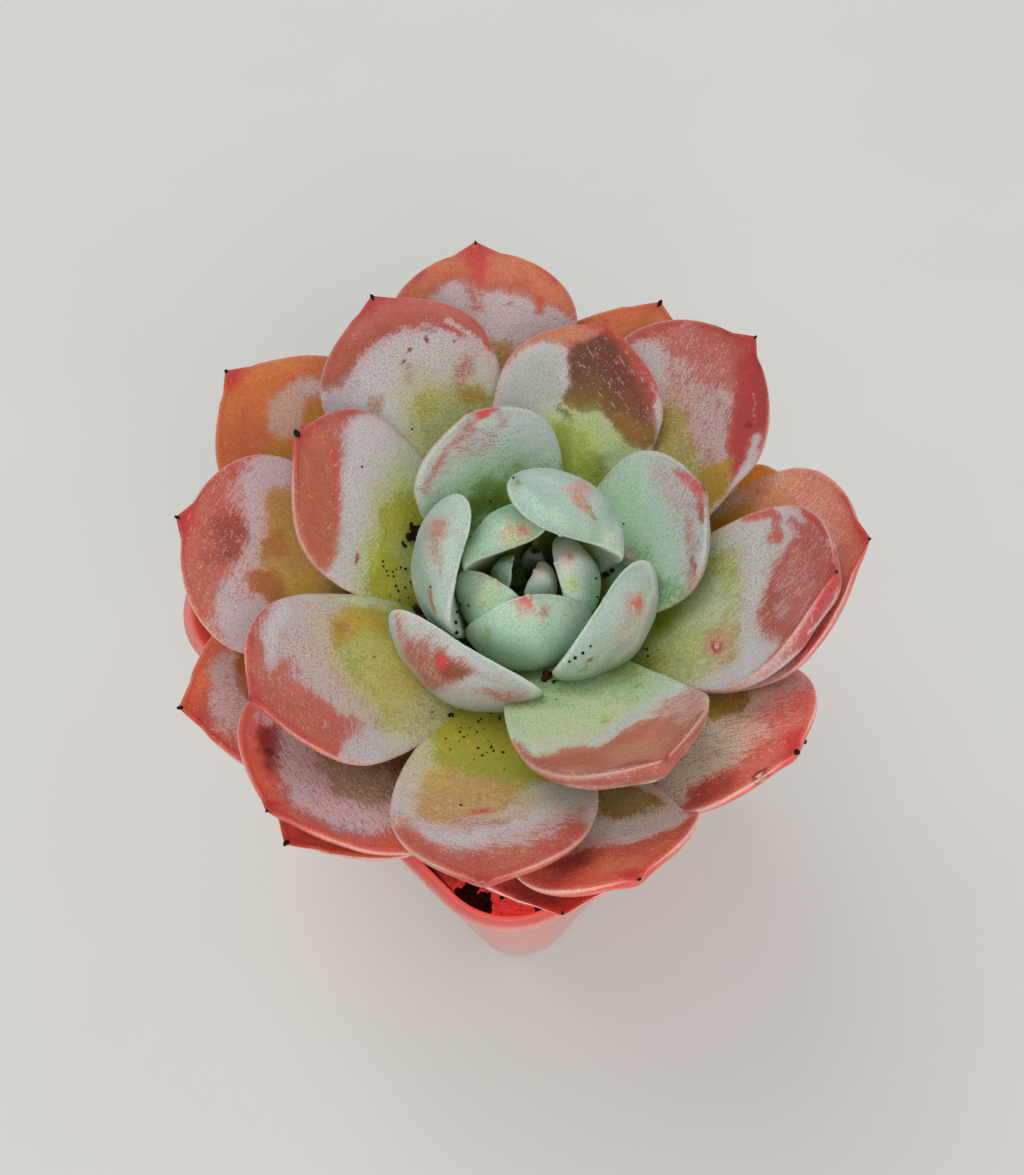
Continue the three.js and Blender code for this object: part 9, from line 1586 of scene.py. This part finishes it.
def pot_half(z):
    return BASE_HALF + (RIM_HALF - LIP_OUT - BASE_HALF) * z / POT_HEIGHT


def pot_corner(z):
    return BASE_CORNER + (RIM_CORNER - LIP_OUT - BASE_CORNER) * z / POT_HEIGHT


def skin(rings):
    """Rings of points joined one to the next; the two ends are closed by fans."""
    n = len(rings[0])
    co = np.concatenate(list(rings) + [[rings[0].mean(0)], [rings[-1].mean(0)]])
    faces = []
    for i in range(len(rings) - 1):
        for k in range(n):
            k1 = (k + 1) % n
            faces.append((i * n + k, i * n + k1, (i + 1) * n + k1, (i + 1) * n + k))
    e0, e1 = len(rings) * n, len(rings) * n + 1
    last = (len(rings) - 1) * n
    for k in range(n):
        k1 = (k + 1) % n
        faces.append((e0, k1, k))
        faces.append((e1, last + k, last + k1))
    return co, faces


def pot_plastic(name, face):
    """Coral nursery-pot plastic: cloudy, lightly scuffed, darker where soil backs it, partly as painted shade; the
    inside a brighter red with a glow near the open corner, as painted light.
    """
    g = Nodes(name)
    p = g.place()
    _, _, z = g.split(p)
    cloud = g.noise(p, 0.09, 4.0, 0.55, 0.4)
    grime = g.noise(p, 0.55, 5.0, 0.65, 0.2)
    scuff = g.noise(g.place((120.0, 120.0, 1500.0)), 1.0, 4.0, 0.6)
    # darker below the soil line: the soil showing through the cloudy wall, with the shade it casts in the plastic
    # painted in
    soilback = g.step(g.add(z, g.mul(g.m("SUBTRACT", g.noise(p, 0.35, 3.0, 0.6), 0.5), 5.0)), 55.0, 50.2)
    # two colourings of one plastic: the outside paler pink, as a painted haze of reflected light, the inside a
    # brighter, deeper red, as painted light coming through the wall
    if face == "outer":
        c1, c2, c3 = lin((176, 124, 117)), lin((178, 134, 127)), lin((168, 110, 103))
        dust = 0.07
    else:
        c1, c2, c3 = lin((232, 84, 76)), lin((236, 112, 100)), lin((206, 60, 56))
        dust = 0.10
    col = g.mix(g.step(cloud, 0.35, 0.65), tuple(c1), tuple(c2))
    col = g.mix(g.mul(g.step(grime, 0.50, 0.76), 0.20), col, tuple(c3))
    if face == "outer":
        # the soil-backed band in two browner pinks: partly the soil seen through, partly painted shade
        clump = g.noise(p, 0.24, 5.0, 0.62, 0.8)
        behind = g.mix(g.step(clump, 0.34, 0.70), tuple(lin((174, 119, 111))), tuple(lin((158, 99, 91))))
        col = g.mix(g.mul(soilback, 0.62), col, behind)
        # paler towards the foot: painted light from the pale floor below
        col = g.mix(g.step(g.add(z, g.mul(cloud, 14.0)), 52.0, 6.0, (0.0, 0.42)), col, tuple(lin((178, 154, 149))))
    rimline = g.mul(g.step(z, 64.1, 64.9), 0.6)
    col = g.mix(rimline, col, tuple(lin((190, 96, 89))))
    film = g.mul(g.step(g.add(scuff, g.mul(grime, 0.6)), 0.72, 1.05), dust)
    low = g.mul(g.step(z, 7.0, 0.0), 0.25)
    col = g.mix(g.m("MAXIMUM", film, low), col, tuple(lin((214, 196, 188))))
    v, r = g.cell_pair(p, 0.55)
    r = r[0]
    spot = g.mul(g.step(v, g.mul(r, 0.16), g.mul(r, 0.08)), g.step(r, 0.55, 0.6))
    col = g.mix(g.mul(spot, 0.7), col, tuple(lin((70, 40, 30))) if face == "outer" else tuple(lin((60, 22, 18))))
    rough = g.add(0.27, g.mul(film, 0.9), g.mul(grime, 0.12), g.mul(spot, 0.3))
    h = g.add(g.mul(grime, 0.32), g.mul(spot, 0.4))
    g.set(Base_Color=col, Roughness=rough, Normal=g.bump(h, 0.22, 0.0002))
    g.bsdf.inputs["Subsurface Weight"].default_value = 0.85
    g.bsdf.inputs["Subsurface Radius"].default_value = (1.0, 0.34, 0.30)
    g.bsdf.inputs["Subsurface Scale"].default_value = 0.0035
    g.bsdf.inputs["Specular IOR Level"].default_value = 0.45
    if face == "inner":
        # light that comes through the wall from outside
        x, y, _ = g.split(p)
        dx, dy = g.m("SUBTRACT", x, CORNER[0]), g.m("SUBTRACT", y, CORNER[1])
        near = g.step(g.m("SQRT", g.add(g.mul(dx, dx), g.mul(dy, dy))), 20.0, 9.0)
        g.plug(g.bsdf.inputs["Emission Color"], g.mix(near, g.mix(1.0, col, (0.34, 0.20, 0.19), "MULTIPLY"), (0.62, 0.075, 0.066)))
        g.bsdf.inputs["Emission Strength"].default_value = 0.36
        g.mat.cycles.emission_sampling = "NONE"
    return g.mat


def build_pot():
    outer, inner = [], []
    for z, inset in ((0.0, 1.5), (0.12, 0.85), (0.45, 0.35), (1.0, 0.06), (1.8, 0.0)):
        outer.append(square_ring(z, pot_half(z) - inset, pot_corner(z) - inset * 0.6))
    top = POT_HEIGHT - LIP_HEIGHT
    for z in np.linspace(3.5, top - 0.9, 34):
        outer.append(square_ring(z, pot_half(z), pot_corner(z)))
    for z, out in ((top - 0.35, 0.02), (top - 0.10, 0.12), (top + 0.02, 0.34), (top + 0.16, 0.55), (top + 0.40, 0.645),
                   (top + 0.9, 0.65), (POT_HEIGHT - 0.40, 0.645), (POT_HEIGHT - 0.16, 0.53), (POT_HEIGHT - 0.03, 0.34), (POT_HEIGHT, 0.12)):
        outer.append(square_ring(z, pot_half(z) + out, pot_corner(z) + out))
    for z, out in ((POT_HEIGHT, -0.35), (POT_HEIGHT - 0.05, -0.66), (POT_HEIGHT - 0.22, -0.90), (POT_HEIGHT - 0.6, -WALL)):
        inner.append(square_ring(z, pot_half(z) + out, pot_corner(z) + out))
    for z in np.linspace(POT_HEIGHT - 2.0, FLOOR + 1.6, 30):
        inner.append(square_ring(z, pot_half(z) - WALL, pot_corner(z) - WALL))
    for z, ins in ((FLOOR + 0.9, 0.10), (FLOOR + 0.4, 0.40), (FLOOR + 0.08, 0.95), (FLOOR, 1.7)):
        inner.append(square_ring(z, pot_half(z) - WALL - ins, pot_corner(z) - WALL - ins * 0.6))
    for share in (0.75, 0.5, 0.25):
        h = pot_half(FLOOR) * share
        inner.append(square_ring(FLOOR, h, pot_corner(FLOOR) * share))
    under = [square_ring(0.0, pot_half(0) * share, pot_corner(0) * share) for share in (0.25, 0.5, 0.75)]
    under += [square_ring(0.0, pot_half(0) - 4.2, pot_corner(0) - 2.4), square_ring(0.35, pot_half(0) - 3.9, pot_corner(0) - 2.3),
              square_ring(0.35, pot_half(0) - 2.6, pot_corner(0) - 1.6), square_ring(0.0, pot_half(0) - 2.3, pot_corner(0) - 1.4)]
    rings = under + outer + inner
    co, faces = skin(rings)
    n = len(rings[0])
    idx = []
    first_inner = (len(under) + len(outer)) * n
    for fcs in faces:
        idx.append(1 if min(fcs) >= first_inner and max(fcs) < len(rings) * n or max(fcs) == len(rings) * n + 1 else 0)
    ob = make_object("pot_shell", within(co) * MM, faces, [pot_plastic("pot_outside", "outer"), pot_plastic("pot_inside", "inner")], True, idx)
    # drain holes through the floor
    bm = bmesh.new()
    for i in range(8):
        ring = 17.0 if i % 2 == 0 else 21.76
        a = POT_TURN + i * math.pi / 4
        m = Matrix.Translation((ring * math.cos(a) * MM, ring * math.sin(a) * MM, 0.0))
        bmesh.ops.create_cone(bm, cap_ends=True, segments=40, radius1=DRAIN_R * MM, radius2=DRAIN_R * MM, depth=8 * MM, matrix=m)
    me = bpy.data.meshes.new("drain_cut")
    bm.to_mesh(me)
    bm.free()
    cut = bpy.data.objects.new("drain_cut", me)
    bpy.context.scene.collection.objects.link(cut)
    mod = ob.modifiers.new("drain", "BOOLEAN")
    mod.operation, mod.object, mod.solver = "DIFFERENCE", cut, "EXACT"
    dg = bpy.context.evaluated_depsgraph_get()
    done = bpy.data.meshes.new_from_object(ob.evaluated_get(dg))
    ob.modifiers.clear()
    old = ob.data
    ob.data = done
    bpy.data.meshes.remove(old)
    bpy.data.objects.remove(cut)
    bpy.data.meshes.remove(me)
    ob.data.polygons.foreach_set("use_smooth", [True] * len(ob.data.polygons))
    ob.data.set_sharp_from_angle(angle=rad(38.0))
    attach(ob, "root")
    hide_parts("pot")
    return ob


build_pot()


# ---- soil -----------------------------------------------------------------
def soil_skin(name, light, dark, speck, wet=0.0, glow=False):
    g = Nodes(name)
    p = g.place()
    a = g.noise(p, 0.9, 6.0, 0.7, 0.5)
    b = g.noise(p, 4.0, 5.0, 0.7)
    v = g.cells(p, 1.7)
    col = g.mix(g.step(a, 0.35, 0.65), tuple(lin(dark)), tuple(lin(light)))
    col = g.mix(g.mul(g.step(b, 0.52, 0.70), 0.55), col, tuple(lin(speck)))
    col = g.mix(g.mul(g.step(v, 0.45, 0.10), 0.35), col, tuple(lin(dark)))
    if glow:
        # painted light: the red light through the pot wall, as a redder colour and a faint glow on the soil
        lit = g.attr("walllight", "Fac")
        glow_at = g.mul(lit, g.step(a, 0.36, 0.60, (0.40, 1.0)))
        col = g.mix(glow_at, col, tuple(lin((226, 70, 64))))
        g.plug(g.bsdf.inputs["Emission Color"], g.mix(glow_at, (0.0, 0.0, 0.0), (0.62, 0.075, 0.066)))
        g.bsdf.inputs["Emission Strength"].default_value = 0.44
        g.mat.cycles.emission_sampling = "NONE"
    h = g.add(g.mul(a, 0.6), g.mul(b, 0.5), g.mul(v, 0.4))
    g.set(Base_Color=col, Roughness=g.add(0.82 - wet * 0.4, g.mul(b, 0.12)), Normal=g.bump(h, 0.9, 0.0008))
    g.bsdf.inputs["Specular IOR Level"].default_value = 0.25
    return g.mat


SOIL_MATS = [
    soil_skin("peat", (58, 38, 26), (26, 16, 12), (96, 66, 44)),
    soil_skin("bark", (96, 60, 38), (48, 28, 18), (132, 92, 60)),
    soil_skin("clay_grain", (146, 98, 62), (104, 66, 42), (176, 130, 92)),
    soil_skin("pumice", (196, 186, 168), (150, 138, 118), (220, 214, 200)),
    soil_skin("crumb_black", (34, 22, 18), (14, 9, 8), (70, 40, 28), 0.3),
    soil_skin("crumb_red", (84, 42, 32), (40, 18, 16), (120, 66, 50), 0.3),
]


def cavity_half(z):
    return pot_half(z) - WALL - 0.3


# darker clumps left lying in that corner: place and size
CORNER_CLUMPS = ((-6.4, -37.8, 2.6), (-5.4, -38.9, 2.2), (-7.1, -36.8, 1.8), (2.1, -39.7, 1.3), (3.7, -39.4, 1.6), (-3.0, -37.5, 1.2))


def build_soil():
    rings = []
    zs = [(1.85, 2.4, 7.0), (2.4, 1.1, 7.6), (4.0, 0.35, 8.2)]
    for z, ins, cr in zs:
        rings.append(square_ring(z, cavity_half(z) - ins, cr, 12, 9))
    for z in np.linspace(6.0, 49.0, 24):
        rings.append(square_ring(z, cavity_half(z) - 0.15, pot_corner(z) + smooth(20, 50, z) * 4.0, 12, 9))
    for z, ins, cr in ((50.6, 0.25, 15.5), (51.8, 0.7, 16.5)):
        rings.append(square_ring(z, cavity_half(z) - ins, cr, 12, 9))
    ring = rings[-1]
    for share in np.linspace(0.96, 0.04, 30):
        r = ring.copy()
        r[:, :2] *= share
        rings.append(r)
    out = []
    for i, r in enumerate(rings):
        r = r.copy()
        x, y = r[:, 0], r[:, 1]
        if i >= 29:
            mound = 0.9 * np.exp(-((x - 3.2) ** 2 + (y + 2.5) ** 2) / 160.0)
            lump = 0.75 * fractal(x / 4.2, y / 4.2, 2.0, 41, 4, 0.55) + 0.35 * np.abs(fractal(x / 1.3, y / 1.3, 5.0, 43, 2))
            r[:, 2] = SOIL_TOP - 0.25 + mound + lump - 0.9 * smooth(0.90, 1.0, np.hypot(x, y) / 33.0)
        elif i > 2:
            d = 0.16 * fractal(x / 2.6, y / 2.6, r[:, 2] / 2.6, 47, 3)
            r[:, :2] *= (1 + (d - 0.12) / 30.0)[:, None]
        out.append(r)
    co, faces = skin(out)
    ob = make_object("soil_body", co * MM, faces, [soil_skin("peat_body", (58, 38, 26), (26, 16, 12), (96, 66, 44), 0.0, True)])
    # the clear wall lets its own colour fall on the damp soil along it, most in the empty corner
    near = smooth(17.0, 10.5, np.hypot(co[:, 0] - CORNER[0], co[:, 1] - CORNER[1]) + 1.6 * fractal(co[:, 0] / 4.0, co[:, 1] / 4.0, 0.0, 53))
    lit = ob.data.attributes.new("walllight", "FLOAT", "POINT")
    lit.data.foreach_set("value", (near * smooth(8.0, 40.0, co[:, 2])).astype(np.float32))
    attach(ob, "root")
    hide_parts("soil")
    return ob


build_soil()


def rock(seed, detail=2, rough=0.32, flat=1.0):
    """A small lumpy grain, about 1 across, as vertices and triangles."""
    bm = bmesh.new()
    bmesh.ops.create_icosphere(bm, subdivisions=detail, radius=0.5)
    v = np.array([p.co for p in bm.verts])
    f = [tuple(q.index for q in t.verts) for t in bm.faces]
    bm.free()
    n = fractal(v[:, 0] * 2.4 + seed, v[:, 1] * 2.4, v[:, 2] * 2.4, seed, 3, 0.6)
    r = np.random.default_rng(seed)
    v = v * (1 + rough * 1.6 * n)[:, None] * (0.75 + 0.5 * r.random(3))
    v[:, 2] *= flat
    return v, f


def turn(r):
    """A random rotation."""
    q = r.normal(size=4)
    q /= np.linalg.norm(q)
    w, x, y, z = q
    return np.array([[1 - 2 * (y * y + z * z), 2 * (x * y - z * w), 2 * (x * z + y * w)],
                     [2 * (x * y + z * w), 1 - 2 * (x * x + z * z), 2 * (y * z - x * w)],
                     [2 * (x * z - y * w), 2 * (y * z + x * w), 1 - 2 * (x * x + y * y)]])


def merge(name, bits, mats):
    """One object from (vertices in mm, faces, material number) bits."""
    co, faces, idx, base = [], [], [], 0
    for v, f, m in bits:
        co.append(v)
        faces += [tuple(i + base for i in q) for q in f]
        idx += [m] * len(f)
        base += len(v)
    ob = make_object(name, np.concatenate(co) * MM, faces, mats, True, idx)
    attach(ob, "root")
    return ob


def scatter_soil():
    r = np.random.default_rng(5)
    bits = {"soil_grit": [], "soil_chips": []}
    tries = 0
    while tries < 1500:
        tries += 1
        x, y = r.uniform(-46, 46, 2)
        c, s = math.cos(-POT_TURN), math.sin(-POT_TURN)
        lx, ly = abs(x * c - y * s), abs(x * s + y * c)
        half, cr = cavity_half(54.0) - 0.9, 15.0
        gap = math.hypot(max(lx - (half - cr), 0), max(ly - (half - cr), 0)) - cr
        size = 0.8 + 2.2 * r.random() ** 2.2
        if gap > -size * 0.55 or lx > half or ly > half:
            continue
        if math.hypot(x - 3.2, y + 2.5) < 5.4 + size * 0.5:
            continue
        if gap < -16 and r.random() < 0.6:
            continue
        if math.hypot(x - CORNER[0], y - CORNER[1]) < 15.5:
            continue
        kind = r.choice(4, p=(0.52, 0.22, 0.16, 0.10))
        v, f = rock(int(r.integers(1e6)), 2 if size > 1.1 else 1, 0.3, 0.55 if kind == 1 else 0.85)
        if kind == 1:
            v = v * np.array([1.5, 0.8, 0.5])
        v = v @ turn(r).T * size
        mound = 0.9 * math.exp(-((x - 3.2) ** 2 + (y + 2.5) ** 2) / 160.0)
        v = v + np.array([x, y, SOIL_TOP + mound + size * 0.12])
        bits["soil_chips" if kind == 1 else "soil_grit"].append((v, f, kind))
    for x, y, size in CORNER_CLUMPS:
        for j in range(9):
            k = size * (0.30 + 0.35 * r.random())
            off = r.normal(size=3) * size * 0.30
            v, f = rock(int(r.integers(1e6)), 2, 0.42)
            bits["soil_grit"].append((v @ turn(r).T * k + np.array([x, y, SOIL_TOP + 0.3 * size]) + off * np.array([1, 1, 0.4]), f, 0))
    for k, b in bits.items():
        merge(k, b, SOIL_MATS[:4])


scatter_soil()


# ---- the stem ---------------------------------------------------------------
def stem_skin():
    g = Nodes("stem_bark")
    p = g.place()
    rings = g.noise(g.place((300.0, 300.0, 2400.0)), 1.0, 4.0, 0.6)
    a = g.noise(p, 1.2, 5.0, 0.65, 0.4)
    col = g.mix(g.step(a, 0.35, 0.65), tuple(lin((98, 84, 44))), tuple(lin((128, 96, 58))))
    col = g.mix(g.mul(g.step(rings, 0.5, 0.66), 0.6), col, tuple(lin((66, 46, 30))))
    g.set(Base_Color=col, Roughness=g.add(0.62, g.mul(a, 0.2)), Normal=g.bump(g.add(g.mul(rings, 0.8), a), 0.8, 0.0006))
    g.bsdf.inputs["Subsurface Weight"].default_value = 0.05
    g.bsdf.inputs["Subsurface Scale"].default_value = 0.001
    return g.mat


def build_stem():
    prof = [(45.6, 4.5), (49.0, 4.62), (53.0, 4.45), (58.0, 4.1), (62.0, 3.8), (66.0, 3.0), (68.2, 1.9), (69.0, 0.5)]
    zz = np.linspace(45.6, 69.0, 90)
    rr = np.interp(zz, [a for a, _ in prof], [b for _, b in prof])
    a = np.linspace(0, 2 * np.pi, 72, endpoint=False)
    rings = []
    for z, r in zip(zz, rr):
        scar = 0.16 * np.maximum(0, np.sin(3 * a + z * 1.9)) * np.sin(z * 2.6) ** 2
        k = r * (1 - 0.012 + 0.03 * fractal(np.cos(a) * 1.5, np.sin(a) * 1.5, z / 3.0, 61)) - scar * smooth(0.5, 2.0, r)
        rings.append(np.stack([AXIS[0] + k * np.cos(a), AXIS[1] + k * np.sin(a), np.full(72, z)], -1))
    co, faces = skin(rings)
    ob = make_object("stem_bark_skin", co * MM, faces, [stem_skin()])
    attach(ob, "root")
    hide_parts("stem")


build_stem()


# ---- grains of soil on the leaves --------------------------------------------
def on_leaf(name, face, u, v):
    """The point and outward normal on a leaf's top (1) or underside (-1)."""
    p = leaf_of(name)
    t = np.clip(u / p["L"], 0.01, 0.995)
    f, _ = outline(np.array([t]), p)
    s = float(np.clip(v / (p["W"] * f[0]), -0.98, 0.98))
    a0 = math.acos(s) * (1 if face > 0 else -1)
    da, dt = 0.02, 0.004
    ts = np.array([t - dt, t, min(t + dt, 0.999)])
    pts, _ = leaf_points(p, ts, np.array([a0 - da, a0, a0 + da]), 100 + 37 * list(LEAVES).index(name))
    n = np.cross(pts[2, 1] - pts[0, 1], pts[1, 2] - pts[1, 0])
    n /= np.linalg.norm(n) + 1e-12
    _, _, _, up = midrib(np.array([t]), p)
    if n @ up[0] * face < 0:
        n = -n
    return pts[1, 1], n


def build_grains():
    groups = {}
    for i, (leaf, face, u, v, size, kind) in enumerate(GRAINS):
        pt, n = on_leaf(leaf, face, u, v)
        r = np.random.default_rng(900 + i)
        if kind == "clump":
            m = max(5, int(size * 7))
            for j in range(m):
                k = size * (0.20 + 0.30 * r.random())
                w, f = rock(int(r.integers(1e6)), 2 if k > 0.6 else 1, 0.42)
                off = r.normal(size=3) * size * 0.24
                off = off - n * (off @ n) + n * (abs(off @ n) * 0.7 + k * 0.30)
                groups.setdefault("black", []).append((w @ turn(r).T * k + pt + off, f, 0 if r.random() < 0.8 else 1))
        elif kind == "redclump":
            for j in range(max(5, int(size * 6))):
                k = size * (0.22 + 0.30 * r.random())
                w, f = rock(int(r.integers(1e6)), 2 if k > 0.6 else 1, 0.42)
                off = r.normal(size=3) * size * 0.24
                off = off - n * (off @ n) + n * (abs(off @ n) * 0.7 + k * 0.30)
                groups.setdefault("black", []).append((w @ turn(r).T * k + pt + off, f, 1 if r.random() < 0.7 else 0))
        elif kind == "pale":
            w, f = rock(int(r.integers(1e6)), 3, 0.34)
            groups.setdefault("pale", []).append((w @ turn(r).T * size + pt + n * size * 0.32, f, 0))
        else:
            m = {"black": 0, "red": 1}[kind]
            w, f = rock(int(r.integers(1e6)), 2 if size > 0.5 else 1, 0.35)
            groups.setdefault("black", []).append((w @ turn(r).T * size + pt + n * size * 0.22, f, m))
    # the dried bead on the point of a leaf
    for j, (name, size) in enumerate(MUCRO.items()):
        p = leaf_of(name)
        m, along, side, up = midrib(np.array([0.985, 1.0]), p)
        w, f = rock(500 + j, 3, 0.16)
        w = w * np.array([1.25, 0.78, 0.72]) * size
        axes = np.stack([along[1], side[1], up[1]])
        v = w @ axes + m[1] - along[1] * size * 0.34
        v = v + np.maximum(np.array(CAD_LO) / MM + 0.02 - v.min(0), 0.0) - np.maximum(v.max(0) - np.array(CAD_HI) / MM + 0.02, 0.0)
        groups.setdefault("black", []).append((v, f, 0))
    if "black" in groups:
        merge("grains_dark", groups["black"], [SOIL_MATS[4], SOIL_MATS[5]])
    if "pale" in groups:
        merge("grains_pale", groups["pale"], [SOIL_MATS[3]])


build_grains()


# ---- floor, light and camera ------------------------------------------------
def flat(rgb):
    c = np.asarray(rgb, float) / 255.0
    return np.where(c <= 0.04045, c / 12.92, ((c + 0.055) / 1.055) ** 2.4)


def floor_skin():
    g = Nodes("floor_pale")
    p = g.place()
    n = g.noise(p, 0.02, 2.0, 0.5)
    col = g.mix(n, tuple(flat((223, 221, 215))), tuple(flat((228, 227, 221))))
    g.set(Base_Color=col, Roughness=g.add(0.75, g.mul(n, 0.1)))
    g.bsdf.inputs["Specular IOR Level"].default_value = 0.2
    return g.mat


def stage():
    r = np.linspace(0, 1, 41)
    g = np.sign(r * 2 - 1) * np.abs(r * 2 - 1) ** 2.4 * 12000.0
    co = [(x, y, 0.0) for y in g for x in g]
    n = len(g)
    faces = [(j * n + i, j * n + i + 1, (j + 1) * n + i + 1, (j + 1) * n + i) for j in range(n - 1) for i in range(n - 1)]
    ob = make_object("floor", np.array(co) * MM, faces, [floor_skin()])


stage()


def area(name, place, aim, size, power, colour):
    d = bpy.data.lights.new(name, "AREA")
    d.shape = "DISK"
    d.size = size
    d.energy = power
    d.color = colour
    o = bpy.data.objects.new(name, d)
    o.location = place
    o.rotation_mode = "QUATERNION"
    o.rotation_quaternion = (Vector(aim) - Vector(place)).to_track_quat("-Z", "Y")
    bpy.context.scene.collection.objects.link(o)


area("window", (-0.45, 0.60, 1.15), (0, 0, 0.05), 1.0, 4.4, (1.0, 0.99, 0.97))
area("fill", (0.25, -1.05, 0.60), (0, 0, 0.05), 1.2, 6.2, (1.0, 0.985, 0.965))

world = bpy.data.worlds.new("soft_sky")
bpy.context.scene.world = world
world.use_nodes = True
bg = world.node_tree.nodes.get("Background") or world.node_tree.nodes.new("ShaderNodeBackground")
bg.inputs[0].default_value = (0.93, 0.96, 1.0, 1.0)
bg.inputs[1].default_value = 0.59

scene = bpy.context.scene
scene.view_settings.view_transform = "Standard"
scene.view_settings.look = "None"
scene.view_settings.exposure = 0.0
scene.view_settings.gamma = 1.0

# the camera stands in front of the pot, looking down at 61 degrees
E, R = math.radians(61.0), math.radians(-3.2)
fwd = Vector((0, math.cos(E), -math.sin(E)))
up0 = Vector((0, math.sin(E), math.cos(E)))
right0 = Vector((1, 0, 0))
up = math.cos(R) * up0 - math.sin(R) * right0
right = math.sin(R) * up0 + math.cos(R) * right0
cam = bpy.data.cameras.new("camera")
cam.sensor_width = 36.0
cam.lens = 1100.0 / 1175.0 * 36.0
cam.clip_start, cam.clip_end = 0.005, 20.0
ob = bpy.data.objects.new("camera", cam)
ob.matrix_world = Matrix(((right.x, up.x, -fwd.x, 0.78 * MM), (right.y, up.y, -fwd.y, -72.28 * MM),
                          (right.z, up.z, -fwd.z, 197.7 * MM), (0, 0, 0, 1)))
scene.collection.objects.link(ob)
scene.camera = ob
